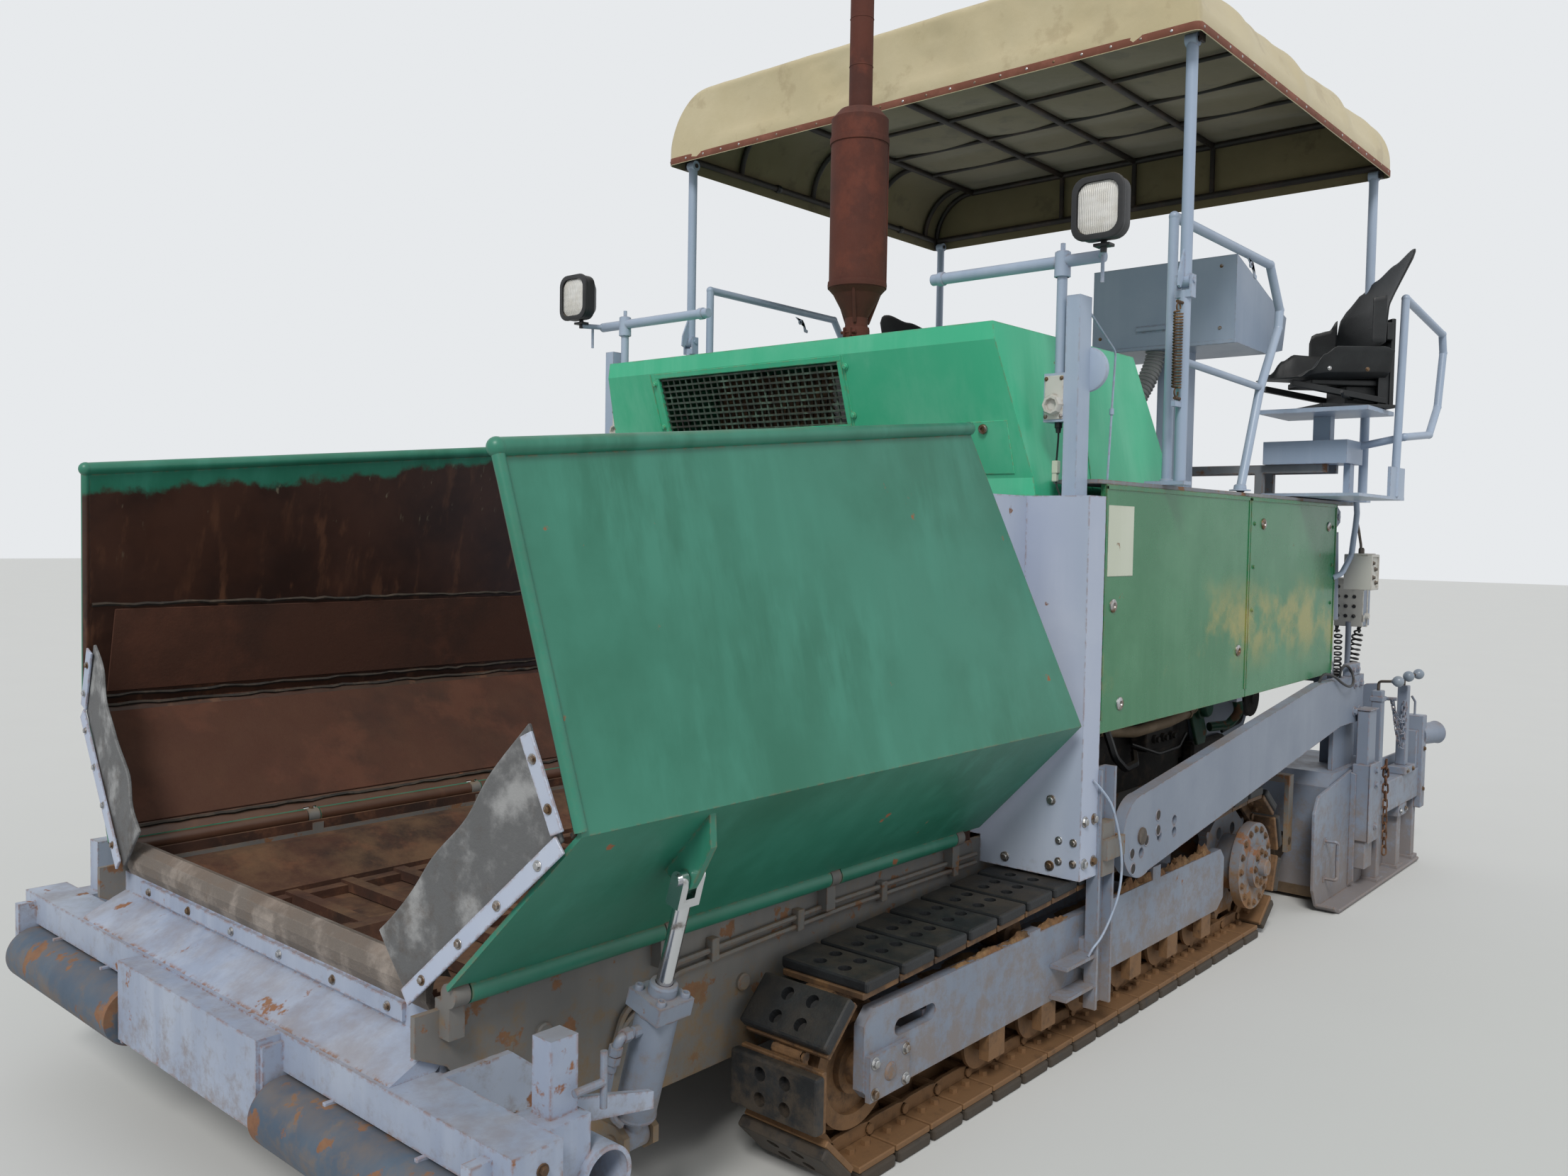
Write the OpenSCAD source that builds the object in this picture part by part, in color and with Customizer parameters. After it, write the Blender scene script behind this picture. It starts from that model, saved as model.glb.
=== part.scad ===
// Tracked asphalt paver: hopper in front, engine and platform behind it,
// towed screed at the rear. Travel is +X, left is +Y, the ground is z = 0.

/* [Tracks] */
// Length of one track shoe along the chain
shoe_pitch = 168; // [162:1:172]
// Number of shoes along the flat of one track
run_shoes = 16; // [15:1:17]
// Teeth on the drive sprocket
sprocket_teeth = 10; // [9:1:11]
// Height of a shoe from the chain's pitch line to the ground
shoe_height = 64; // [56:1:70]
// Thickness of the rubber pad on a shoe
pad_t = 34; // [26:1:38]
// Width of a track pad across the machine
pad_w = 300; // [260:5:320]
// Gap between two pads
pad_gap = 18; // [12:1:26]
// Distance from the middle of the machine to the middle of a track
track_y = 1040; // [1036:1:1044]
// Drive sprocket's place along the machine
sprocket_x = -960; // [-976:2:-944]
// Thickness of the track's side beams
beam_t = 34; // [26:2:40]

/* [Frame] */
// Outer face of the main side walls, from the middle
frame_y = 850; // [830:2:856]
// Thickness of the main side walls
wall_t = 16; // [10:1:24]
// Underside of the main side walls
frame_z0 = 300; // [260:5:330]
// Top edge of the main side walls
frame_z1 = 690; // [670:2:694]
// Front end of the main side walls
frame_x1 = 2940; // [2900:5:2960]
// Rear end of the main side walls
frame_x0 = -1340; // [-1345:1:-1325]

/* [Hopper] */
// Distance of the wing hinge from the middle
hinge_y = 882; // [875:1:890]
// Height of the wing hinge
hinge_z = 728; // [722:1:740]
// Radius of the hinge tube
hinge_r = 27; // [22:1:30]
// Distance of the wing's lower fold from the middle
chine_y = 1250; // [1220:2:1260]
// Height of the wing's lower fold
chine_z = 1125; // [1080:5:1150]
// Plate thickness of a wing
wing_t = 12; // [8:1:16]
// Inward lean of the upper wing plate, in degrees
wing_lean = 14.3; // [10:0.1:17]
// Height of the rim at the wing's front
rim_z_front = 1890; // [1840:5:1920]
// Height of the rim at the wing's rear
rim_z_rear = 2060; // [2000:5:2080]
// Radius of the tube along the rim
rim_r = 20; // [14:1:24]

/* [Push beam] */
// Top of the push beam
push_z = 550; // [530:5:560]
// Height of the push beam
push_h = 90; // [70:5:100]
// Half the width of the push beam
push_half = 1270; // [1240:5:1290]
// Radius of a push roller
roller_r = 80; // [70:1:86]
// Length of a push roller
roller_len = 760; // [700:5:780]

/* [Tractor body] */
// Half the width of the side panels
body_half = 1200; // [1190:2:1210]
// Height of the platform floor
deck_z = 1924; // [1900:4:1940]
// Lower edge of the side panels at the front
panel_z0 = 1070; // [1040:5:1100]
// Thickness of the sheet panels
sheet_t = 20; // [12:1:26]
// Height of the hood's top
hood_z = 2433; // [2400:3:2460]
// Half the width of the hood's top
hood_half = 941; // [900:1:960]
// Outward slant of the hood's sides at its foot
hood_slant = 90; // [60:2:110]
// Radius of the exhaust silencer
muffler_r = 110; // [90:2:120]
// Height of the exhaust tip
exhaust_z = 3860; // [3700:10:3900]

/* [Canopy] */
// Half the width of the canopy
canopy_half = 1318; // [1314:2:1330]
// Front edge of the canopy
canopy_x1 = 175; // [160:5:220]
// Rear edge of the canopy
canopy_x0 = -2105; // [-2150:5:-2060]
// Height of the canopy's hem
canopy_z = 3489; // [3440:5:3520]
// Height of the canopy above its hem
canopy_rise = 330; // [300:5:360]
// Distance of the roof's inner long tubes from the middle
roof_tube_y = 440; // [380:10:500]
// Radius of a canopy post
post_r = 21; // [17:1:25]
// Distance of a canopy post from the middle
post_y = 1250; // [1244:1:1256]

/* [Screed] */
// Outer face of a tow arm, from the middle
arm_y = 1250; // [1248:1:1254]
// Thickness of a tow arm
arm_t = 44; // [38:1:44]
// Tow pin's place along the machine
tow_x = 300; // [290:2:320]
// Tow pin's height
tow_z = 690; // [670:2:700]
// Radius of the tow pin
tow_pin_r = 30; // [24:1:34]
// Front wall of the screed
screed_x1 = -1760; // [-1790:5:-1750]
// Rear wall of the screed
screed_x0 = -2760; // [-2800:5:-2700]
// Half the width of the screed between its end plates
screed_half = 1235; // [1220:1:1240]
// Thickness of the end plates
end_t = 20; // [14:1:24]
// How far the tow point rises
tow_rise = 120; // [80:5:130]

/* [Auger] */
// Auger's place along the machine
auger_x = -1530; // [-1540:2:-1520]
// Auger's height
auger_z = 330; // [320:2:345]
// Radius of the auger flights
auger_r = 180; // [160:2:185]
// Radius of the auger shaft
auger_shaft_r = 40; // [32:1:46]
// Turns of the flight on one side
auger_turns = 3.5; // [3:0.5:5]

/* [Seats] */
// How far a seat stands out past the side of the platform
seat_out = 250; // [240:5:265]

/* [Hidden] */
$fn = 48;
fit = 0.05;
seat_gap = 0.3;
run_gap = 6;
joint_swell = 1.07;

// Canopy fold: the posts turn at fold_z and carry the roof on pins
post_x1 = 75;
post_x0 = -2065;
fold_z = 2650;
roof_pin_z = canopy_z + 6;
post_pin_r = 10;

// Roof section: the side bows are quarter circles that end at the hem rails and the top rails
bow_r = 16;
canvas_t = 6;
bow_inset = canvas_t + seat_gap + bow_r * joint_swell;
hem_rail_z = roof_pin_z + 46;
hem_rail_y = canopy_half - bow_inset;
roof_top_z = canopy_z + canopy_rise - bow_inset;
bow_bend = roof_top_z - hem_rail_z;
ridge_y = hem_rail_y - bow_bend;
roof_ends = [canopy_x1 - bow_inset, canopy_x0 + bow_inset];

// Track path: the idler's radius follows from the chain's length
shoe_count = 2 * run_shoes + 9;
sprocket_pitch_r = shoe_pitch * sprocket_teeth / (2 * PI);
run_len = run_shoes * shoe_pitch;
idler_first_r = 9 * shoe_pitch / PI - sprocket_pitch_r;
lean_first = atan((sprocket_pitch_r - idler_first_r) / run_len) * PI / 180;
idler_pitch_r = idler_first_r - 2 * lean_first * (sprocket_pitch_r - idler_first_r) / PI;
path_tilt = atan((sprocket_pitch_r - idler_pitch_r) / run_len);
sprocket_z = sprocket_pitch_r + shoe_height;
idler_z = idler_pitch_r + shoe_height;
idler_x = sprocket_x + run_len;
front_arc = (180 - 2 * path_tilt) * PI / 180 * idler_pitch_r;
sprocket_phase = 270 - 360 / sprocket_teeth;
link_w = 110;
bed_gap = 98;
beam_z0 = 215;
beam_z1 = 462;
carrier_x = [sprocket_x + 950, sprocket_x + 1850];
roller_x0 = sprocket_x + 470;
roller_step = 320;
slot_x = idler_x - 178;
slot_len = 150;
slot_r = 24;
roller_axis_z = shoe_height + 104 + seat_gap;

// Wing, its outline in side view and its fold
wing_x0 = 766;
wing_x1 = 2824;
rim_x0 = 1100;
rim_x1 = 2890;
wing_foot_x1 = 2900;
knuckle_gap = 4;
lug_w = 40;
lug_x = [900, 1560, 2220, 2840];
pin_r = 15;

// Wing cylinder, in the plane of its bracket
ram_x = 2440;
ram_eye_y = 1160;
ram_eye_z = 952;
ram_base_y = 975;
ram_base_z = 300;
ram_r = 50;
ram_rod_r = 20;
ram_barrel_len = 383;
ram_pin_r = 18;
ram_len = norm([ram_eye_y - ram_base_y, ram_eye_z - ram_base_z]);
ram_tilt = atan2(ram_eye_y - ram_base_y, ram_eye_z - ram_base_z);

push_x1 = 3000;
push_x0 = 2880;
roller_x = 3010;
roller_z = push_z - push_h - run_gap - roller_r;
roller_y0 = 410;
block_half = 390;

bulk_x1 = 714;
bulk_x0 = 600;
bulk_y = 1230;
bulk_z0 = 606;
bulk_z1 = 1866;

rail_x = 20;
rail_y = body_half - 24;
rail_r = 18;

guide_x0 = 486;
guide_x1 = bulk_x0 - seat_gap;
guide_y0 = track_y + pad_w / 2 + run_gap;
guide_y1 = 1240;
guide_z0 = 150;
guide_z1 = tow_z + 150 + tow_rise;

hood_x1 = 860;
hood_x0 = -170;
hood_foot_x0 = -420;
body_x0 = -1850;

// Rear lift cylinder
lift_x = -1905;
lift_x1 = -1985;
lift_y = 1155;
lift_top_z = 1850;
lift_eye_z = 1010;
lift_r = 36;
lift_len = norm([lift_x - lift_x1, lift_top_z - lift_eye_z]);
lift_tilt = atan2(lift_x - lift_x1, lift_top_z - lift_eye_z);
lift_barrel_len = 500;
lift_rod_r = 18;
lift_pin_r = 16;

// Seat stations, parked out past the platform's side
seat_rail_x = [-1930, -1790];
seat_y1 = body_half + seat_out;

// A plate drawn in side view and extruded across the machine
module side_plate(points, y0, y1) {
  translate([0, y1, 0]) rotate([90, 0, 0]) linear_extrude(y1 - y0) polygon(points);
}

// A plate drawn in front view and extruded along the machine
module cross_plate(points, x0, x1) {
  translate([x0, 0, 0]) rotate([90, 0, 90]) linear_extrude(x1 - x0) polygon(points);
}

// A block from its lowest corner to its highest
module block(low, high) {
  translate(low) cube([high[0] - low[0], high[1] - low[1], high[2] - low[2]]);
}

// A round bar from one point to another
module rod(a, b, r) {
  d = b - a;
  len = norm(d);
  translate(a) rotate([0, acos(d[2] / len), atan2(d[1], d[0])]) cylinder(h = len, r = r);
}

// A bent round bar with a ball at each bend
module rail(points, r) {
  for (i = [0:len(points) - 2]) rod(points[i], points[i + 1], r);
  if (len(points) > 2)
    for (i = [1:len(points) - 2]) translate(points[i]) sphere(r = r * joint_swell);
}

// A cylinder along Y
module cross_pin(x, y0, y1, z, r) {
  translate([x, y1, z]) rotate([90, 0, 0]) cylinder(h = y1 - y0, r = r);
}

module both_sides() {
  children();
  mirror([0, 1, 0]) children();
}

module on_side(s) {
  if (s > 0) children();
  else mirror([0, 1, 0]) children();
}

// The point of the track's path at a length s along the pitch line,
// with the direction of travel there, in degrees
function track_point(s) =
  let (top_tilt = 2 * path_tilt)
  s < run_len ?
    [sprocket_x + s, shoe_height, 0] :
  s < run_len + front_arc ?
    let (a = (s - run_len) / idler_pitch_r * 180 / PI)
    [idler_x + idler_pitch_r * sin(a), idler_z - idler_pitch_r * cos(a), a] :
  s < 2 * run_len + front_arc ?
    let (a = 180 - top_tilt, t = s - run_len - front_arc)
    [idler_x + idler_pitch_r * sin(a) + t * cos(a),
     idler_z - idler_pitch_r * cos(a) + t * sin(a), a] :
    let (a = 180 - top_tilt + (s - 2 * run_len - front_arc) / sprocket_pitch_r * 180 / PI)
    [sprocket_x + sprocket_pitch_r * sin(a), sprocket_z - sprocket_pitch_r * cos(a), a];

// The closed line at a distance d outside the track's pitch line
module track_line(d) {
  top_tilt = 2 * path_tilt;
  hull_pts = concat(
    [for (a = [0:15:165]) [idler_x + (idler_pitch_r + d) * sin(a), idler_z - (idler_pitch_r + d) * cos(a)]],
    [let (a = 180 - top_tilt) [idler_x + (idler_pitch_r + d) * sin(a), idler_z - (idler_pitch_r + d) * cos(a)]],
    [let (a = 180 - top_tilt) [sprocket_x + (sprocket_pitch_r + d) * sin(a), sprocket_z - (sprocket_pitch_r + d) * cos(a)]],
    [for (a = [195:15:345]) [sprocket_x + (sprocket_pitch_r + d) * sin(a), sprocket_z - (sprocket_pitch_r + d) * cos(a)]],
    [[sprocket_x, sprocket_z - sprocket_pitch_r - d]]);
  polygon(hull_pts);
}

// One shoe's outline, its middle on the pitch line and its pad outwards
module shoe_outline() {
  half = shoe_pitch / 2 - pad_gap / 2;
  top = shoe_height;
  polygon([[-half - 5, -8], [half + 5, -8], [half + 5, -(top - pad_t)], [half, -(top - pad_t)],
    [half, -(top - 7)], [half - 7, -top], [7 - half, -top], [-half, -(top - 7)],
    [-half, -(top - pad_t)], [-half - 5, -(top - pad_t)]]);
}

// One chain link's outline, which stands inside the pitch line
module link_outline() {
  half = shoe_pitch / 2 - 24;
  polygon([[-half, -12], [half, -12], [half - 6, 30], [6 - half, 30]]);
}

// The chain as one closed outline: a band with the links inside it
module chain_outline() {
  difference() {
    track_line(14);
    track_line(-6);
  }
  for (i = [0:shoe_count - 1]) let (p = track_point(i * shoe_pitch)) translate([p[0], p[1]]) rotate(p[2]) link_outline();
}

module track(s) {
  color([0.16, 0.15, 0.14]) on_side(s) translate([0, track_y, 0]) {
    translate([0, link_w / 2, 0]) rotate([90, 0, 0]) linear_extrude(link_w) chain_outline();
    translate([0, pad_w / 2, 0]) rotate([90, 0, 0]) linear_extrude(pad_w)
      for (i = [0:shoe_count - 1]) let (p = track_point(i * shoe_pitch)) translate([p[0], p[1]]) rotate(p[2]) shoe_outline();
  }
}

// Drive sprocket with its final drive, and the carrier on the beam
module sprocket_outline() {
  root_r = sprocket_pitch_r - 34;
  tip_r = sprocket_pitch_r - 12;
  tooth = 360 / sprocket_teeth;
  polygon([for (i = [0:sprocket_teeth - 1]) for (k = [0:3])
    let (a = sprocket_phase + (i + 0.5) * tooth + [-4.8, -2.2, 2.2, 4.8][k], r = [root_r, tip_r, tip_r, root_r][k])
    [r * cos(a), r * sin(a)]]);
}

module sprockets() {
  color([0.45, 0.40, 0.35]) both_sides() translate([sprocket_x, track_y, sprocket_z]) rotate([90, 0, 0]) {
    difference() {
      translate([0, 0, -18]) linear_extrude(36) sprocket_outline();
      for (a = [0:60:300]) rotate([0, 0, a]) translate([150, 0, -30]) cylinder(h = 60, r = 26);
    }
    translate([0, 0, -135]) cylinder(h = 135 + track_y - frame_y - seat_gap, r = 118);
    translate([0, 0, -150]) cylinder(h = 40, r = 185);
    translate([0, 0, -176]) cylinder(h = 30, r = 92);
  }
}

module idlers() {
  color([0.30, 0.26, 0.22]) both_sides() translate([idler_x, track_y, idler_z]) {
    rotate([90, 0, 0]) difference() {
      union() {
        translate([0, 0, -60]) cylinder(h = 120, r = idler_pitch_r - 44);
        translate([0, 0, -22]) cylinder(h = 44, r = idler_pitch_r - 33);
        translate([0, 0, seat_gap - bed_gap]) cylinder(h = 2 * (bed_gap - seat_gap), r = 48);
      }
      for (q = [-1, 1]) translate([0, 0, q > 0 ? 40 : -61]) difference() {
        cylinder(h = 21, r = idler_pitch_r - 84);
        translate([0, 0, -1]) cylinder(h = 23, r = 74);
      }
    }
  }
}

module track_rollers() {
  axle = bed_gap - seat_gap;
  color([0.36, 0.32, 0.28]) both_sides() {
    for (i = [0:5]) translate([roller_x0 + i * roller_step, track_y, roller_axis_z]) rotate([90, 0, 0]) {
      translate([0, 0, -58]) cylinder(h = 116, r = 74);
      translate([0, 0, -70]) cylinder(h = 12, r = 88);
      translate([0, 0, 58]) cylinder(h = 12, r = 88);
      translate([0, 0, -axle]) cylinder(h = 2 * axle, r = 30);
    }
    for (x = carrier_x) translate([x, track_y, carrier_z(x)]) rotate([90, 0, 0]) {
      translate([0, 0, -50]) cylinder(h = 100, r = 54);
      translate([0, 0, -axle]) cylinder(h = 2 * axle, r = 22);
    }
  }
}
function carrier_z(x) = top_run_z(x) - (54 + 30) / cos(2 * path_tilt) - seat_gap;
function top_run_z(x) = sprocket_z + sprocket_pitch_r - (x - sprocket_x) * tan(2 * path_tilt);

// Oblong hole near a beam's front, through which the chain's tension is set
module beam_slot(y) {
  for (x = [slot_x - slot_len / 2, slot_x + slot_len / 2]) cross_pin(x, y - 1, y + beam_t + 1, beam_z1 - 86, slot_r);
  block([slot_x - slot_len / 2, y - 1, beam_z1 - 86 - slot_r], [slot_x + slot_len / 2, y + beam_t + 1, beam_z1 - 86 + slot_r]);
}

// Side beams: a plate inside and outside each track with a box across
module track_frames() {
  beam_x0 = sprocket_x + 300;
  beam_x1 = idler_x + 60;
  outline = [[beam_x0, beam_z0 + 40], [beam_x0 + 60, beam_z0], [beam_x1 - 30, beam_z0], [beam_x1, beam_z0 + 30],
    [beam_x1, beam_z1 - 40], [beam_x1 - 40, beam_z1], [beam_x0 + 40, beam_z1], [beam_x0, beam_z1 - 40]];
  color([0.62, 0.65, 0.70]) both_sides() {
    for (y = [track_y - bed_gap - beam_t, track_y + bed_gap]) {
      difference() {
        side_plate(outline, y, y + beam_t);
        beam_slot(y);
      }
      for (x = carrier_x) block([x - 34, y, beam_z1 - 20], [x + 34, y + beam_t, carrier_z(x) + 34]);
      for (i = [0:5]) let (x = roller_x0 + i * roller_step)
        block([x - 46, y, roller_axis_z - 38], [x + 46, y + beam_t, beam_z0 + 0.1]);
    }
    block([beam_x0 + 80, track_y - bed_gap - 0.1, 300], [idler_x - 260, track_y + bed_gap + 0.1, 370]);
    for (x = [-300, 1100]) block([x, frame_y + seat_gap, 320], [x + 300, track_y - bed_gap - beam_t + 0.1, 420]);
    block([idler_x - 130, track_y + bed_gap + beam_t - 0.1, idler_z - 62], [idler_x + 50, track_y + bed_gap + beam_t + 16, idler_z + 62]);
  }
}

// Main side walls with the cross walls between them
module frame() {
  in_y = frame_y - wall_t;
  color([0.60, 0.60, 0.60]) {
    both_sides() {
      side_plate([[frame_x0, 620], [frame_x0, frame_z0 + 90], [frame_x0 + 90, frame_z0], [2480, frame_z0], [2760, 420], [2860, 560],
        [frame_x1, 600], [frame_x1, frame_z1], [frame_x0 + 120, frame_z1]], in_y, frame_y);
      for (x = lug_x) hinge_lug(x);
      hinge_pin();
      ram_bracket();
    }
    block([2300, -in_y - 0.1, frame_z0], [2330, in_y + 0.1, 480]);
    block([700, -in_y - 0.1, frame_z0], [730, in_y + 0.1, 500]);
    block([-560, -in_y - 0.1, frame_z0], [-530, in_y + 0.1, 540 - seat_gap]);
    difference() {
      block([frame_x0, -in_y - 0.1, 430], [frame_x0 + 24, in_y + 0.1, 620]);
      for (q = [-1, 1]) block([frame_x0 - 1, q * 300 - 190, 470], [frame_x0 + 25, q * 300 + 190, 580]);
    }
    block([frame_x0 + 100, -in_y - 0.1, frame_z0 + 16], [2480, in_y + 0.1, frame_z0 + 28]);
  }
}

module hinge_lug(x) {
  translate([x, hinge_y, hinge_z]) rotate([0, 90, 0]) cylinder(h = lug_w, r = hinge_r);
  block([x, frame_y - wall_t, frame_z1 - 60], [x + lug_w, hinge_y + 4, hinge_z - 14]);
}

module hinge_pin() {
  translate([lug_x[0], hinge_y, hinge_z]) rotate([0, 90, 0]) cylinder(h = lug_x[3] + lug_w - lug_x[0], r = pin_r);
}

// Two ears on an arm from the side wall, with the pin of the cylinder's foot
module ram_bracket() {
  for (q = [-1, 1]) cross_plate([[frame_y - 0.1, frame_z0 + 2], [ram_base_y + 10, ram_base_z - 42], [ram_base_y + 42, ram_base_z - 20],
    [ram_base_y + 42, ram_base_z + 20], [ram_base_y + 10, ram_base_z + 42], [frame_y - 0.1, ram_base_z + 42]],
    ram_x + q * 46 - 9, ram_x + q * 46 + 9);
  translate([ram_x - 60, ram_base_y, ram_base_z]) rotate([0, 90, 0]) cylinder(h = 120, r = ram_pin_r);
}

// Floor of the hopper and of the tunnel, with the sloped strips beside it
module hopper_floor() {
  floor_z = 560;
  floor_x0 = frame_x0 + 24 + seat_gap;
  in_y = frame_y - wall_t - seat_gap;
  color([0.42, 0.24, 0.16]) {
    block([floor_x0, -in_y, floor_z - 20], [2840, in_y, floor_z]);
    both_sides() cross_plate([[in_y, floor_z - 0.1], [in_y, 676], [in_y - 60, 676], [560, floor_z + 30], [560, floor_z - 0.1]], 720, 2838);
    cross_plate([[-60, floor_z - 0.1], [60, floor_z - 0.1], [24, floor_z + 60], [-24, floor_z + 60]], floor_x0 + 10, 2838);
  }
}

// Two chains of flight bars that run on the floor
module conveyor() {
  z = 560 + seat_gap;
  color([0.30, 0.22, 0.17]) both_sides() {
    for (y = [110, 500]) block([-1300, y - 22, z], [2800, y + 22, z + 26]);
    for (i = [0:21]) block([-1280 + i * 188, 88, z + 4], [-1240 + i * 188, 522, z + 36]);
  }
}

// Box wall behind the hopper with the two tunnel mouths
module bulkhead() {
  low_y = 735;
  color([0.78, 0.80, 0.84]) {
    difference() {
      union() {
        cross_plate([[-bulk_y, bulk_z1], [-bulk_y, bulk_z0], [-frame_y - seat_gap, bulk_z0], [-frame_y - seat_gap, 700],
          [frame_y + seat_gap, 700], [frame_y + seat_gap, bulk_z0], [bulk_y, bulk_z0], [bulk_y, bulk_z1]],
          bulk_x1 - 24, bulk_x1);
        both_sides() cross_plate([[bulk_y - 90, bulk_z0], [bulk_y, bulk_z0], [bulk_y, bulk_z1], [bulk_y - 90, bulk_z1]],
          bulk_x0, bulk_x1);
      }
      block([bulk_x1 - 60, -560, 699], [bulk_x1 + 10, 560, 1010]);
    }
    block([bulk_x0, -bulk_y + 89.9, bulk_z1 - 40], [bulk_x1 - 23.9, bulk_y - 89.9, bulk_z1]);
    both_sides() {
      side_plate([[bulk_x1 - 0.1, 900], [bulk_x1 + 24, 930], [bulk_x1 + 24, 1240], [bulk_x1 + 290, bulk_z1 - 10],
        [bulk_x1 + 270, bulk_z1], [bulk_x1 - 0.1, bulk_z1]], 985, 1000);
    }
  }
}

// Front edge of the hopper: cross plate, clamp strip and sloped plate
module front_apron() {
  in_y = frame_y - wall_t - seat_gap;
  color([0.80, 0.82, 0.86]) {
    block([2850, -in_y, 470], [2866, in_y, 668]);
    side_plate([[2865.9, 560], [2865.9, 610], [2900, 596], [2990, 551], [2990, 550.2], [2876, 550.2]], -in_y, in_y);
    block([2865.9, -700, 622], [2876, 700, 664]);
  }
  color([0.13, 0.13, 0.13]) side_plate([[2840, 668], [2866, 667.9], [2876, 690], [2878, 716], [2868, 742], [2846, 760],
    [2822, 752], [2812, 730], [2826, 736], [2846, 742], [2856, 728], [2860, 706], [2852, 690], [2840, 680]], -in_y + 40, in_y - 40);
}

// Cross beam that pushes the truck's wheels, with the rollers' brackets
module push_beam() {
  color([0.78, 0.81, 0.86]) {
    block([push_x0, -push_half, push_z - push_h], [push_x1, push_half, push_z]);
    block([push_x1 - 0.1, -block_half, 330], [push_x1 + 60, block_half, push_z - 4]);
    block([push_x0 + 40, -block_half, 330], [push_x1, block_half, push_z - push_h + 0.1]);
    both_sides() {
      difference() {
        block([roller_x - 60, roller_y0 + roller_len + 8, roller_z - 60], [roller_x + 40, roller_y0 + roller_len + 38, push_z - 20]);
        cross_pin(roller_x, roller_y0 + roller_len, roller_y0 + roller_len + 50, roller_z, 20 + fit);
      }
      difference() {
        block([roller_x - 60, block_half - 0.1, roller_z - 60], [roller_x + 40, roller_y0 - 8, push_z - 20]);
        cross_pin(roller_x, block_half - 5, roller_y0, roller_z, 20 + fit);
      }
      end_bracket();
      side_plate([[2640, 390], [push_x0 + 0.1, 470], [push_x0 + 0.1, push_z - 2], [2700, push_z - 2], [2640, 500]],
        frame_y + seat_gap, frame_y + 20);
      block([2866.3, frame_y - 60, 480], [push_x0 + 0.1, frame_y + 19.9, 545]);
    }
  }
}

// Post, gusset and open cross tube at the end of the push beam
module end_bracket() {
  block([push_x0 - 110, push_half - 150, push_z - 20], [push_x0 - 40, push_half - 90, 700]);
  side_plate([[push_x0 - 119.9, 480], [push_x0 - 119.9, push_z - 10], [2500, 470], [2500, 430]], push_half - 168, push_half - 150);
  difference() {
    union() {
      block([push_x0 - 120, push_half - 170, 360], [push_x0 + 0.1, push_half - 60, push_z - 10]);
      cross_pin(push_x0 - 150, 1000, push_half - 40, 400, 65);
    }
    cross_pin(push_x0 - 150, 999, push_half - 39, 400, 55);
  }
}

module push_roller(s) {
  color([0.62, 0.55, 0.50]) on_side(s) {
    cross_pin(roller_x, roller_y0, roller_y0 + roller_len, roller_z, roller_r);
    cross_pin(roller_x, roller_y0 - 12, roller_y0 + roller_len + 38, roller_z, 20);
  }
}

// Cross-section of a wing from the hinge over the fold to the rim
module wing_section() {
  up = [-tan(wing_lean), 1];
  low_dir = [chine_y - hinge_y, chine_z - hinge_z] / norm([chine_y - hinge_y, chine_z - hinge_z]);
  low_in = [-low_dir[1], low_dir[0]] * wing_t;
  up_dir = up / norm(up);
  up_in = [-up_dir[1], up_dir[0]] * wing_t;
  top = rim_z_rear + 30;
  top_y = chine_y - (top - chine_z) * tan(wing_lean);
  // Where the two inner faces meet
  a = [hinge_y, hinge_z] + low_in;
  b = [chine_y, chine_z] + up_in;
  t = ((b[0] - a[0]) * up_dir[1] - (b[1] - a[1]) * up_dir[0]) / (low_dir[0] * up_dir[1] - low_dir[1] * up_dir[0]);
  inner = a + low_dir * t;
  start = [hinge_y, hinge_z] + low_dir * (hinge_r - 4);
  polygon([start, [chine_y, chine_z], [top_y, top], [top_y, top] + up_in, inner, start + low_in]);
}

function rim_y(z) = chine_y - (z - chine_z) * tan(wing_lean);

module wing(s) {
  color([0.05, 0.45, 0.30]) on_side(s) {
    difference() {
      intersection() {
        translate([wing_x0 - 50, 0, 0]) rotate([90, 0, 90]) linear_extrude(wing_foot_x1 - wing_x0 + 100) wing_section();
        side_plate([[wing_x0 + 34, 700], [wing_x0, chine_z - 60], [wing_x0, chine_z], [rim_x0, rim_z_rear], [rim_x1, rim_z_front],
          [wing_x1, chine_z], [wing_foot_x1, 700]], 800, 1300);
      }
      for (x = lug_x) translate([x - knuckle_gap, hinge_y, hinge_z]) rotate([0, 90, 0]) cylinder(h = lug_w + 2 * knuckle_gap, r = hinge_r + run_gap);
    }
    rod([rim_x0, rim_y(rim_z_rear), rim_z_rear], [rim_x1, rim_y(rim_z_front), rim_z_front], rim_r);
    rod([rim_x1, rim_y(rim_z_front), rim_z_front], [wing_x1, chine_y - 4, chine_z + 10], rim_r - 6);
    translate([rim_x1, rim_y(rim_z_front), rim_z_front]) sphere(r = rim_r * joint_swell);
    translate([rim_x0, rim_y(rim_z_rear), rim_z_rear]) sphere(r = rim_r * joint_swell);
    for (i = [0:2]) wing_knuckle(lug_x[i] + lug_w + knuckle_gap, lug_x[i + 1] - knuckle_gap);
    wing_bracket();
  }
}

module wing_knuckle(x0, x1) {
  difference() {
    translate([x0, hinge_y, hinge_z]) rotate([0, 90, 0]) cylinder(h = x1 - x0, r = hinge_r);
    translate([x0 - 1, hinge_y, hinge_z]) rotate([0, 90, 0]) cylinder(h = x1 - x0 + 2, r = pin_r + fit);
  }
}

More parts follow.
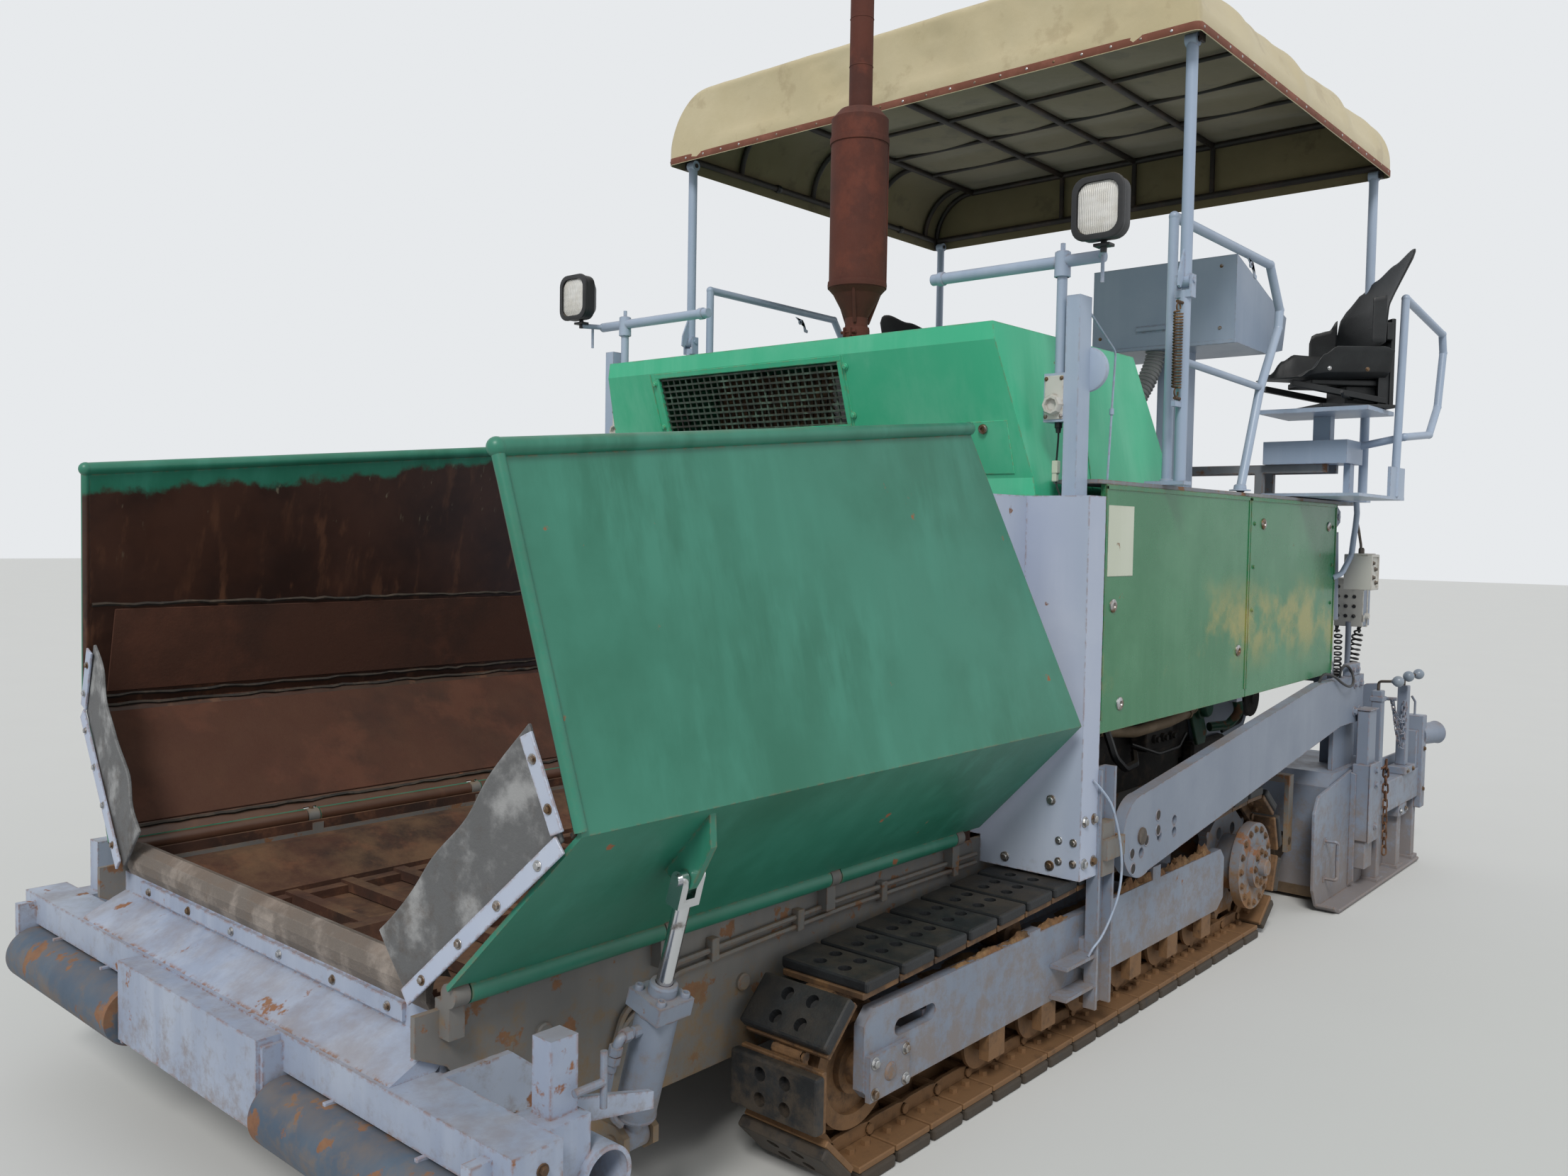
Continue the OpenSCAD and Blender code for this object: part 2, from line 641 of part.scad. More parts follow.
// Triangular plate under the wing that the cylinder's fork straddles
module wing_bracket() {
  low_dir = [chine_y - hinge_y, chine_z - hinge_z] / norm([chine_y - hinge_y, chine_z - hinge_z]);
  out = [low_dir[1], -low_dir[0]];
  function at(t, o) = [hinge_y, hinge_z] + low_dir * t + out * o;
  difference() {
    cross_plate([at(520, -2), at(466, 54), at(374, 76), at(350, 80), at(330, 72), at(320, 56), at(312, -2)], ram_x - 10, ram_x + 10);
    translate([ram_x - 11, ram_eye_y, ram_eye_z]) rotate([0, 90, 0]) cylinder(h = 22, r = 17);
  }
}

module wing_flap(s) {
  color([0.25, 0.25, 0.25]) on_side(s)
    hull() {
      block([2893.1, 745, 695], [2905, 765, 715]);
      block([2893.1, 640, 790], [2905, 660, 850]);
      block([2829.6, 1195, 1100], [2842, 1215, 1120]);
      block([2843.7, 1100, 1330], [2856, 1120, 1350]);
    }
}

// Wing cylinder's barrel, from its foot eye up to its gland
module wing_barrel(s) {
  color([0.55, 0.57, 0.60]) on_side(s)
    translate([ram_x, ram_base_y, ram_base_z]) rotate([-ram_tilt, 0, 0]) difference() {
      union() {
        translate([0, 0, 60]) cylinder(h = ram_barrel_len - 60, r = ram_r);
        cylinder(h = 60.1, r = 26);
        translate([-34, 0, 0]) rotate([0, 90, 0]) cylinder(h = 68, r = 34);
        translate([-54, -54, ram_barrel_len - 44]) cube([108, 108, 44]);
        translate([0, 0, ram_barrel_len - 0.1]) cylinder(h = 22, r = 34);
      }
      translate([-61, 0, 0]) rotate([0, 90, 0]) cylinder(h = 122, r = ram_pin_r + fit);
      translate([0, 0, 66]) cylinder(h = ram_barrel_len, r = ram_rod_r + fit);
    }
}

module wing_rod(s) {
  color([0.80, 0.80, 0.82]) on_side(s)
    translate([ram_x, ram_base_y, ram_base_z]) rotate([-ram_tilt, 0, 0]) {
      translate([0, 0, 256]) cylinder(h = ram_len - 256 - 65, r = ram_rod_r);
      translate([-34, -20, ram_len - 66]) cube([68, 40, 22]);
      for (q = [-1, 1]) {
        translate([q * 24 - 10, -20, ram_len - 44.1]) cube([20, 40, 44.1]);
        translate([q * 24 - 10, 0, ram_len]) rotate([0, 90, 0]) cylinder(h = 20, r = 20);
        translate([q * 25, 0, ram_len]) rotate([0, q * 90, 0]) cylinder(h = 18, r = 13);
      }
    }
}

// Sheet-metal hood over the engine, open at the grille
module hood() {
  foot = hood_half + hood_slant;
  base_z = bulk_z1 + seat_gap;
  color([0.05, 0.45, 0.30]) difference() {
    intersection() {
      cross_plate([[-foot, base_z], [foot, base_z], [hood_half, hood_z], [-hood_half, hood_z]], hood_foot_x0 - 10, hood_x1 + 10);
      side_plate([[hood_foot_x0, base_z], [hood_x0, hood_z], [hood_x1, hood_z], [hood_x1, hood_z - 60],
        [bulk_x1, base_z + 60], [bulk_x1, base_z]], -foot - 1, foot + 1);
    }
    intersection() {
      cross_plate([[-foot + sheet_t, base_z - 5], [foot - sheet_t, base_z - 5], [hood_half - sheet_t, hood_z - sheet_t],
        [-hood_half + sheet_t, hood_z - sheet_t]], hood_foot_x0 - 10, hood_x1 + 10);
      side_plate([[hood_foot_x0 + sheet_t, base_z - 5], [hood_x0 + sheet_t, hood_z - sheet_t],
        [hood_x1 - sheet_t, hood_z - sheet_t], [hood_x1 - sheet_t, hood_z - 64],
        [bulk_x1 - sheet_t, base_z + 56], [bulk_x1 - sheet_t, base_z - 5]], -foot - 1, foot + 1);
    }
    block([bulk_x1 - 60, grille_y0, grille_z0], [hood_x1 + 20, grille_y1, grille_z1]);
    translate([540, 130, hood_z - 40]) cylinder(h = 60, r = 70);
  }
}
grille_y0 = -647;
grille_y1 = 286;
grille_z0 = 2130;
grille_z1 = 2350;

// Grid of bars in the hood's front opening
module grille() {
  n_y = 27;
  n_z = 9;
  bar = 7;
  slope = atan((hood_x1 - bulk_x1) / (hood_z - 60 - bulk_z1 - seat_gap - 60));
  x = bulk_x1 + (grille_z0 - bulk_z1 - 60) * tan(slope) - 16;
  high = (grille_z1 - grille_z0) / cos(slope) - 4;
  wide = grille_y1 - grille_y0 - 2 * seat_gap;
  color([0.20, 0.16, 0.14]) translate([x, grille_y0 + seat_gap, grille_z0 + 3.4]) rotate([0, slope, 0]) {
    for (i = [0:n_y]) block([0, i * (wide - bar) / n_y, 0], [6, i * (wide - bar) / n_y + bar, high]);
    for (i = [0:n_z]) block([4, 0, i * (high - bar) / n_z], [10, wide, i * (high - bar) / n_z + bar]);
  }
}

// The engine as one plain block with its sump
module engine_block() {
  color([0.04, 0.30, 0.20]) {
    block([-1100, -330, 760], [560, 330, 1700]);
    block([-900, -240, 660], [300, 240, 760.1]);
    block([-1100, 329.9, 900], [-300, 700, 1400]);
    for (x = [-1000, 200]) block([x, -frame_y, frame_z1 + seat_gap], [x + 80, frame_y, 760.1]);
  }
}

// Side panels in two sections on each side, the lower edge rising to the rear
module side_panels() {
  color([0.05, 0.45, 0.30]) both_sides() {
    side_plate([[540, panel_z0], [540, deck_z - 14], [-748, deck_z - 14], [-748, panel_z0 + 12]], body_half - sheet_t, body_half);
    side_plate([[-756, panel_z0 + 12], [-756, deck_z - 14], [body_x0, deck_z - 14], [body_x0, panel_z0 + 30]],
      body_half - sheet_t, body_half);
  }
}

// Platform floor with its front step beside the hood
module deck() {
  top = deck_z;
  color([0.45, 0.47, 0.50]) {
    block([body_x0 - 300, -body_half, top - 13.5], [hood_foot_x0 - 1, body_half, top]);
    for (x = seat_rail_x) {
      both_sides() block([x - 16, 830, top - 0.1], [x + 16, 870, 2060.1]);
      block([x - 16, 30 - body_half, 2060], [x + 16, body_half - 30, 2100]);
    }
    both_sides() block([hood_foot_x0 - 1.1, hood_half + hood_slant + 2, top - 13.5], [bulk_x0 - 1, body_half, top]);
  }
}

// Walls and posts that carry the platform behind the engine
module rear_frame() {
  in_y = body_half - sheet_t - seat_gap;
  beam_y = body_half - 60;
  low_z = 1060;
  color([0.62, 0.65, 0.70]) {
    both_sides() {
      block([body_x0 - 12, beam_y, 1000], [body_x0 + 60, in_y, deck_z - 13.8]);
      block([-780, beam_y, low_z], [-720, in_y, deck_z - 13.8]);
      side_plate([[frame_x0 + 10, 460], [frame_x0 + 200, 500], [frame_x0 + 400, low_z + 80], [body_x0 + 59.9, low_z + 80], [body_x0 + 59.9, low_z]],
        frame_y + seat_gap, frame_y + 24);
      block([-780, frame_y + seat_gap, low_z], [-720, in_y, low_z + 80]);
      for (q = [-1, 1]) side_plate([[body_x0 - 11.9, lift_top_z - 60], [lift_x - 26, lift_top_z - 26], [lift_x - 26, lift_top_z + 26],
        [body_x0 - 11.9, lift_top_z + 60]], lift_y + q * 32 - 6, lift_y + q * 32 + 6);
      cross_pin(lift_x, lift_y - 42, lift_y + 42, lift_top_z, lift_pin_r);
      block([body_x0 - 12, lift_y - 38, lift_top_z - 60], [body_x0 - seat_gap, lift_y + 38, lift_top_z + 60]);
    }
    block([body_x0, -beam_y - 0.1, low_z], [body_x0 + 60, beam_y + 0.1, low_z + 80]);
    block([body_x0, -beam_y - 0.1, deck_z - 113], [body_x0 + 20, beam_y + 0.1, deck_z - 13.8]);
    block([body_x0 + 20, -frame_y + 60, low_z + 79.9], [body_x0 + 30, frame_y - 60, deck_z - 112.9]);
  }
}

// Exhaust: flange, cone, silencer and pipe
module exhaust() {
  x = 540;
  y = 130;
  color([0.32, 0.13, 0.09]) translate([x, y, 0]) difference() {
    union() {
      translate([0, 0, hood_z + seat_gap]) cylinder(h = 14, r = 105);
      translate([0, 0, hood_z + 12]) cylinder(h = 80, r = 44);
      translate([0, 0, hood_z + 70]) rotate_extrude() polygon([[0, 0], [44, 0], [44, 60], [92, 150], [muffler_r, 170],
        [muffler_r, 815], [80, 850], [44, 862], [0, 862]]);
      translate([0, 0, hood_z + 900]) cylinder(h = exhaust_z - hood_z - 900, r = 45);
    }
    translate([0, 0, exhaust_z - 400]) cylinder(h = 401, r = 39);
  }
}

// Control console on its pedestal
module console() {
  color([0.55, 0.60, 0.66]) {
    difference() {
      translate([0, 970, 0]) rotate([90, 0, 0]) linear_extrude(690) polygon([[-1110, 2610], [-1110, 2995], [-1500, 2870],
        [-1740, 2800], [-1700, 2640], [-1500, 2600]]);
      translate([0, 950, 0]) rotate([90, 0, 0]) linear_extrude(650) polygon([[-1130, 2630], [-1130, 2969], [-1500, 2850],
        [-1715, 2786], [-1684, 2655], [-1500, 2620]]);
    }
    block([-1330, 560, deck_z + seat_gap], [-1230, 700, 2610.1]);
    block([-1400, 500, deck_z + seat_gap], [-1160, 760, deck_z + 16]);
  }
}

// Rails at the platform's front corners
module handrails() {
  color([0.62, 0.67, 0.74]) both_sides() {
    rail([[rail_x, rail_y, deck_z + seat_gap], [rail_x, rail_y, 2900], [-940, rail_y, 2890], [-1070, rail_y, 2720],
      [-1060, rail_y, 2640], [-870, rail_y, 2360], [-690, rail_y, deck_z + 8]], rail_r);
    rod([rail_x, rail_y, 2395], [-880, rail_y, 2370], rail_r - 4);
  }
}

// Square posts at the hopper's rear corners, with the switch boxes
module corner_posts() {
  color([0.62, 0.67, 0.74]) both_sides() {
    block([610, 1115, bulk_z1 + seat_gap], [690, 1165, 2520]);
    block([620, 1040, 2110], [690, 1115.1, 2270]);
    rod([655, 1078, 2269], [655, 1078, 2615.7], 17);
  }
}

// Work lamps on their tee tubes
module lamps() {
  color([0.10, 0.10, 0.10]) both_sides() {
    difference() {
      union() {
        block([700, 1180, 2660], [800, 1360, 2860]);
        translate([655, 1078, 2640]) sphere(r = 24);
      }
      translate([790, 1270, 2760]) rotate([0, 90, 0]) cylinder(h = 20, r = 74);
    }
    rod([655, 560, 2640], [655, 1230, 2640], 20);
    rod([655, 1220, 2640], [740, 1270, 2662], 12);
  }
}

// Fixed lower posts of the canopy, each with two ears at its hinge
module canopy_stands() {
  color([0.62, 0.67, 0.74]) both_sides() {
    for (x = [post_x1, post_x0]) {
      rod([x, post_y, deck_z + 4], [x, post_y, fold_z - 34], post_r);
      for (q = [-1, 1]) block([x - 20, post_y + q * 27 - 4, fold_z - 60], [x + 20, post_y + q * 27 + 4, fold_z + 22]);
      block([x - 20, post_y - 31, fold_z - 60], [x + 20, post_y + 31, fold_z - 34]);
      cross_pin(x, post_y - 36, post_y + 36, fold_z, post_pin_r);
      block([x - 32, body_half - 70, deck_z + seat_gap], [x + 32, post_y + 30, deck_z + 14]);
    }
    block([post_x1, post_y - 8, fold_z - 450], [post_x1 + 74, post_y + 8, fold_z - 430 - seat_gap]);
  }
}

// Springs that balance the canopy, as plain tubes in front of the posts
module canopy_springs() {
  color([0.70, 0.73, 0.78]) both_sides()
    rod([post_x1 + 52, post_y, fold_z - 430], [post_x1 + 52, post_y, fold_z - 70], 19);
}

// Folding upper posts with an eye at each end
module canopy_post(x) {
  difference() {
    union() {
      rod([x, post_y, fold_z], [x, post_y, roof_pin_z], post_r);
      cross_pin(x, post_y - 22, post_y + 22, fold_z, 24);
      cross_pin(x, post_y - 22, post_y + 22, roof_pin_z, 24);
    }
    cross_pin(x, post_y - 23, post_y + 23, fold_z, post_pin_r + fit);
    cross_pin(x, post_y - 23, post_y + 23, roof_pin_z, post_pin_r + fit);
  }
}

module canopy_posts_front() {
  color([0.62, 0.67, 0.74]) both_sides() {
    canopy_post(post_x1);
    side_plate([[post_x1 + 12, fold_z + 130], [post_x1 + 58, fold_z + 24], [post_x1 + 62, fold_z - 24],
      [post_x1 + 46, fold_z - 30], [post_x1 + 23, fold_z + 8]], post_y - 4, post_y + 4);
  }
}

module canopy_posts_rear() {
  color([0.62, 0.67, 0.74]) both_sides() canopy_post(post_x0);
}

// Quarter-circle side bow from a hem rail to a top rail
module side_bow(x) {
  translate([x, ridge_y, hem_rail_z]) rotate([90, 0, 90])
    rotate_extrude(angle = 90) translate([bow_bend, 0]) circle(r = bow_r - 2);
}

// Tube frame of the roof, with the pins that the posts hold
module canopy_frame() {
  cross_xs = [for (i = [1:5]) roof_ends[1] + 70 + i * 370];
  bow_xs = [roof_ends[0], roof_ends[1], roof_ends[1] + 125, for (i = [1:3]) roof_ends[1] + 55 + i * 570];
  color([0.20, 0.20, 0.20]) {
    both_sides() {
      rod([roof_ends[1], hem_rail_y, hem_rail_z], [roof_ends[0], hem_rail_y, hem_rail_z], bow_r - 1);
      for (y = [roof_tube_y, ridge_y]) rod([roof_ends[1], y, roof_top_z], [roof_ends[0], y, roof_top_z], bow_r - 1);
      for (x = [post_x1, post_x0]) {
        cross_pin(x, post_y - 26, post_y + 34, roof_pin_z, post_pin_r);
        block([x - 16, post_y + 30, roof_pin_z - 14], [x + 16, post_y + 40, hem_rail_z]);
      }
      for (x = bow_xs) side_bow(x);
      for (x = roof_ends) {
        rod([x, roof_tube_y, hem_rail_z], [x, roof_tube_y, roof_top_z], bow_r - 3);
        for (p = [[hem_rail_y, hem_rail_z], [ridge_y, roof_top_z]]) translate([x, p[0], p[1]]) sphere(r = bow_r * joint_swell);
      }
    }
    rod([roof_ends[1], 0, roof_top_z], [roof_ends[0], 0, roof_top_z], bow_r - 1);
    for (x = cross_xs) rod([x, -ridge_y, roof_top_z + 2], [x, ridge_y, roof_top_z + 2], bow_r - 6);
    for (x = roof_ends) {
      rod([x, -hem_rail_y, hem_rail_z], [x, hem_rail_y, hem_rail_z], bow_r);
      rod([x, -ridge_y, roof_top_z], [x, ridge_y, roof_top_z], bow_r);
      rod([x, 0, hem_rail_z], [x, 0, roof_top_z], bow_r - 3);
    }
  }
}

// Outline of the roof across its length, with its curved sides drawn at a radius and its feet at a height
function roof_section(r, foot) = let (side = [for (i = [0:8]) [ridge_y + r * cos(90 * i / 8), hem_rail_z + r * sin(90 * i / 8)]])
  concat([[ridge_y + r, foot]], side, [for (i = [8:-1:0]) [-side[i][0], side[i][1]]], [[-ridge_y - r, foot]]);

// Canvas cover as one closed shell over the bows and down to the hem
module canopy_cover() {
  outer = bow_bend + bow_inset;
  top = canopy_z + canopy_rise;
  fold = 8;
  color([0.66, 0.58, 0.42]) difference() {
    intersection() {
      cross_plate(roof_section(outer, canopy_z), canopy_x0, canopy_x1);
      side_plate([[canopy_x0, canopy_z], [canopy_x0, top - fold], [canopy_x0 + fold, top],
        [canopy_x1 - fold, top], [canopy_x1, top - fold], [canopy_x1, canopy_z]], -canopy_half, canopy_half);
    }
    cross_plate(roof_section(outer - canvas_t, canopy_z - 1), canopy_x0 + canvas_t, canopy_x1 - canvas_t);
  }
}

// Channel in which a tow block slides, open outwards, held by the track beam
module tow_guides() {
  color([0.70, 0.73, 0.78]) both_sides() {
    translate([0, 0, guide_z0]) linear_extrude(guide_z1 - guide_z0) polygon([[guide_x0, guide_y0], [guide_x1, guide_y0], [guide_x1, guide_y1],
      [guide_x1 - 14, guide_y1], [guide_x1 - 14, guide_y0 + 10], [guide_x0 + 14, guide_y0 + 10], [guide_x0 + 14, guide_y1], [guide_x0, guide_y1]]);
    block([guide_x0 + 4, track_y + bed_gap + beam_t + seat_gap, beam_z0 + 65], [guide_x1 - 4, guide_y0 + 0.1, beam_z1 - 80]);
    for (z = [beam_z0 + 10, beam_z0 + 112])
      block([guide_x1 - 14, track_y + bed_gap + beam_t + seat_gap, z], [guide_x1 + 190, guide_y1 - 6, z + 12]);
  }
}

module tow_blocks() {
  out_y = guide_y1 + 5;
  in_y = arm_y - arm_t - run_gap;
  color([0.50, 0.52, 0.55]) both_sides() {
    block([guide_x0 + 14 + seat_gap, guide_y0 + 12, tow_z - 90], [guide_x1 - 14 - seat_gap, out_y + 0.1, tow_z + 90]);
    block([guide_x0 - 34, out_y, tow_z - 34], [guide_x1 - 16, out_y + 16, tow_z + 34]);
    block([guide_x0 - 34, in_y - 20, tow_z - 34], [guide_x0 - 12, out_y + 0.1, tow_z + 34]);
    difference() {
      side_plate([[guide_x0 - 33.9, tow_z - 34], [guide_x0 - 33.9, tow_z + 34], [tow_x, tow_z + 50], [tow_x - 44, tow_z + 20],
        [tow_x - 44, tow_z - 20], [tow_x, tow_z - 50]], in_y - 20, in_y);
      cross_pin(tow_x, in_y - 21, in_y + 1, tow_z, tow_pin_r + fit);
    }
  }
}

module tow_pins() {
  color([0.55, 0.55, 0.55]) both_sides() cross_pin(tow_x, arm_y - arm_t - run_gap - 26, arm_y + 6, tow_z, tow_pin_r);
}

// Long arms from the tow pins back to the screed, with spare holes for the pin
tow_holes = [[0, -60], [-146, -26], [-273, 11], [-273, -32]];
module tow_arms() {
  color([0.68, 0.71, 0.76]) both_sides() difference() {
    union() {
      side_plate([[tow_x - 60, tow_z - 133], [tow_x, tow_z + 145], [-1556, 1075], [-2200, 1075], [-2200, 845], [-1858, 845]],
        arm_y - arm_t, arm_y);
      cross_pin(tow_x, arm_y - arm_t, arm_y, tow_z, 146);
    }
    cross_pin(tow_x, arm_y - arm_t - 1, arm_y + 1, tow_z, tow_pin_r + fit);
    for (p = tow_holes) cross_pin(tow_x + p[0], arm_y - arm_t - 1, arm_y + 1, tow_z + p[1], 19);
  }
}

// Screed box with its top covers
module screed_body() {
  color([0.60, 0.63, 0.68]) {
    difference() {
      side_plate([[screed_x1, 70], [screed_x1, 560], [screed_x1 - 60, 620], [screed_x0 + 300, 620], [screed_x0, 420], [screed_x0, 70]],
        -screed_half + seat_gap, screed_half - seat_gap);
      side_plate([[screed_x1 - 16, 60], [screed_x1 - 16, 554], [screed_x1 - 66, 604], [screed_x0 + 305, 604], [screed_x0 + 16, 412],
        [screed_x0 + 16, 60]], -screed_half + 16, screed_half - 16);
    }
    both_sides() side_plate([[-2200, 619], [-1900, 619], [-1900, 900], [-2200, 900]], arm_y - arm_t - 20, arm_y - arm_t - seat_gap);
    both_sides() block([-2200, screed_half - 160, 600], [-2120, arm_y - arm_t - 19.9, 1000]);
  }
}

module screed_plate() {
  color([0.40, 0.40, 0.40]) side_plate([[screed_x1, 20], [screed_x1 + 0, 69.7], [screed_x0, 69.7], [screed_x0, 8], [screed_x1 - 70, 0]],
    -screed_half + seat_gap, screed_half - seat_gap);
}

module end_plates() {
  color([0.70, 0.73, 0.78]) both_sides() {
    side_plate([[-1600, 40], [-1540, 120], [-1530, 480], [-1590, 560], [-1900, 610], [-2900, 600], [-2960, 500], [-2960, 40], [-2900, 2], [-1660, 2]],
      screed_half + seat_gap, screed_half + end_t);
  }
}

// Crank columns and boxes on the screed's rear
module screed_gear() {
  color([0.66, 0.69, 0.74]) both_sides() {
    block([-2420, 1080, 620 + seat_gap], [-2340, 1150, 1000]);
    rod([-2380, 1115, 999], [-2380, 1115, 1320], 14);
    block([-2500, 1020, 1300], [-2380, 1180, 1540]);
    cross_pin(lift_x1, lift_y + 27, arm_y - arm_t - seat_gap, lift_eye_z, 30);
  }
}

module screed_walkway() {
  rear_x = -roller_x - roller_r;
  color([0.45, 0.47, 0.50]) {
    block([rear_x, -screed_half + 10, 330], [screed_x0 - seat_gap, screed_half - 10, 350]);
    both_sides() block([rear_x, screed_half - 60, 250], [screed_x0 - seat_gap, screed_half - 40, 330.1]);
  }
}

module auger_carrier() {
  beam_x1 = frame_x0 - seat_gap;
  color([0.50, 0.52, 0.55]) {
    block([auger_x - 60, -45, auger_z - 110], [auger_x + 60, 45, 640]);
    block([auger_x - 40, -700, 600], [beam_x1, 700, 640]);
    both_sides() {
      difference() {
        block([auger_x - 30, 1120, auger_z - 50], [auger_x + 30, 1140, 640]);
        cross_pin(auger_x, 1119, 1141, auger_z, 20 + fit);
      }
      block([auger_x - 30, 699.9, 605], [auger_x + 30, 1140, 640]);
    }
  }
}

// Auger shaft with a screw flight, moving material outwards
module auger(s) {
  len = 1040;
  color([0.40, 0.36, 0.33]) on_side(s) {
    cross_pin(auger_x, 62, 62 + len, auger_z, auger_shaft_r);
    cross_pin(auger_x, 45 + seat_gap, 62.1, auger_z, 24);
    cross_pin(auger_x, 62 + len - 0.1, 1140, auger_z, 20);
    translate([auger_x, 80, auger_z]) rotate([-90, 0, 0])
      linear_extrude(height = len - 30, twist = -360 * auger_turns, slices = 14 * auger_turns, segments = 4)
        translate([0, -7]) square([auger_r, 14]);
  }
}

// Lift cylinder, hung from a pin behind the platform
module lift_barrel(s) {
  color([0.60, 0.63, 0.68]) on_side(s) translate([lift_x, lift_y, lift_top_z]) rotate([0, lift_tilt, 0]) difference() {
    union() {
      translate([0, 0, -lift_barrel_len]) cylinder(h = lift_barrel_len - 75, r = lift_r);
      translate([0, 0, -75.1]) cylinder(h = 75.1, r = 20);
      cross_pin(0, -24, 24, 0, 33);
    }
    cross_pin(0, -25, 25, 0, lift_pin_r + fit);
    translate([0, 0, -lift_barrel_len - 1]) cylinder(h = lift_barrel_len - 80, r = lift_rod_r + fit);
  }
}

module lift_rod(s) {
  color([0.80, 0.80, 0.82]) on_side(s) translate([lift_x, lift_y, lift_top_z]) rotate([0, lift_tilt, 0]) {
    translate([0, 0, -lift_len + 20]) cylinder(h = lift_len - 20 - 345, r = lift_rod_r);
    cross_pin(0, -20, 20, -lift_len, 32);
  }
}

module seat_frame(s) {
  plate_z = deck_z + 6;
  color([0.60, 0.63, 0.68]) on_side(s) {
    block([-1990, body_half - 160, plate_z], [-1300, seat_y1 + 10, plate_z + 14]);
    block([-1985, seat_y1 - 4, plate_z + 13.9], [-1760, seat_y1 + 10, plate_z + 150]);
    block([-1980, 880, 2100 + seat_gap], [-1740, 1270, 2210]);
    block([-1900, 1080, 2209.9], [-1840, 1160, 2330.1]);
    block([-1890, seat_y1 - 220, plate_z + 13.9], [-1830, seat_y1 - 190, 2102.1]);
    block([-1990, seat_y1 - 540, 2330], [-1590, seat_y1 - 50, 2350]);
    rail([[-1860, seat_y1, plate_z + 13.9], [-1930, seat_y1, 2870], [-2600, seat_y1, 2790], [-2630, seat_y1, 2700], [-2560, seat_y1, 2420],
      [-2420, seat_y1, 2270], [-1990, seat_y1, 2230], [-1960, 1260, 2190]], 18);
  }
}

module seat(s) {
  low = seat_y1 - 520;
  high = seat_y1 - 20;
  color([0.08, 0.08, 0.08]) on_side(s) {
    side_plate([[-1520, 2440], [-1560, 2500], [-1860, 2450], [-1930, 2480], [-1990, 3090], [-2010, 3130], [-2024, 3110],
      [-1990, 2420], [-1960, 2350 + seat_gap], [-1640, 2350 + seat_gap]], low + 30, high - 30);
    for (y = [low, high - 50]) side_plate([[-1600, 2420], [-1600, 2530], [-1860, 2590], [-1900, 2900], [-2010, 3110], [-2026, 3000],
      [-1990, 2380]], y, y + 50);
  }
}

frame();
hopper_floor();
conveyor();
bulkhead();
front_apron();
push_beam();
push_roller(1);  // push_roller_left
push_roller(-1);  // push_roller_right
wing(1);  // wing_left
wing(-1);  // wing_right
wing_flap(1);  // wing_flap_left
wing_flap(-1);  // wing_flap_right
wing_barrel(1);  // wing_barrel_left
wing_barrel(-1);  // wing_barrel_right
wing_rod(1);  // wing_rod_left
wing_rod(-1);  // wing_rod_right
track_frames();
track(1);  // track_left
track(-1);  // track_right
sprockets();
idlers();
track_rollers();
hood();
grille();
engine_block();
side_panels();
deck();
rear_frame();
exhaust();
console();
handrails();
lamps();
corner_posts();
canopy_stands();
canopy_springs();
canopy_posts_front();
canopy_posts_rear();
canopy_frame();
canopy_cover();
tow_guides();
tow_blocks();
tow_pins();
tow_arms();
screed_body();
screed_plate();
end_plates();
screed_gear();
screed_walkway();
auger_carrier();
auger(1);  // auger_left
auger(-1);  // auger_right
lift_barrel(1);  // lift_barrel_left
lift_barrel(-1);  // lift_barrel_right
lift_rod(1);  // lift_rod_left
lift_rod(-1);  // lift_rod_right
seat_frame(1);  // seat_frame_left
seat_frame(-1);  // seat_frame_right
seat(1);  // seat_left
seat(-1);  // seat_right
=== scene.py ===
"""Dresses the tracked asphalt paver around its CAD frame.

CAD nodes keep their shapes and get worn paint, rust, rubber and dust. The
pieces made here need more than a solid: drilled track pads, canvas, coil
springs, bent seat shells, lamps, screws, hoses, pipes and chains.
"""

import logging
import math
import random
from contextlib import contextmanager
from dataclasses import dataclass
from enum import Enum
from typing import Callable, Iterable, Iterator, Sequence

import bpy
from mathutils import Matrix, Vector, noise


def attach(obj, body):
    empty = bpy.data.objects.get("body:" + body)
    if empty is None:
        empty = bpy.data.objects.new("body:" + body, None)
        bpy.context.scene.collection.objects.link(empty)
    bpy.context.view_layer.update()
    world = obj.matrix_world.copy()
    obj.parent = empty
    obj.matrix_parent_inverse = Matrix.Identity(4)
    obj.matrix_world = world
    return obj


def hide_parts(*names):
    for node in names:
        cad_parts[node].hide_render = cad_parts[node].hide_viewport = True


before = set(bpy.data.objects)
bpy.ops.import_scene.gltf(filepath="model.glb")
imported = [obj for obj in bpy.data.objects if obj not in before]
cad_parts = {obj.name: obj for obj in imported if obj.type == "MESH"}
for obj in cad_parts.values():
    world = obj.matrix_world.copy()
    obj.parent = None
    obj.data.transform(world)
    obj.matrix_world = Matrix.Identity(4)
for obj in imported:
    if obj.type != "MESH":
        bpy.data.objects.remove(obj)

LOG = logging.getLogger("paver")
Place = tuple[float, float, float]
Flat = tuple[float, float]
Tone = tuple[float, float, float, float]
SIDES = (("left", 1), ("right", -1))
FLIP = Matrix.Diagonal((1, -1, 1, 1))


def tone(code: str) -> Tone:
    """Gives the linear colour of a paint code.

    Args:
        code: Six hex digits of the colour as it looks on a screen.

    Returns:
        The linear red, green, blue and alpha.
    """
    parts = [int(code[i : i + 2], 16) / 255 for i in (0, 2, 4)]
    lin = [p / 12.92 if p <= 0.04045 else ((p + 0.055) / 1.055) ** 2.4 for p in parts]
    return lin[0], lin[1], lin[2], 1.0


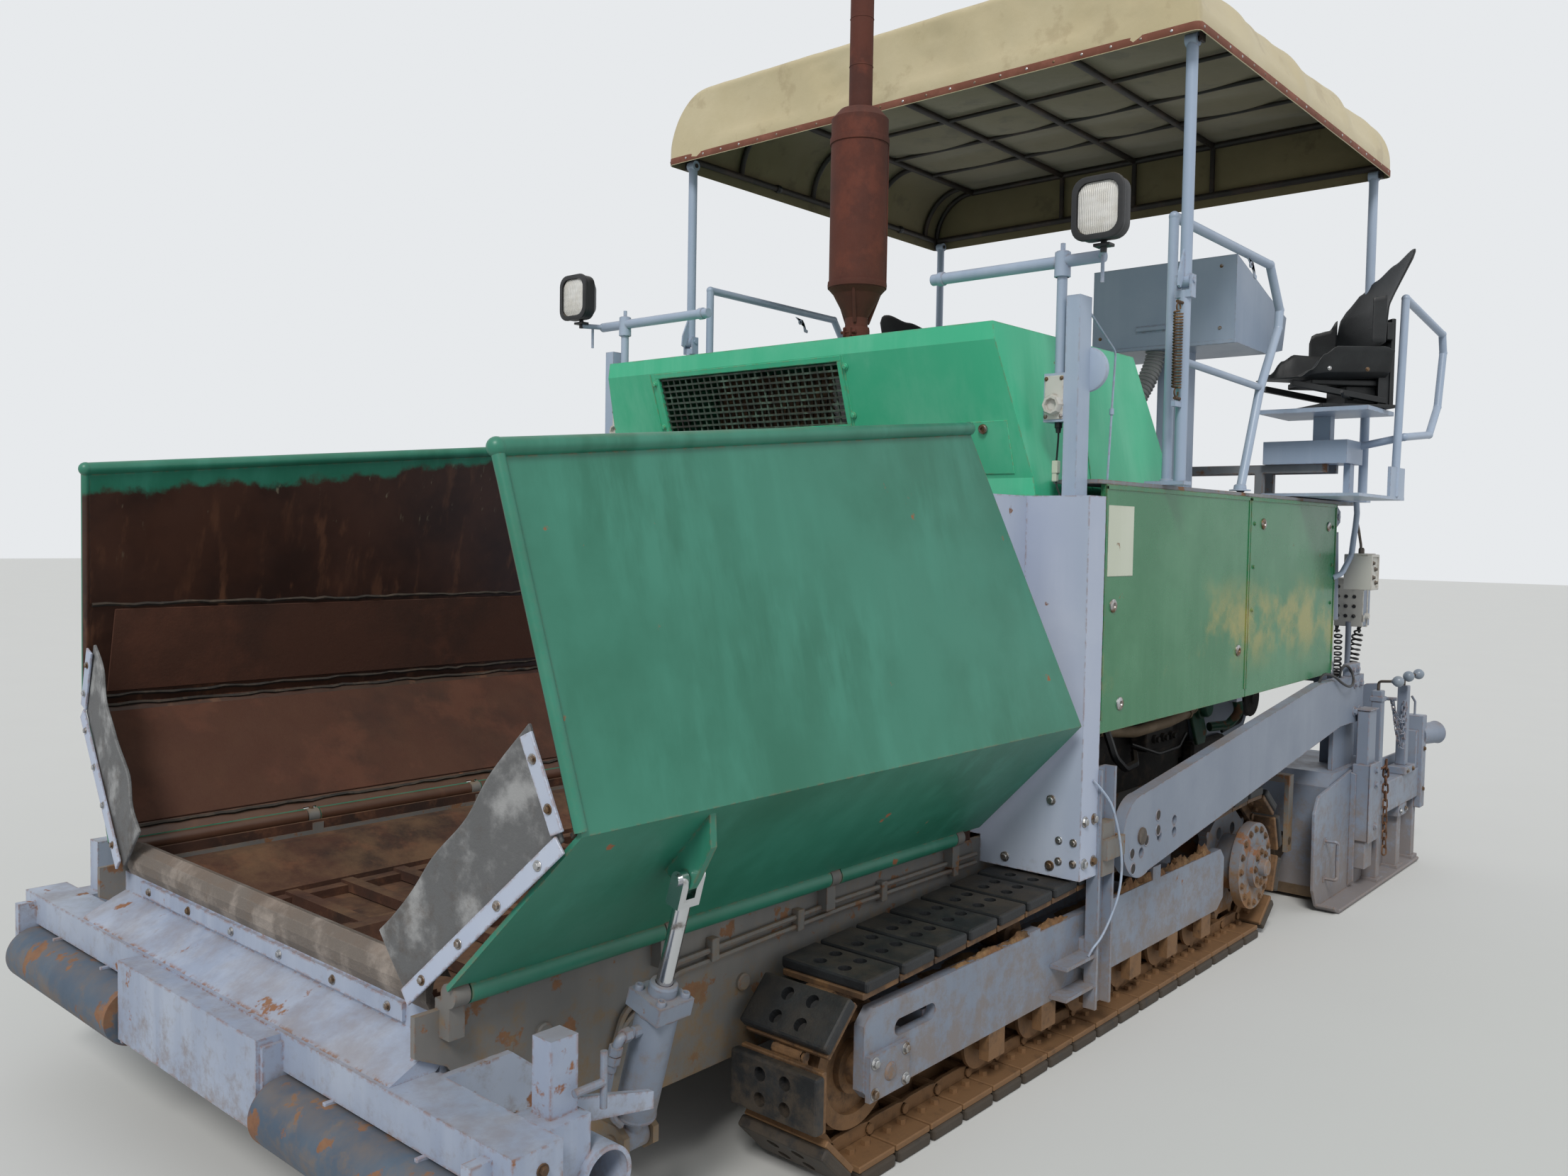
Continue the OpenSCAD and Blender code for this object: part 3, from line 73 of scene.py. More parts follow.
class Across(Enum):
    """The axis along which a flat outline is thickened."""

    X = 0
    Y = 1
    Z = 2

    def point(self, u: float, v: float, w: float) -> Place:
        """Places an outline's point (u, v) at height w along the axis."""
        return ((w, u, v), (u, w, v), (u, v, w))[self.value]


class Effect(Enum):
    """The shared shader effects, each one node group."""

    PATCHES = "patches"
    STREAKS = "streaks"
    EDGE = "edge_wear"
    DUST = "dust"
    GRAIN = "grain"
    WEAVE = "weave"


class Wiring:
    """A node tree being wired, with short calls for the nodes in use."""

    def __init__(self, tree: bpy.types.NodeTree) -> None:
        """Starts on an empty or fresh tree."""
        self.tree = tree

    def add(self, kind: str, **settings: object) -> bpy.types.Node:
        """Adds a node.

        Args:
            kind: The node's type without the leading "ShaderNode".
            settings: Attributes to set on it.

        Returns:
            The new node.
        """
        node = self.tree.nodes.new(kind if kind.startswith("Node") else "ShaderNode" + kind)
        for key, value in settings.items():
            setattr(node, key, value)
        return node

    def feed(self, socket: bpy.types.NodeSocket, value: object) -> None:
        """Links a socket to another, or sets its constant."""
        if isinstance(value, bpy.types.NodeSocket):
            self.tree.links.new(value, socket)
        elif value is not None:
            socket.default_value = value

    def math(
        self, operation: str, a: object, b: object = None, c: object = None, clamp: bool = False
    ) -> bpy.types.NodeSocket:
        """Joins values with one math node and returns its output."""
        node = self.add("Math", operation=operation, use_clamp=clamp)
        for socket, value in zip(node.inputs, (a, b, c)):
            self.feed(socket, value)
        return node.outputs[0]

    def step(self, value: object, low: object, high: object, smooth: bool = True) -> bpy.types.NodeSocket:
        """Maps a value from low..high to 0..1, eased at both ends."""
        node = self.add("MapRange", interpolation_type="SMOOTHSTEP" if smooth else "LINEAR")
        for name, v in (("Value", value), ("From Min", low), ("From Max", high)):
            self.feed(node.inputs[name], v)
        return node.outputs[0]

    def mix(self, share: object, a: object, b: object, blend: str = "MIX") -> bpy.types.NodeSocket:
        """Mixes two colours and returns the result."""
        node = self.add("Mix", data_type="RGBA", blend_type=blend)
        for socket, value in ((node.inputs[0], share), (node.inputs[6], a), (node.inputs[7], b)):
            self.feed(socket, value)
        return node.outputs[2]

    def blend(self, share: object, a: object, b: object) -> bpy.types.NodeSocket:
        """Mixes two numbers and returns the result."""
        node = self.add("Mix", data_type="FLOAT")
        for socket, value in zip(node.inputs[:1] + node.inputs[2:4], (share, a, b)):
            self.feed(socket, value)
        return node.outputs[0]

    def noise(
        self, where: object, scale: object, detail: float = 4.0, rough: float = 0.6, seed: object = 0.0
    ) -> bpy.types.NodeSocket:
        """Adds a seeded noise at points of space and returns its value."""
        node = self.add("TexNoise", noise_dimensions="4D")
        self.feed(node.inputs["Vector"], where)
        self.feed(node.inputs["W"], seed)
        self.feed(node.inputs["Scale"], scale)
        node.inputs["Detail"].default_value = detail
        node.inputs["Roughness"].default_value = rough
        return node.outputs[0]

    def place(self) -> bpy.types.NodeSocket:
        """Gives the object's own coordinates, in metres."""
        return self.add("TexCoord").outputs["Object"]

    def parts(self, of: str = "Object") -> tuple[bpy.types.NodeSocket, ...]:
        """Gives the x, y and z of the coordinates of this kind."""
        split = self.add("SeparateXYZ")
        self.feed(split.inputs[0], self.add("TexCoord").outputs[of])
        return split.outputs[0], split.outputs[1], split.outputs[2]

    def effect(self, kind: Effect, **values: object) -> bpy.types.NodeSocket:
        """Places a shared effect with its own values and returns its output."""
        node = self.add("Group")
        node.node_tree = EffectShop.get(kind)
        for name, value in values.items():
            self.feed(node.inputs[name], value)
        return node.outputs[0]


class EffectShop:
    """Builds each shared effect once and hands it out."""

    made: dict[Effect, bpy.types.NodeTree] = {}

    @classmethod
    def get(cls, kind: Effect) -> bpy.types.NodeTree:
        """Returns the group of an effect, built on its first use."""
        if kind not in cls.made:
            cls.made[kind] = getattr(cls, "make_" + kind.name.lower())()
        return cls.made[kind]

    @staticmethod
    def group(name: str, inputs: dict[str, float], output: str = "Mask") -> tuple[
        Wiring, dict[str, bpy.types.NodeSocket], bpy.types.NodeSocket
    ]:
        """Starts a group.

        Args:
            name: The group's name.
            inputs: Its number inputs with their defaults.
            output: The name of its one output.

        Returns:
            The wiring, the input sockets by name, and the output socket.
        """
        tree = bpy.data.node_groups.new(name, "ShaderNodeTree")
        for key, value in inputs.items():
            tree.interface.new_socket(name=key, in_out="INPUT", socket_type="NodeSocketFloat").default_value = value
        tree.interface.new_socket(name=output, in_out="OUTPUT", socket_type="NodeSocketFloat")
        wiring = Wiring(tree)
        source, sink = wiring.add("NodeGroupInput"), wiring.add("NodeGroupOutput")
        return wiring, {k: source.outputs[k] for k in inputs}, sink.inputs[output]

    @classmethod
    def make_patches(cls) -> bpy.types.NodeTree:
        """Cloudy patches above a level of a seeded noise."""
        w, i, out = cls.group("patches", {"Scale": 3.0, "Level": 0.55, "Soft": 0.06, "Seed": 0.0})
        n = w.noise(w.place(), i["Scale"], 6.0, 0.62, i["Seed"])
        w.feed(out, w.step(n, w.math("SUBTRACT", i["Level"], i["Soft"]), w.math("ADD", i["Level"], i["Soft"])))
        return w.tree

    @classmethod
    def make_streaks(cls) -> bpy.types.NodeTree:
        """Streaks that run down the object, as rain leaves them."""
        w, i, out = cls.group("streaks", {"Scale": 8.0, "Stretch": 12.0, "Level": 0.55, "Soft": 0.08, "Seed": 0.0})
        x, y, z = w.parts()
        joined = w.add("CombineXYZ")
        for socket, value in zip(joined.inputs, (x, y, w.math("DIVIDE", z, i["Stretch"]))):
            w.feed(socket, value)
        n = w.noise(joined.outputs[0], i["Scale"], 5.0, 0.6, i["Seed"])
        broken = w.noise(w.place(), 2.3, 3.0, 0.5, i["Seed"])
        mask = w.step(n, w.math("SUBTRACT", i["Level"], i["Soft"]), w.math("ADD", i["Level"], i["Soft"]))
        w.feed(out, w.math("MULTIPLY", mask, w.step(broken, 0.34, 0.62)))
        return w.tree

    @classmethod
    def make_edge(cls) -> bpy.types.NodeTree:
        """Wear along outer edges, ragged by a fine noise."""
        w, i, out = cls.group("edge_wear", {"Radius": 0.012, "Ragged": 0.5, "Seed": 0.0})
        bevel = w.add("Bevel", samples=3)
        w.feed(bevel.inputs["Radius"], i["Radius"])
        dot = w.add("VectorMath", operation="DOT_PRODUCT")
        w.feed(dot.inputs[0], bevel.outputs[0])
        w.feed(dot.inputs[1], w.add("NewGeometry").outputs["Normal"])
        edge = w.step(dot.outputs["Value"], 0.995, 0.86)
        n = w.noise(w.place(), 38.0, 5.0, 0.7, i["Seed"])
        low, high = (w.math("MULTIPLY_ADD", i["Ragged"], 0.3, level) for level in (0.3, 0.42))
        w.feed(out, w.math("MULTIPLY", edge, w.step(n, low, high)))
        return w.tree

    @classmethod
    def make_dust(cls) -> bpy.types.NodeTree:
        """Dust on what faces up, and splashed dirt near the ground."""
        w, i, out = cls.group("dust", {"Settled": 0.5, "Splash": 0.6, "Reach": 0.9, "Seed": 0.0})
        up = w.step(w.parts("Normal")[2], 0.35, 0.95)
        n = w.noise(w.place(), 5.5, 7.0, 0.68, i["Seed"])
        lying = w.math("MULTIPLY", w.math("MULTIPLY", up, w.step(n, 0.36, 0.66)), i["Settled"])
        height = w.math("DIVIDE", w.parts()[2], i["Reach"])
        low = w.math("SUBTRACT", 1.0, height, clamp=True)
        spatter = w.noise(w.place(), 16.0, 8.0, 0.72, i["Seed"])
        mud = w.math("MULTIPLY", w.step(w.math("MULTIPLY_ADD", low, 0.45, spatter), 0.66, 0.92), i["Splash"])
        w.feed(out, w.math("MAXIMUM", lying, mud))
        return w.tree

    @classmethod
    def make_grain(cls) -> bpy.types.NodeTree:
        """Fine height grain in two sizes."""
        w, i, out = cls.group("grain", {"Scale": 120.0, "Coarse": 0.4, "Seed": 0.0}, "Height")
        fine = w.noise(w.place(), i["Scale"], 4.0, 0.65, i["Seed"])
        big = w.noise(w.place(), w.math("MULTIPLY", i["Scale"], 0.12), 3.0, 0.5, i["Seed"])
        w.feed(out, w.blend(i["Coarse"], fine, big))
        return w.tree

    @classmethod
    def make_weave(cls) -> bpy.types.NodeTree:
        """Plain weave on the piece's own map, in threads per metre."""
        w, i, out = cls.group("weave", {"Threads": 420.0, "Slack": 0.2}, "Height")
        wobble = w.math("MULTIPLY", w.noise(w.place(), 40.0, 2.0, 0.5, 0.0), i["Slack"])
        waves = []
        for along in w.parts("UV")[:2]:
            turn = w.math("MULTIPLY", along, w.math("MULTIPLY", i["Threads"], math.pi))
            waves.append(w.math("ABSOLUTE", w.math("SINE", w.math("ADD", turn, wobble))))
        w.feed(out, w.math("MAXIMUM", waves[0], waves[1]))
        return w.tree


@dataclass(frozen=True)
class Finish:
    """A finish: its name and what every finish shares."""

    name: str
    base: str
    seed: float = 0.0

    def material(self) -> bpy.types.Material:
        """Returns the material of this finish, built on its first use."""
        title = "finish_" + self.name
        found = bpy.data.materials.get(title)
        if found:
            return found
        made = bpy.data.materials.new(title)
        made.use_nodes = True
        made.node_tree.nodes.clear()
        made.diffuse_color = tone(self.base)
        w = Wiring(made.node_tree)
        shader = w.add("BsdfPrincipled")
        w.feed(w.add("OutputMaterial").inputs[0], shader.outputs[0])
        self.wire(w, shader)
        return made

    def wire(self, w: Wiring, shader: bpy.types.Node) -> None:
        """Wires the finish into its shader."""
        raise NotImplementedError

    @staticmethod
    def bump(
        w: Wiring, shader: bpy.types.Node, height: bpy.types.NodeSocket, depth: float, strength: float = 1.0
    ) -> None:
        """Feeds a height in metres times depth into the shader's normal."""
        node = w.add("Bump")
        node.inputs["Strength"].default_value = strength
        node.inputs["Distance"].default_value = depth
        w.feed(node.inputs["Height"], height)
        w.feed(shader.inputs["Normal"], node.outputs[0])


@dataclass(frozen=True)
class Paint(Finish):
    """Machine paint that has faded, chipped and gathered dirt."""

    fade: str = "9AA5A0"
    under: str = "6B4A34"
    dirt: str = "7A6650"
    gloss: float = 0.42
    fade_level: float = 0.56
    fade_size: float = 1.6
    chip_level: float = 0.70
    chip_size: float = 9.0
    edge: float = 0.55
    edge_r: float = 0.010
    streak: float = 0.35
    settled: float = 0.5
    splash: float = 0.5
    reach: float = 0.8

    def coat(self, w: Wiring) -> bpy.types.NodeSocket:
        """Gives the colour of the coat before wear."""
        worn = w.effect(Effect.PATCHES, Scale=self.fade_size, Level=self.fade_level, Soft=0.14, Seed=self.seed)
        color = w.mix(w.math("MULTIPLY", worn, 0.6), tone(self.base), tone(self.fade))
        runs = w.effect(Effect.STREAKS, Scale=11.0, Stretch=16.0, Level=0.53, Soft=0.12, Seed=self.seed + 2)
        return w.mix(w.math("MULTIPLY", runs, self.streak), color, tone(self.fade))

    def wire(self, w: Wiring, shader: bpy.types.Node) -> None:
        """Wires coat, chips, worn edges, dirt and a fine skin."""
        color = self.coat(w)
        edges = w.math("MULTIPLY", w.effect(Effect.EDGE, Radius=self.edge_r, Ragged=0.5, Seed=self.seed), self.edge)
        chips = w.effect(Effect.PATCHES, Scale=self.chip_size, Level=self.chip_level, Soft=0.02, Seed=self.seed + 5)
        bare = w.math("MAXIMUM", edges, chips)
        rust = w.mix(w.noise(w.place(), 30.0, 5.0, 0.7, self.seed), tone(self.under), tone("94694A"))
        color = w.mix(bare, color, rust)
        dust = w.effect(Effect.DUST, Settled=self.settled, Splash=self.splash, Reach=self.reach, Seed=self.seed)
        color = w.mix(dust, color, tone(self.dirt))
        w.feed(shader.inputs["Base Color"], color)
        skin = w.effect(Effect.GRAIN, Scale=70.0, Coarse=0.6, Seed=self.seed)
        rough = w.math("MULTIPLY_ADD", skin, 0.22, self.gloss - 0.11)
        rough = w.blend(w.math("MAXIMUM", bare, dust), rough, 0.85)
        w.feed(shader.inputs["Roughness"], rough)
        height = w.math("SUBTRACT", w.math("MULTIPLY", skin, 0.5), w.math("MULTIPLY", bare, 0.35))
        self.bump(w, shader, height, 0.0012, 0.7)


@dataclass(frozen=True)
class WornPaint(Paint):
    """Green side panels with a band of yellowed patches between two heights."""

    band_yellow: str = "9A9350"
    band_low: float = 1.15
    band_high: float = 1.62

    def coat(self, w: Wiring) -> bpy.types.NodeSocket:
        """Adds the yellowed band to the faded coat."""
        color = super().coat(w)
        z = w.parts()[2]
        rise, fall = (
            w.step(z, a, b) for a,
            b in ((self.band_low, self.band_low + 0.2), (self.band_high, self.band_high - 0.2))
        )
        band = w.math("MULTIPLY", rise, fall)
        cloud = w.effect(Effect.PATCHES, Scale=2.1, Level=0.54, Soft=0.07, Seed=self.seed + 9)
        return w.mix(w.math("MULTIPLY", w.math("MULTIPLY", band, cloud), 0.8), color, tone(self.band_yellow))


@dataclass(frozen=True)
class WingPaint(Paint):
    """A hopper wing: green outside, scoured and rusty inside, the inside darkened as painted shade and lighter low
    down as painted sunlight.
    """

    side: int = 1
    # painted shade: the inside tones are darkened to the shade inside the hopper
    inner: str = "2A1A15"
    inner_light: str = "432A20"
    rim_z: float = 2.060
    rim_x: float = 1.100
    rim_fall: float = 0.0949

    def coat(self, w: Wiring) -> bpy.types.NodeSocket:
        """Gives green outside and the scoured steel inside, darkened as painted shade, with painted sunlight on its
        lower part.
        """
        green = super().coat(w)
        x, _, z = w.parts()
        rim = w.math("MULTIPLY_ADD", w.math("SUBTRACT", x, self.rim_x), -self.rim_fall, self.rim_z)
        below = w.math("SUBTRACT", rim, z)
        ragged = w.math("MULTIPLY_ADD", w.noise(w.place(), 4.0, 6.0, 0.65, self.seed), 0.24, -0.06)
        scoured = w.step(w.math("SUBTRACT", below, ragged), -0.012, 0.02)
        cloud = w.effect(Effect.PATCHES, Scale=2.6, Level=0.5, Soft=0.16, Seed=self.seed + 3)
        brown = w.mix(cloud, tone(self.inner), tone(self.inner_light))
        runs = w.effect(Effect.STREAKS, Scale=16.0, Stretch=10.0, Level=0.6, Soft=0.07, Seed=self.seed + 4)
        brown = w.mix(runs, brown, tone("5F3F2E"))
        # painted light: the lower inside turns lighter brown as painted sunlight on the sloped floor
        low = w.step(z, 1.16, 0.86)
        brown = w.mix(w.math("MULTIPLY", low, 0.6), brown, tone("604130"))
        pale = w.effect(Effect.STREAKS, Scale=42.0, Stretch=7.0, Level=0.66, Soft=0.03, Seed=self.seed + 6)
        near = w.step(below, 0.4, 0.1)
        brown = w.mix(w.math("MULTIPLY", w.math("MULTIPLY", pale, near), 0.6), brown, tone("8E8670"))
        inside = w.step(w.math("MULTIPLY", w.parts("Normal")[1], -float(self.side)), 0.2, 0.4)
        return w.mix(w.math("MULTIPLY", inside, scoured), green, brown)


@dataclass(frozen=True)
class Rusted(Finish):
    """Bare steel under a coat of rust and soil."""

    light: str = "8A5A3B"
    dark: str = "2E211B"
    size: float = 5.0
    dark_level: float = 0.55
    light_level: float = 0.57
    metal: float = 0.0
    rough: float = 0.86
    depth: float = 0.0022
    settled: float = 0.35
    splash: float = 0.4
    reach: float = 0.9
    dirt: str = "8B7152"

    def wire(self, w: Wiring, shader: bpy.types.Node) -> None:
        """Wires three tones of rust, soil and pitting."""
        dark = w.effect(Effect.PATCHES, Scale=self.size, Level=self.dark_level, Soft=0.12, Seed=self.seed)
        size = self.size * 2.7
        light = w.effect(Effect.PATCHES, Scale=size, Level=self.light_level, Soft=0.08, Seed=self.seed + 4)
        color = w.mix(dark, tone(self.base), tone(self.dark))
        color = w.mix(w.math("MULTIPLY", light, 0.75), color, tone(self.light))
        dust = w.effect(Effect.DUST, Settled=self.settled, Splash=self.splash, Reach=self.reach, Seed=self.seed + 1)
        color = w.mix(dust, color, tone(self.dirt))
        w.feed(shader.inputs["Base Color"], color)
        shader.inputs["Metallic"].default_value = self.metal
        pits = w.effect(Effect.GRAIN, Scale=95.0, Coarse=0.45, Seed=self.seed)
        w.feed(shader.inputs["Roughness"], w.math("MULTIPLY_ADD", pits, 0.25, self.rough - 0.13))
        self.bump(w, shader, pits, self.depth, 0.9)


@dataclass(frozen=True)
class Rubber(Finish):
    """Dull rubber or moulded plastic with dust in its skin."""

    worn: str = "4C4A47"
    dirt: str = "85745C"
    rough: float = 0.72
    depth: float = 0.0010
    settled: float = 0.6
    splash: float = 0.55
    reach: float = 0.5
    worn_level: float = 0.55

    def wire(self, w: Wiring, shader: bpy.types.Node) -> None:
        """Wires worn patches, pale edges, dust and a fine skin."""
        patch = w.effect(Effect.PATCHES, Scale=7.0, Level=self.worn_level, Soft=0.09, Seed=self.seed)
        edge = w.math("MULTIPLY", w.effect(Effect.EDGE, Radius=0.006, Ragged=0.4, Seed=self.seed), 0.5)
        color = w.mix(w.math("MAXIMUM", w.math("MULTIPLY", patch, 0.7), edge), tone(self.base), tone(self.worn))
        dust = w.effect(Effect.DUST, Settled=self.settled, Splash=self.splash, Reach=self.reach, Seed=self.seed)
        color = w.mix(dust, color, tone(self.dirt))
        w.feed(shader.inputs["Base Color"], color)
        skin = w.effect(Effect.GRAIN, Scale=160.0, Coarse=0.35, Seed=self.seed)
        w.feed(shader.inputs["Roughness"], w.blend(dust, w.math("MULTIPLY_ADD", skin, 0.2, self.rough - 0.1), 0.95))
        self.bump(w, shader, skin, self.depth, 0.8)


@dataclass(frozen=True)
class Bright(Finish):
    """Chromed or ground metal with fine scratches and some tarnish."""

    tarnish: str = "6E6259"
    rough: float = 0.16
    level: float = 0.62

    def wire(self, w: Wiring, shader: bpy.types.Node) -> None:
        """Wires scratches and tarnish over plain metal."""
        patch = w.effect(Effect.PATCHES, Scale=14.0, Level=self.level, Soft=0.08, Seed=self.seed)
        w.feed(shader.inputs["Base Color"], w.mix(patch, tone(self.base), tone(self.tarnish)))
        shader.inputs["Metallic"].default_value = 1.0
        lines = w.effect(Effect.GRAIN, Scale=240.0, Coarse=0.2, Seed=self.seed)
        rough = w.math("MULTIPLY_ADD", lines, 0.14, self.rough - 0.05)
        w.feed(shader.inputs["Roughness"], w.blend(patch, rough, 0.55))
        self.bump(w, shader, lines, 0.0002, 0.4)


@dataclass(frozen=True)
class Canvas(Finish):
    """Tan canvas: woven, faded, with water marks and darker gaps between its threads."""

    stain: str = "9C8A63"
    pale: str = "CDC09C"
    threads: float = 330.0

    def wire(self, w: Wiring, shader: bpy.types.Node) -> None:
        """Wires the weave, the stains and a soft sheen."""
        clouds = w.effect(Effect.PATCHES, Scale=1.7, Level=0.52, Soft=0.16, Seed=self.seed)
        marks = w.effect(Effect.PATCHES, Scale=6.0, Level=0.6, Soft=0.05, Seed=self.seed + 3)
        color = w.mix(w.math("MULTIPLY", clouds, 0.6), tone(self.base), tone(self.pale))
        color = w.mix(w.math("MULTIPLY", marks, 0.45), color, tone(self.stain))
        weave = w.effect(Effect.WEAVE, Threads=self.threads, Slack=0.3)
        color = w.mix(w.math("MULTIPLY", w.math("SUBTRACT", 1.0, weave), 0.35), color, tone(self.stain))
        w.feed(shader.inputs["Base Color"], color)
        shader.inputs["Sheen Weight"].default_value = 0.25
        shader.inputs["Sheen Roughness"].default_value = 0.5
        w.feed(shader.inputs["Roughness"], w.math("MULTIPLY_ADD", weave, -0.1, 0.92))
        crumple = w.noise(w.place(), 9.0, 5.0, 0.55, self.seed)
        self.bump(w, shader, w.math("MULTIPLY_ADD", weave, 0.12, crumple), 0.008, 0.55)


@dataclass(frozen=True)
class Lens(Finish):
    """Ribbed lamp glass over a bright bowl."""

    rib_rate: float = 900.0
    cross_rate: float = 240.0

    def wire(self, w: Wiring, shader: bpy.types.Node) -> None:
        """Wires a pale glass with vertical ribs."""
        _, y, z = w.parts()
        ribs = w.math("SINE", w.math("MULTIPLY", y, self.rib_rate))
        cross = w.math("SINE", w.math("MULTIPLY", z, self.cross_rate))
        dust = w.effect(Effect.PATCHES, Scale=18.0, Level=0.52, Soft=0.12, Seed=self.seed)
        w.feed(shader.inputs["Base Color"], w.mix(w.math("MULTIPLY", dust, 0.3), tone(self.base), tone("CFC6B2")))
        shader.inputs["Transmission Weight"].default_value = 0.25
        shader.inputs["IOR"].default_value = 1.45
        w.feed(shader.inputs["Roughness"], w.math("MULTIPLY_ADD", dust, 0.3, 0.06))
        self.bump(w, shader, w.math("MULTIPLY_ADD", cross, 0.3, ribs), 0.0012, 0.8)


class Workshop:
    """The moves by which every piece is made, each with Blender's own tools."""

    sharp = 32
    weld = 0.00005
    pipe_weld = 0.00002

    @staticmethod
    def clear() -> None:
        """Deselects everything, in object mode."""
        if bpy.context.object and bpy.context.object.mode != "OBJECT":
            bpy.ops.object.mode_set(mode="OBJECT")
        bpy.ops.object.select_all(action="DESELECT")

    @classmethod
    def pick(cls, obj: bpy.types.Object) -> bpy.types.Object:
        """Makes one object the only selected and active one."""
        cls.clear()
        obj.select_set(True)
        bpy.context.view_layer.objects.active = obj
        return obj

    @staticmethod
    @contextmanager
    def editing() -> Iterator[None]:
        """Opens the active object with all of its mesh selected, and closes it again."""
        bpy.ops.object.mode_set(mode="EDIT")
        bpy.ops.mesh.select_all(action="SELECT")
        yield
        bpy.ops.object.mode_set(mode="OBJECT")

    @staticmethod
    def upright(way: Sequence[float]) -> Matrix:
        """Gives the turn that stands +Z along a direction."""
        return Vector(way).to_track_quat("Z", "Y").to_matrix().to_4x4()

    @staticmethod
    def twin(model: bpy.types.Object, place: Matrix) -> bpy.types.Object:
        """Links a copy of a model, its mesh moved to a place."""
        copy = model.copy()
        copy.data = model.data.copy()
        copy.data.transform(place)
        if place.determinant() < 0:
            copy.data.flip_normals()
        bpy.context.scene.collection.objects.link(copy)
        return copy

    @classmethod
    def settle(cls, obj: bpy.types.Object, name: str) -> bpy.types.Object:
        """Names a piece and puts its place into its mesh."""
        cls.pick(obj)
        bpy.ops.object.transform_apply(location=True, rotation=True, scale=True)
        obj.name = name
        obj.data.name = name
        return obj

    @classmethod
    def modify(cls, obj: bpy.types.Object, kind: str, **settings: object) -> bpy.types.Object:
        """Adds a modifier with its settings and applies it."""
        cls.pick(obj)
        modifier = obj.modifiers.new(kind.lower(), kind)
        for key, value in settings.items():
            setattr(modifier, key, value)
        bpy.ops.object.modifier_apply(modifier=modifier.name)
        return obj

    @classmethod
    def round_edges(cls, obj: bpy.types.Object, width: float, steps: int = 2) -> bpy.types.Object:
        """Rounds the sharp edges of a piece."""
        if width > 0:
            limit = {"limit_method": "ANGLE", "angle_limit": math.radians(cls.sharp)}
            cls.modify(obj, "BEVEL", width=width, segments=steps, harden_normals=False, **limit)
        return obj

    @classmethod
    def smooth(cls, obj: bpy.types.Object, angle: float = 38.0) -> bpy.types.Object:
        """Shades a piece smooth up to an angle between faces."""
        cls.pick(obj)
        bpy.ops.object.shade_smooth_by_angle(angle=math.radians(angle))
        return obj

    @classmethod
    def block(cls, name: str, low: Place, high: Place, edge: float = 0.003, steps: int = 2) -> bpy.types.Object:
        """Makes a block from its lowest to its highest corner, its edges rounded."""
        cls.clear()
        mid = [(a + b) / 2 for a, b in zip(low, high)]
        bpy.ops.mesh.primitive_cube_add(size=1, location=mid)
        obj = bpy.context.object
        obj.scale = [b - a for a, b in zip(low, high)]
        return cls.round_edges(cls.settle(obj, name), edge, steps)

    @classmethod
    def bar(
        cls, name: str, start: Place, end: Place, radius: float, sides: int = 24, edge: float = 0.0
    ) -> bpy.types.Object:
        """Makes a round bar between two points."""
        cls.clear()
        a, b = Vector(start), Vector(end)
        turn = (b - a).to_track_quat("Z", "Y").to_euler()
        bpy.ops.mesh.primitive_cylinder_add(
            vertices=sides, radius=radius, depth=(b - a).length, location=(a + b) / 2, rotation=turn
        )
        return cls.round_edges(cls.settle(bpy.context.object, name), edge, 2)

    @classmethod
    def plate(
        cls, name: str, outline: Sequence[Flat], low: float, high: float, across: Across, edge: float = 0.002,
        steps: int = 1
    ) -> bpy.types.Object:
        """Cuts a flat outline and thickens it.

        Args:
            name: The piece's name.
            outline: The outline's points, in order.
            low: Where the plate starts along its axis.
            high: Where it ends.
            across: The axis of its thickness.
            edge: How far its edges are rounded.
            steps: In how many steps.

        Returns:
            The plate.
        """
        cls.clear()
        bpy.ops.mesh.primitive_circle_add(vertices=len(outline), fill_type="NGON", radius=1)
        obj = bpy.context.object
        for vertex, (u, v) in zip(obj.data.vertices, outline):
            vertex.co = across.point(u, v, low)
        with cls.editing():
            bpy.ops.mesh.extrude_region_move(TRANSFORM_OT_translate={"value": across.point(0, 0, high - low)})
            bpy.ops.mesh.select_all(action="SELECT")
            bpy.ops.mesh.normals_make_consistent(inside=False)
        return cls.round_edges(cls.settle(obj, name), edge, steps)

    @classmethod
    def turned(
        cls, name: str, profile: Sequence[Flat], foot: Place, up: Place = (0, 0, 1), steps: int = 32
    ) -> bpy.types.Object:
        """Turns a profile of (radius, height) about an axis, as on a lathe.

        Args:
            name: The piece's name.
            profile: Points from one end to the other; a closed shape if the last equals the first.
            foot: Where height 0 lies.
            up: The axis.
            steps: Faces round the axis.

        Returns:
            The turned piece, closed at its poles.
        """
        cls.clear()
        bpy.ops.mesh.primitive_circle_add(vertices=3, fill_type="NOTHING", radius=1)
        obj = bpy.context.object
        mesh = obj.data
        mesh.clear_geometry()
        mesh.from_pydata([(r, 0, h) for r, h in profile], [(i, i + 1) for i in range(len(profile) - 1)], [])
        with cls.editing():
            bpy.ops.mesh.spin(steps=steps, angle=math.tau, center=(0, 0, 0), axis=(0, 0, 1))
            bpy.ops.mesh.select_all(action="SELECT")
            bpy.ops.mesh.remove_doubles(threshold=cls.weld)
            bpy.ops.mesh.dissolve_degenerate(threshold=cls.weld)
            bpy.ops.mesh.select_all(action="SELECT")
            bpy.ops.mesh.normals_make_consistent(inside=False)
        obj.matrix_world = Matrix.Translation(foot) @ cls.upright(up)
        return cls.smooth(cls.settle(obj, name))

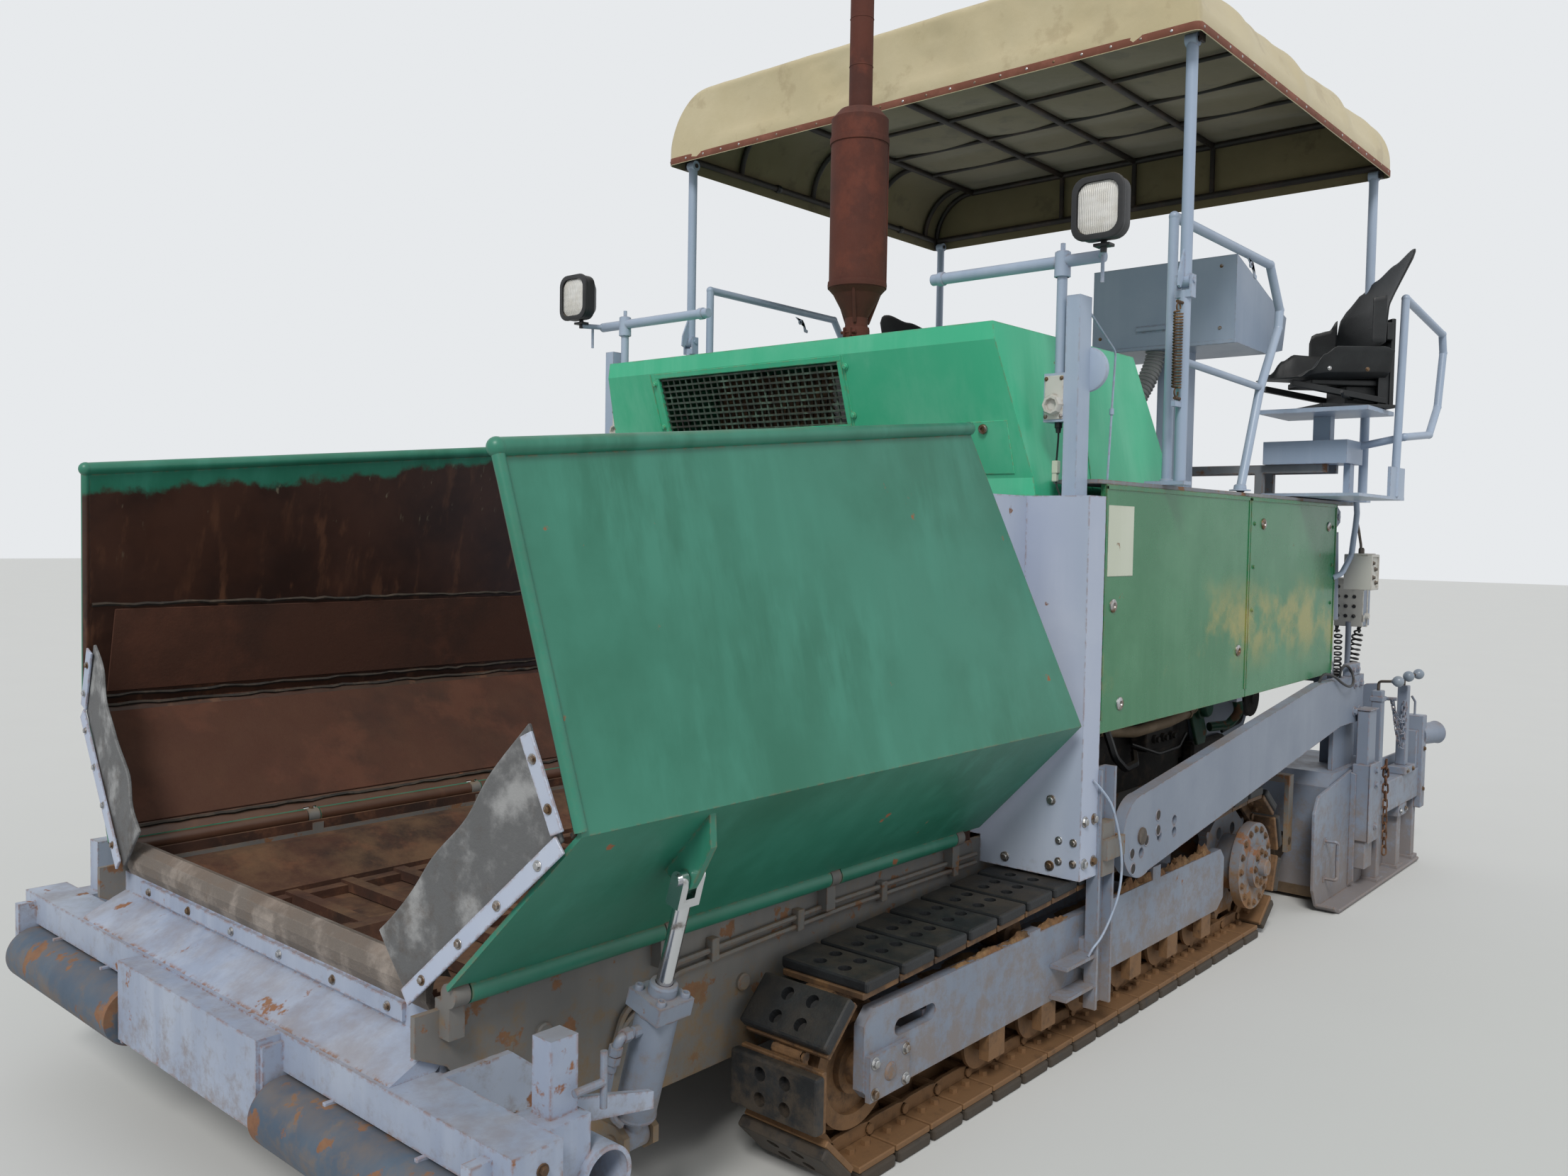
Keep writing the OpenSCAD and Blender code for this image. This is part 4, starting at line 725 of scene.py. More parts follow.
    @classmethod
    def pipe(
        cls, name: str, route: Sequence[Place], radius: float, sides: int = 10, bend: float = 0.0,
        closed: bool = False
    ) -> bpy.types.Object:
        """Bends a pipe along a route, its corners rounded by a bend radius."""
        cls.clear()
        points = Route.rounded(route, bend) if bend > 0 else [Vector(p) for p in route]
        curve = bpy.data.curves.new(name, "CURVE")
        curve.dimensions = "3D"
        curve.bevel_depth = radius
        curve.bevel_resolution = max(0, sides // 4 - 1)
        curve.use_fill_caps = True
        spline = curve.splines.new("POLY")
        spline.points.add(len(points) - 1)
        for slot, p in zip(spline.points, points):
            slot.co = (*p, 1)
        spline.use_cyclic_u = closed
        obj = bpy.data.objects.new(name, curve)
        bpy.context.scene.collection.objects.link(obj)
        cls.pick(obj)
        bpy.ops.object.convert(target="MESH")
        obj = bpy.context.object
        with cls.editing():
            bpy.ops.mesh.remove_doubles(threshold=cls.pipe_weld)
            bpy.ops.mesh.normals_make_consistent(inside=False)
        return cls.smooth(cls.settle(obj, name), 50)

    @classmethod
    def cut(cls, obj: bpy.types.Object, tools: Sequence[bpy.types.Object]) -> bpy.types.Object:
        """Cuts tool pieces out of a piece and removes them."""
        tool = cls.join("cutter", tools)
        cls.modify(obj, "BOOLEAN", operation="DIFFERENCE", object=tool, solver="EXACT")
        bpy.data.objects.remove(tool)
        return obj

    @classmethod
    def join(cls, name: str, parts: Sequence[bpy.types.Object]) -> bpy.types.Object:
        """Joins pieces into one, each keeping its materials."""
        cls.clear()
        for part in parts:
            part.select_set(True)
        bpy.context.view_layer.objects.active = parts[0]
        if len(parts) > 1:
            bpy.ops.object.join()
        obj = bpy.context.object or parts[0]
        obj.name = name
        obj.data.name = name
        return obj

    @classmethod
    def copies(
        cls, name: str, model: bpy.types.Object, places: Iterable[Matrix], keep: bool = False
    ) -> bpy.types.Object:
        """Sets copies of a model, each with its own mesh, and joins them.

        Args:
            name: The joined piece's name.
            model: The piece modelled once, at the origin.
            places: Where each copy stands.
            keep: Leaves the model for another set.

        Returns:
            The joined piece.
        """
        made = [cls.twin(model, place) for place in places]
        if not keep:
            bpy.data.objects.remove(model)
        return cls.join(name, made)

    @classmethod
    def mirrored(cls, name: str, model: bpy.types.Object) -> bpy.types.Object:
        """Makes the piece of the other side, mirrored across the middle."""
        copy = cls.twin(model, FLIP)
        copy.name, copy.data.name = name, name
        return copy

    @classmethod
    def paired(cls, name: str, model: bpy.types.Object) -> bpy.types.Object:
        """Joins a model with its mirror image."""
        return cls.join(name, [model, cls.mirrored(name + "_right", model)])

    @staticmethod
    def coat(obj: bpy.types.Object, finish: Finish) -> bpy.types.Object:
        """Gives a loose part its finish before it is joined."""
        obj.data.materials.clear()
        obj.data.materials.append(finish.material())
        return obj

    @classmethod
    def hand_in(cls, obj: bpy.types.Object, body: str, slot: str, finish: Finish | None = None) -> bpy.types.Object:
        """Dresses a finished piece, sets it on its body and reports it."""
        if finish is not None:
            cls.coat(obj, finish)
        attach(obj, body)
        LOG.info("%s on %s, %d faces", obj.name, body, len(obj.data.polygons))
        return obj


class Kit(list):
    """The loose parts of one piece, each modelled by the workshop as it is added."""

    def block(self, *sizes: object, **more: object) -> None:
        """Adds a block."""
        self.append(Workshop.block(*sizes, **more))

    def bar(self, *sizes: object, **more: object) -> None:
        """Adds a round bar."""
        self.append(Workshop.bar(*sizes, **more))

    def plate(self, *sizes: object, **more: object) -> None:
        """Adds a thickened outline."""
        self.append(Workshop.plate(*sizes, **more))

    def turned(self, *sizes: object, **more: object) -> None:
        """Adds a turned part."""
        self.append(Workshop.turned(*sizes, **more))

    def pipe(self, *sizes: object, **more: object) -> None:
        """Adds a bent pipe."""
        self.append(Workshop.pipe(*sizes, **more))

    def hand_in(self, name: str, body: str, slot: str, finish: Finish | None = None) -> bpy.types.Object:
        """Joins the parts into one piece, dresses it and sets it on its body."""
        return Workshop.hand_in(Workshop.join(name, self), body, slot, finish)


class Route:
    """Lines through space that pipes, cords and chains follow."""

    @staticmethod
    def rounded(route: Sequence[Place], bend: float, steps: int = 6) -> list[Vector]:
        """Rounds the corners of a route with arcs of one bend radius."""
        points = [Vector(p) for p in route]
        made = [points[0]]
        for before, corner, after in zip(points, points[1:], points[2:]):
            a, b = (before - corner), (after - corner)
            angle = a.angle(b)
            if angle > math.pi - 0.02:
                made.append(corner)
                continue
            reach = min(bend / math.tan(angle / 2), a.length * 0.48, b.length * 0.48)
            p, q = corner + a.normalized() * reach, corner + b.normalized() * reach
            for i in range(steps + 1):
                t = i / steps
                made.append(p.lerp(corner, t).lerp(corner.lerp(q, t), t))
        made.append(points[-1])
        return made

    @staticmethod
    def spring(start: Place, end: Place, radius: float, turns: float, per_turn: int = 14) -> list[Vector]:
        """Winds a helix between two points."""
        a, b = Vector(start), Vector(end)
        along = b - a
        side = along.orthogonal().normalized()
        other = along.normalized().cross(side)
        count = int(turns * per_turn)
        made = []
        for i in range(count + 1):
            t = i / count
            angle = math.tau * turns * t
            made.append(a + along * t + (side * math.cos(angle) + other * math.sin(angle)) * radius)
        return made

    @staticmethod
    def even(points: Sequence[Vector], count: int) -> list[Vector]:
        """Spaces points evenly along a line of straight stretches."""
        reach = [0.0]
        for a, b in zip(points, points[1:]):
            reach.append(reach[-1] + (b - a).length)
        made, k = [], 0
        for i in range(count):
            s = reach[-1] * i / (count - 1)
            while k < len(reach) - 2 and reach[k + 1] < s:
                k += 1
            share = (s - reach[k]) / max(reach[k + 1] - reach[k], 1e-9)
            made.append(points[k].lerp(points[k + 1], share))
        return made

    @staticmethod
    def length(points: Sequence[Vector]) -> float:
        """Measures a line of straight stretches."""
        return sum((b - a).length for a, b in zip(points, points[1:]))

    @staticmethod
    def smooth(points: Sequence[Place], per_part: int = 8) -> list[Vector]:
        """Draws one smooth line through the given points."""
        p = [Vector(q) for q in points]
        p = [p[0] * 2 - p[1], *p, p[-1] * 2 - p[-2]]
        made = []
        for a, b, c, d in zip(p, p[1:], p[2:], p[3:]):
            for i in range(per_part):
                t = i / per_part
                square, cube = 2 * a - 5 * b + 4 * c - d, 3 * b - a - 3 * c + d
                made.append(0.5 * ((2 * b) + (c - a) * t + square * t * t + cube * t**3))
        made.append(Vector(points[-1]))
        return made


class Bolts:
    """Hexagon screws and washers, modelled once and set where they show."""

    twist = 0.7

    @staticmethod
    def model(radius: float) -> bpy.types.Object:
        """Models one screw head on its washer, standing along +Z."""
        head = [(0, 0.95), (0.78, 0.95), (1.0, 0.8), (1.0, 0.24)]
        washer = [(0.6, 0.25), (1.38, 0.25), (1.45, 0.18), (1.45, -0.1)]
        made = Kit()
        for name, shares, steps in (("screw", head, 6), ("washer", washer, 12)):
            profile = [(r * radius, h * radius) for r, h in shares]
            made.turned(name, profile, (0, 0, 0), steps=steps)
        return Workshop.join("screw", made)

    @classmethod
    def put(
        cls, name: str, radius: float, places: Sequence[Place], out: Place | Sequence[Place], finish: Finish,
        body: str, slot: str, mirror: bool = True
    ) -> bpy.types.Object:
        """Sets screws at places.

        Args:
            name: The name of the joined screws.
            radius: Half the width of a head.
            places: Where each washer sits.
            out: The direction of the heads, one for all or one each.
            finish: Their finish.
            body: The body that they ride on.
            slot: The record's material slot; not used.
            mirror: Sets the same screws on the other side too.

        Returns:
            The joined screws.
        """
        outs = [out] * len(places) if isinstance(out[0], (int, float)) else out
        frames = []
        for i, (place, way) in enumerate(zip(places, outs)):
            spun = Matrix.Rotation(cls.twist * i, 4, "Z")
            frames.append(Matrix.Translation(place) @ Workshop.upright(way) @ spun)
        if mirror:
            frames += [FLIP @ f for f in frames]
        obj = Workshop.copies(name, cls.model(radius), frames)
        return Workshop.hand_in(obj, body, slot, finish)


class Palette:
    """The finishes of this machine."""

    # painted light: the hood's green is the sunlit copy of the one machine paint, brighter than the wing and side
    # panel greens
    green = Paint(
        "green_paint", "3CB589", 1.0, fade="70C8A5", under="7B4A2C", fade_level=0.54, streak=0.4, gloss=0.36,
        splash=0.2, settled=0.25
    )
    # painted shade: the side panels' green is a darker, shaded copy of the hood paint, with real fading and wear on
    # top
    worn_green = WornPaint(
        "green_panel_paint", "246E45", 3.0, fade="4F8B66", under="5F4430", gloss=0.26, streak=0.3, splash=0.15,
        settled=0.2
    )
    # painted shade: the wing greens are a darker, shaded copy of the hood paint
    wing_left = WingPaint(
        "wing_paint_left", "1E6952", 5.0, fade="37826D", under="8A4A2B", streak=0.75, fade_level=0.5, gloss=0.4,
        side=1, settled=0.2, splash=0.2
    )
    wing_right = WingPaint(
        "wing_paint_right", "1E6952", 6.0, fade="37826D", under="8A4A2B", streak=0.75, fade_level=0.5, gloss=0.4,
        side=-1, settled=0.2, splash=0.2
    )
    pale = Paint(
        "pale_paint", "A6B0C4", 7.0, fade="BAC2D0", under="6A4733", chip_level=0.67, edge=0.8, streak=0.3,
        gloss=0.45, splash=0.5, settled=0.4
    )
    battered = Paint(
        "battered_pale_paint", "8F9AAF", 8.0, fade="AEB7C6", under="7A4E38", chip_level=0.635, chip_size=8.0,
        edge=0.9, edge_r=0.012, streak=0.5, gloss=0.5, splash=0.6, settled=0.45
    )
    # painted shade: the grey is darkened by about a quarter to the shaded look of the arms, screed and end plates
    grey = Paint(
        "grey_paint", "747E8E", 9.0, fade="8A93A1", under="69493A", chip_level=0.70, edge=0.7, streak=0.3,
        gloss=0.46, splash=0.55, settled=0.5, reach=0.9
    )
    rail = Paint(
        "rail_paint", "93A3B8", 10.0, fade="A9B6C7", under="6A4C3B", chip_level=0.72, chip_size=16.0, edge=0.4,
        gloss=0.4, settled=0.3, splash=0.0
    )
    dusty = Paint(
        "dusty_grey_paint", "696866", 11.0, fade="807B74", under="59422F", chip_level=0.6, edge=0.8, gloss=0.6,
        settled=0.8, splash=0.9, reach=1.0, dirt="7F6A4F"
    )
    box_grey = Paint(
        "box_paint", "B9B8B2", 12.0, fade="CBCAC3", under="5E5650", chip_level=0.74, edge=0.5, gloss=0.5,
        settled=0.4, splash=0.1
    )
    deck = Paint(
        "deck_paint", "70757B", 13.0, fade="8B8E90", under="5A4638", chip_level=0.6, chip_size=5.0, edge=0.9,
        gloss=0.6, settled=0.9, splash=0.2
    )
    engine = Paint(
        "engine_paint", "164A36", 14.0, fade="26543F", under="33281F", chip_level=0.6, edge=0.5, gloss=0.5,
        settled=1.0, splash=0.8, reach=1.4, dirt="5B4B38"
    )
    # painted shade: the rollers' blue-grey is darkened to their shaded look
    roller = Paint(
        "roller_paint", "3E4E60", 15.0, fade="5A6875", under="55382A", chip_level=0.575, chip_size=9.0, edge=0.9,
        gloss=0.6, settled=0.5, splash=0.6
    )
    rust_pipe = Rusted(
        "exhaust_rust", "552A1E", 16.0, light="643223", dark="442118", size=3.0, settled=0.1, splash=0.0,
        depth=0.0016
    )
    # painted shade: the hopper floor's rust is darkened to its look in the hopper's shade
    rust_hopper = Rusted(
        "hopper_rust", "45291C", 17.0, light="66422D", dark="281912", size=4.0, settled=0.7, splash=0.3,
        dirt="6A5038"
    )
    # painted shade: the liner's rust is darkened to its look in the hopper's shade
    liner = Rusted(
        "liner_rust", "4A2B1D", 38.0, light="5A3525", dark="331F16", size=1.6, settled=0.2, splash=0.15,
        dirt="6A4D36"
    )
    iron = Rusted(
        "dusty_iron", "5A4431", 18.0, light="80603F", dark="33271F", size=6.0, metal=0.25, rough=0.7, settled=0.9,
        splash=1.0, dirt="7A5B3D"
    )
    tool_steel = Rusted(
        "worn_steel", "5E5751", 19.0, light="7A6B5C", dark="38322E", size=7.0, metal=0.6, rough=0.55, settled=0.6,
        splash=0.5
    )
    soil = Rusted(
        "dry_soil", "6C4B30", 20.0, light="86613F", dark="4A3622", size=14.0, rough=0.97, depth=0.012, settled=0.6,
        splash=0.6, dirt="A2855C"
    )
    chain = Rusted(
        "chain_rust", "5C3E2C", 21.0, light="8A5C3E", dark="33251D", size=20.0, metal=0.3, rough=0.7, settled=0.2,
        splash=0.2
    )
    chrome = Bright("chrome", "D5D7DA", 22.0)
    zinc = Bright("zinc_bolts", "B3B4B5", 23.0, tarnish="75604B", rough=0.34, level=0.5)
    bowl = Bright("lamp_bowl", "EDEDEA", 24.0, tarnish="D8D2C4", rough=0.2, level=0.7)
    pads = Rubber(
        "track_rubber", "131518", 25.0, worn="24272A", dirt="5A4C3B", settled=0.3, splash=0.4, reach=0.7, rough=0.6,
        depth=0.002
    )
    flap = Rubber(
        "rubber_sheet", "5B5C5D", 26.0, worn="A3A4A4", dirt="4C4036", settled=0.45, splash=0.55, reach=1.6,
        depth=0.003
    )
    rolled = Rubber(
        "rolled_rubber", "6A625B", 39.0, worn="9E948B", dirt="6B5645", rough=0.85, settled=0.5, splash=0.4,
        reach=1.2, depth=0.006
    )
    curtain = Rubber("curtain_rubber", "26272A", 40.0, worn="3B3C3D", dirt="6A5844", settled=0.6, splash=0.3)
    dark = Rusted(
        "dark_iron", "2A2623", 41.0, light="4A3F35", dark="191715", size=7.0, rough=0.75, settled=0.5, splash=0.4,
        dirt="5C4B39"
    )
    brown_hose = Rubber("brown_hose", "7A6852", 42.0, worn="95836A", dirt="5E4E3C", rough=0.7)
    ball = Paint(
        "ball_knob", "76828F", 43.0, fade="8A949F", under="4A403A", chip_level=0.70, gloss=0.35, settled=0.2,
        splash=0.0
    )
    plastic = Rubber("black_plastic", "1B1C1E", 27.0, worn="303134", rough=0.5, settled=0.4, splash=0.0)
    lead = Rubber("black_lead", "17181A", 28.0, worn="2A2A2C", rough=0.45, settled=0.2, splash=0.0)
    tube = Rubber("black_tube", "221D1A", 29.0, worn="40312A", rough=0.55, settled=0.2, splash=0.0, worn_level=0.56)
    boot = Rubber("grey_boot", "8F9091", 30.0, worn="A9A9A7", rough=0.6, settled=0.4, splash=0.0)
    grille = Rusted(
        "grille_wire", "3A4A40", 31.0, light="5E7A69", dark="241F1B", size=9.0, rough=0.6, settled=0.2, splash=0.0
    )
    canvas = Canvas("canvas", "BFB28E", 32.0, stain="A29170", pale="D0C5A5")
    # painted shade: the underside is a darker copy of the canvas, standing for the shade under the roof
    canvas_under = Canvas("canvas_underside", "6B6144", 33.0, stain="4A422D", pale="7B7050")
    hem = Rubber("hem_binding", "6E4131", 34.0, worn="875545", rough=0.85, settled=0.1, splash=0.0)
    shell = Rubber(
        "seat_shell", "0E1114", 35.0, worn="1C2022", dirt="4A473F", rough=0.5, settled=0.35, splash=0.0,
        depth=0.0014
    )
    hub = Paint(
        "hub_paint", "6A6F78", 44.0, fade="80848A", under="6A4630", chip_level=0.55, chip_size=7.0, edge=0.9,
        gloss=0.55, settled=0.7, splash=0.9, dirt="80613F"
    )
    lens = Lens("lamp_glass", "F8F7F2", 36.0)
    label = Paint(
        "blank_plate", "BFC5B4", 37.0, fade="CBD0C2", under="8D8C80", chip_level=0.66, edge=0.3, gloss=0.5,
        settled=0.1, splash=0.0
    )


@dataclass
class Studio:
    """The floor, the light, the background and the camera."""

    eye: Place = (4.401, 3.132, 1.728)
    yaw: float = 40.952
    pitch: float = -2.519
    roll: float = 0.9646
    focal_px: float = 1761.86
    width_px: float = 2212.0
    backdrop: Tone = (0.80, 0.82, 0.84, 1.0)
    sky_strength: float = 0.58
    sun_strength: float = 1.9
    fill_strength: float = 0.2
    sensor: float = 36.0
    floor_size: float = 120.0

    def camera(self) -> None:
        """Stands the camera where the photograph was taken from."""
        yaw, pitch, roll = (math.radians(v) for v in (self.yaw, self.pitch, self.roll))
        ahead = Vector((-math.cos(yaw) * math.cos(pitch), -math.sin(yaw) * math.cos(pitch), math.sin(pitch)))
        right = ahead.cross(Vector((0, 0, 1))).normalized()
        up = right.cross(ahead)
        side = math.cos(roll) * right + math.sin(roll) * up
        top = -math.sin(roll) * right + math.cos(roll) * up
        data = bpy.data.cameras.new("view")
        data.sensor_width = self.sensor
        data.lens = self.focal_px * self.sensor / self.width_px
        data.clip_start, data.clip_end = 0.05, 400
        cam = bpy.data.objects.new("view", data)
        bpy.context.scene.collection.objects.link(cam)
        turn = Matrix((side, top, -ahead)).transposed().to_4x4()
        cam.matrix_world = Matrix.Translation(self.eye) @ turn
        bpy.context.scene.camera = cam

    def world(self) -> None:
        """Lights the scene from all round and shows a pale background."""
        world = bpy.data.worlds.new("studio")
        bpy.context.scene.world = world
        world.use_nodes = True
        w = Wiring(world.node_tree)
        world.node_tree.nodes.clear()
        light, seen = w.add("Background"), w.add("Background")
        light.inputs["Color"].default_value = (0.93, 0.96, 1.0, 1)
        light.inputs["Strength"].default_value = self.sky_strength
        seen.inputs["Color"].default_value = self.backdrop
        path = w.add("LightPath")
        direct = w.math(
            "MAXIMUM", path.outputs["Is Camera Ray"],
            w.math("MAXIMUM", path.outputs["Is Glossy Ray"], path.outputs["Is Transmission Ray"])
        )
        joined = w.add("MixShader")
        w.feed(joined.inputs[0], direct)
        w.feed(joined.inputs[1], light.outputs[0])
        w.feed(joined.inputs[2], seen.outputs[0])
        w.feed(w.add("OutputWorld").inputs[0], joined.outputs[0])

    def lamps(self) -> None:
        """Sets one soft main light ahead of the machine and a weak fill."""
        for name, strength, angle, way in (
            ("main", self.sun_strength, 16, (0.62, 0.36, 0.70)), ("fill", self.fill_strength, 60, (-0.4, 0.9, 0.5))
        ):
            data = bpy.data.lights.new(name, "SUN")
            data.energy = strength
            data.angle = math.radians(angle)
            data.color = (1.0, 0.975, 0.94)
            lamp = bpy.data.objects.new(name, data)
            lamp.rotation_euler = Vector(way).to_track_quat("Z", "Y").to_euler()
            bpy.context.scene.collection.objects.link(lamp)

    def floor(self) -> None:
        """Lays a plain pale floor."""
        Workshop.clear()
        bpy.ops.mesh.primitive_plane_add(size=self.floor_size, location=(0, 0, -0.001))
        floor = Workshop.settle(bpy.context.object, "floor")
        made = bpy.data.materials.new("floor")
        made.use_nodes = True
        shader = made.node_tree.nodes["Principled BSDF"]
        w = Wiring(made.node_tree)
        cloud = w.noise(w.place(), 1.2, 3.0, 0.5, 0.0)
        w.feed(shader.inputs["Base Color"], w.mix(w.math("MULTIPLY", cloud, 0.3), tone("CFD0CE"), tone("C4C5C4")))
        shader.inputs["Roughness"].default_value = 0.95
        shader.inputs["Specular IOR Level"].default_value = 0.1
        floor.data.materials.append(made)

    def build(self) -> None:
        """Sets up the whole studio."""
        self.camera()
        self.world()
        self.lamps()
        self.floor()
        bpy.context.scene.view_settings.view_transform = "Standard"
        LOG.info("studio ready")


@dataclass
class Carried:
    """The CAD nodes that stay, each with its finish."""

    worn: tuple[tuple[Finish, str], ...] = (
        (Palette.dusty, "frame tow_blocks auger_carrier"), (Palette.rust_hopper, "hopper_floor conveyor"),
        (Palette.pale, "bulkhead"), (Palette.battered, "front_apron push_beam"),
        (Palette.roller, "push_roller_left push_roller_right"), (Palette.wing_left, "wing_left"),
        (Palette.wing_right, "wing_right"), (Palette.flap, "wing_flap_left wing_flap_right"),
        (
            Palette.grey,
            "wing_barrel_left wing_barrel_right track_frames rear_frame tow_guides tow_arms "
            "screed_body end_plates screed_gear lift_barrel_left lift_barrel_right"
        ),
        (Palette.chrome, "wing_rod_left wing_rod_right lift_rod_left lift_rod_right"),
        (Palette.pads, "track_left track_right"), (Palette.hub, "sprockets"),
        (Palette.iron, "idlers track_rollers"), (Palette.green, "hood"), (Palette.grille, "grille"),
        (Palette.engine, "engine_block"), (Palette.worn_green, "side_panels"),
        (Palette.deck, "deck screed_walkway"), (Palette.rust_pipe, "exhaust"),
        (
            Palette.rail,
            "console handrails corner_posts canopy_stands canopy_springs canopy_posts_front "
            "canopy_posts_rear seat_frame_left seat_frame_right"
        ),
        (Palette.plastic, "lamps"), (Palette.tube, "canopy_frame"), (Palette.canvas, "canopy_cover"),
        (Palette.tool_steel, "tow_pins screed_plate auger_left auger_right"),
        (Palette.shell, "seat_left seat_right"),
    )
    beam_foot: float = 0.2145
    roll_foot: float = 0.6685

    def build(self) -> None:
        """Dresses every node."""
        finishes = {name: finish for finish, names in self.worn for name in names.split()}
        for name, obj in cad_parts.items():
            Workshop.coat(obj, finishes[name])
        self.split("front_apron", Palette.rolled, lambda z: z > self.roll_foot)
        self.split("track_frames", Palette.iron, lambda z: z < self.beam_foot)
        LOG.info("%d nodes dressed", len(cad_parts))

    @staticmethod
    def split(node: str, finish: Finish, there: Callable[[float], bool]) -> None:
        """Gives the faces of a node whose height suits a finish of their own."""
        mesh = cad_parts[node].data
        mesh.materials.append(finish.material())
        for face in mesh.polygons:
            face.material_index = int(there(face.center.z))


@dataclass
class Tracks:
    """Both tracks, shoe by shoe, and what is bolted beside them."""

    pitch: float = 0.168
    run: int = 16
    teeth: int = 10
    height: float = 0.064
    pad_t: float = 0.034
    pad_w: float = 0.300
    gap: float = 0.018
    middle: float = 1.040
    sprocket_x: float = -0.960
    hole_r: float = 0.0195

    def __post_init__(self) -> None:
        """Works out the path as the source does."""
        self.count = 2 * self.run + 9
        self.big = self.pitch * self.teeth / math.tau
        self.length = self.run * self.pitch
        first = 9 * self.pitch / math.pi - self.big
        lean = math.atan((self.big - first) / self.length)
        self.small = first - 2 * lean * (self.big - first) / math.pi
        self.tilt = math.atan((self.big - self.small) / self.length)
        self.arc = (math.pi - 2 * self.tilt) * self.small
        self.sprocket_z = self.big + self.height
        self.idler_z = self.small + self.height
        self.idler_x = self.sprocket_x + self.length

    def at(self, s: float) -> Matrix:
        """Gives the frame of a shoe at a length along the path."""
        top = math.pi - 2 * self.tilt
        if s < self.length:
            x, z, a = self.sprocket_x + s, self.height, 0.0
        elif s < self.length + self.arc:
            a = (s - self.length) / self.small
            x, z = self.idler_x + self.small * math.sin(a), self.idler_z - self.small * math.cos(a)
        elif s < 2 * self.length + self.arc:
            a, t = top, s - self.length - self.arc
            x = self.idler_x + self.small * math.sin(a) + t * math.cos(a)
            z = self.idler_z - self.small * math.cos(a) + t * math.sin(a)
        else:
            a = top + (s - 2 * self.length - self.arc) / self.big
            x, z = self.sprocket_x + self.big * math.sin(a), self.sprocket_z - self.big * math.cos(a)
        turn = Matrix(((math.cos(a), 0, -math.sin(a)), (0, 1, 0), (math.sin(a), 0, math.cos(a)))).to_4x4()
        return Matrix.Translation((x, self.middle, z)) @ turn

    def pad(self) -> bpy.types.Object:
        """Models one rubber pad with its four bolt wells."""
        half, wide = self.pitch / 2 - self.gap / 2, self.pad_w / 2
        pad = Workshop.block("pad", (-half, -wide, -self.height), (half, wide, self.pad_t - self.height), 0.008, 2)
        wells = Kit()
        for x, y in ((x, y) for x in (-0.034, 0.034) for y in (-0.043, 0.043)):
            wells.bar("well", (x, y, -self.height - 0.01), (x, y, -self.height + 0.026), self.hole_r, 14)
        return Workshop.cut(pad, wells)

    def iron(self) -> bpy.types.Object:
        """Models one shoe plate with its pair of links, bush and bolt ends."""
        half = self.pitch / 2 - 0.004
        parts = Kit([Workshop.block("plate", (-half, -0.142, -0.031), (half, 0.142, -0.012), 0.003, 1)])
        for y in (-0.038, 0.038):
            outline = [
                (-0.094, -0.010), (-0.060, -0.012), (0.060, -0.012), (0.094, -0.010), (0.100, 0.006),
                (0.088, 0.024), (0.050, 0.029), (-0.050, 0.029), (-0.088, 0.024), (-0.100, 0.006)
            ]
            shift = 0.011 if y > 0 else -0.011
            parts.plate("link", outline, y - 0.008, y + 0.008, Across.Y, 0.002)
            parts.bar("pin", (0.084, y + shift, 0.006), (0.084, y + shift * 1.5, 0.006), 0.015, 10)
        parts.bar("bush", (0.084, -0.045, 0.006), (0.084, 0.045, 0.006), 0.020, 12)
        for x in (-0.034, 0.034):
            for y in (-0.074, 0.074):
                parts.bar("nut", (x, y, -0.014), (x, y, 0.002), 0.014, 6)
        return Workshop.join("shoe_iron", parts)

    def hubs(self) -> None:
        """Bolts the drive hubs and idler caps, and sets the hub caps."""
        rings = []
        for radius, count, face in ((0.158, 16, 1.190), (0.066, 8, 1.216)):
            for i in range(count):
                a = math.tau * i / count
                rings.append((self.sprocket_x + radius * math.cos(a), face, self.sprocket_z + radius * math.sin(a)))
        Bolts.put("hub_bolts", 0.011, rings, (0, 1, 0), Palette.iron, "tractor", "dusty_iron")
        caps = [(self.idler_x + x, 1.188, self.idler_z + z) for x in (-0.11, 0.03) for z in (-0.042, 0.042)]
        Bolts.put("idler_bolts", 0.012, caps, (0, 1, 0), Palette.zinc, "tractor", "grey_paint")
        parts = Kit()
        for side in (1, -1):
            parts.turned(
                "hub", [(0.0, 0.034), (0.030, 0.034), (0.036, 0.028), (0.038, 0.0), (0.060, -0.002)],
                (self.sprocket_x, 1.214 * side, self.sprocket_z), (0, side, 0), 24
            )
            parts.turned(
                "idler_hub", [(0.0, 0.006), (0.020, 0.006), (0.026, 0.001), (0.026, -0.01)],
                (self.idler_x - 0.04, 1.188 * side, self.idler_z), (0, side, 0), 20
            )
        parts.hand_in("hub_caps", "tractor", "dusty_iron", Palette.hub)

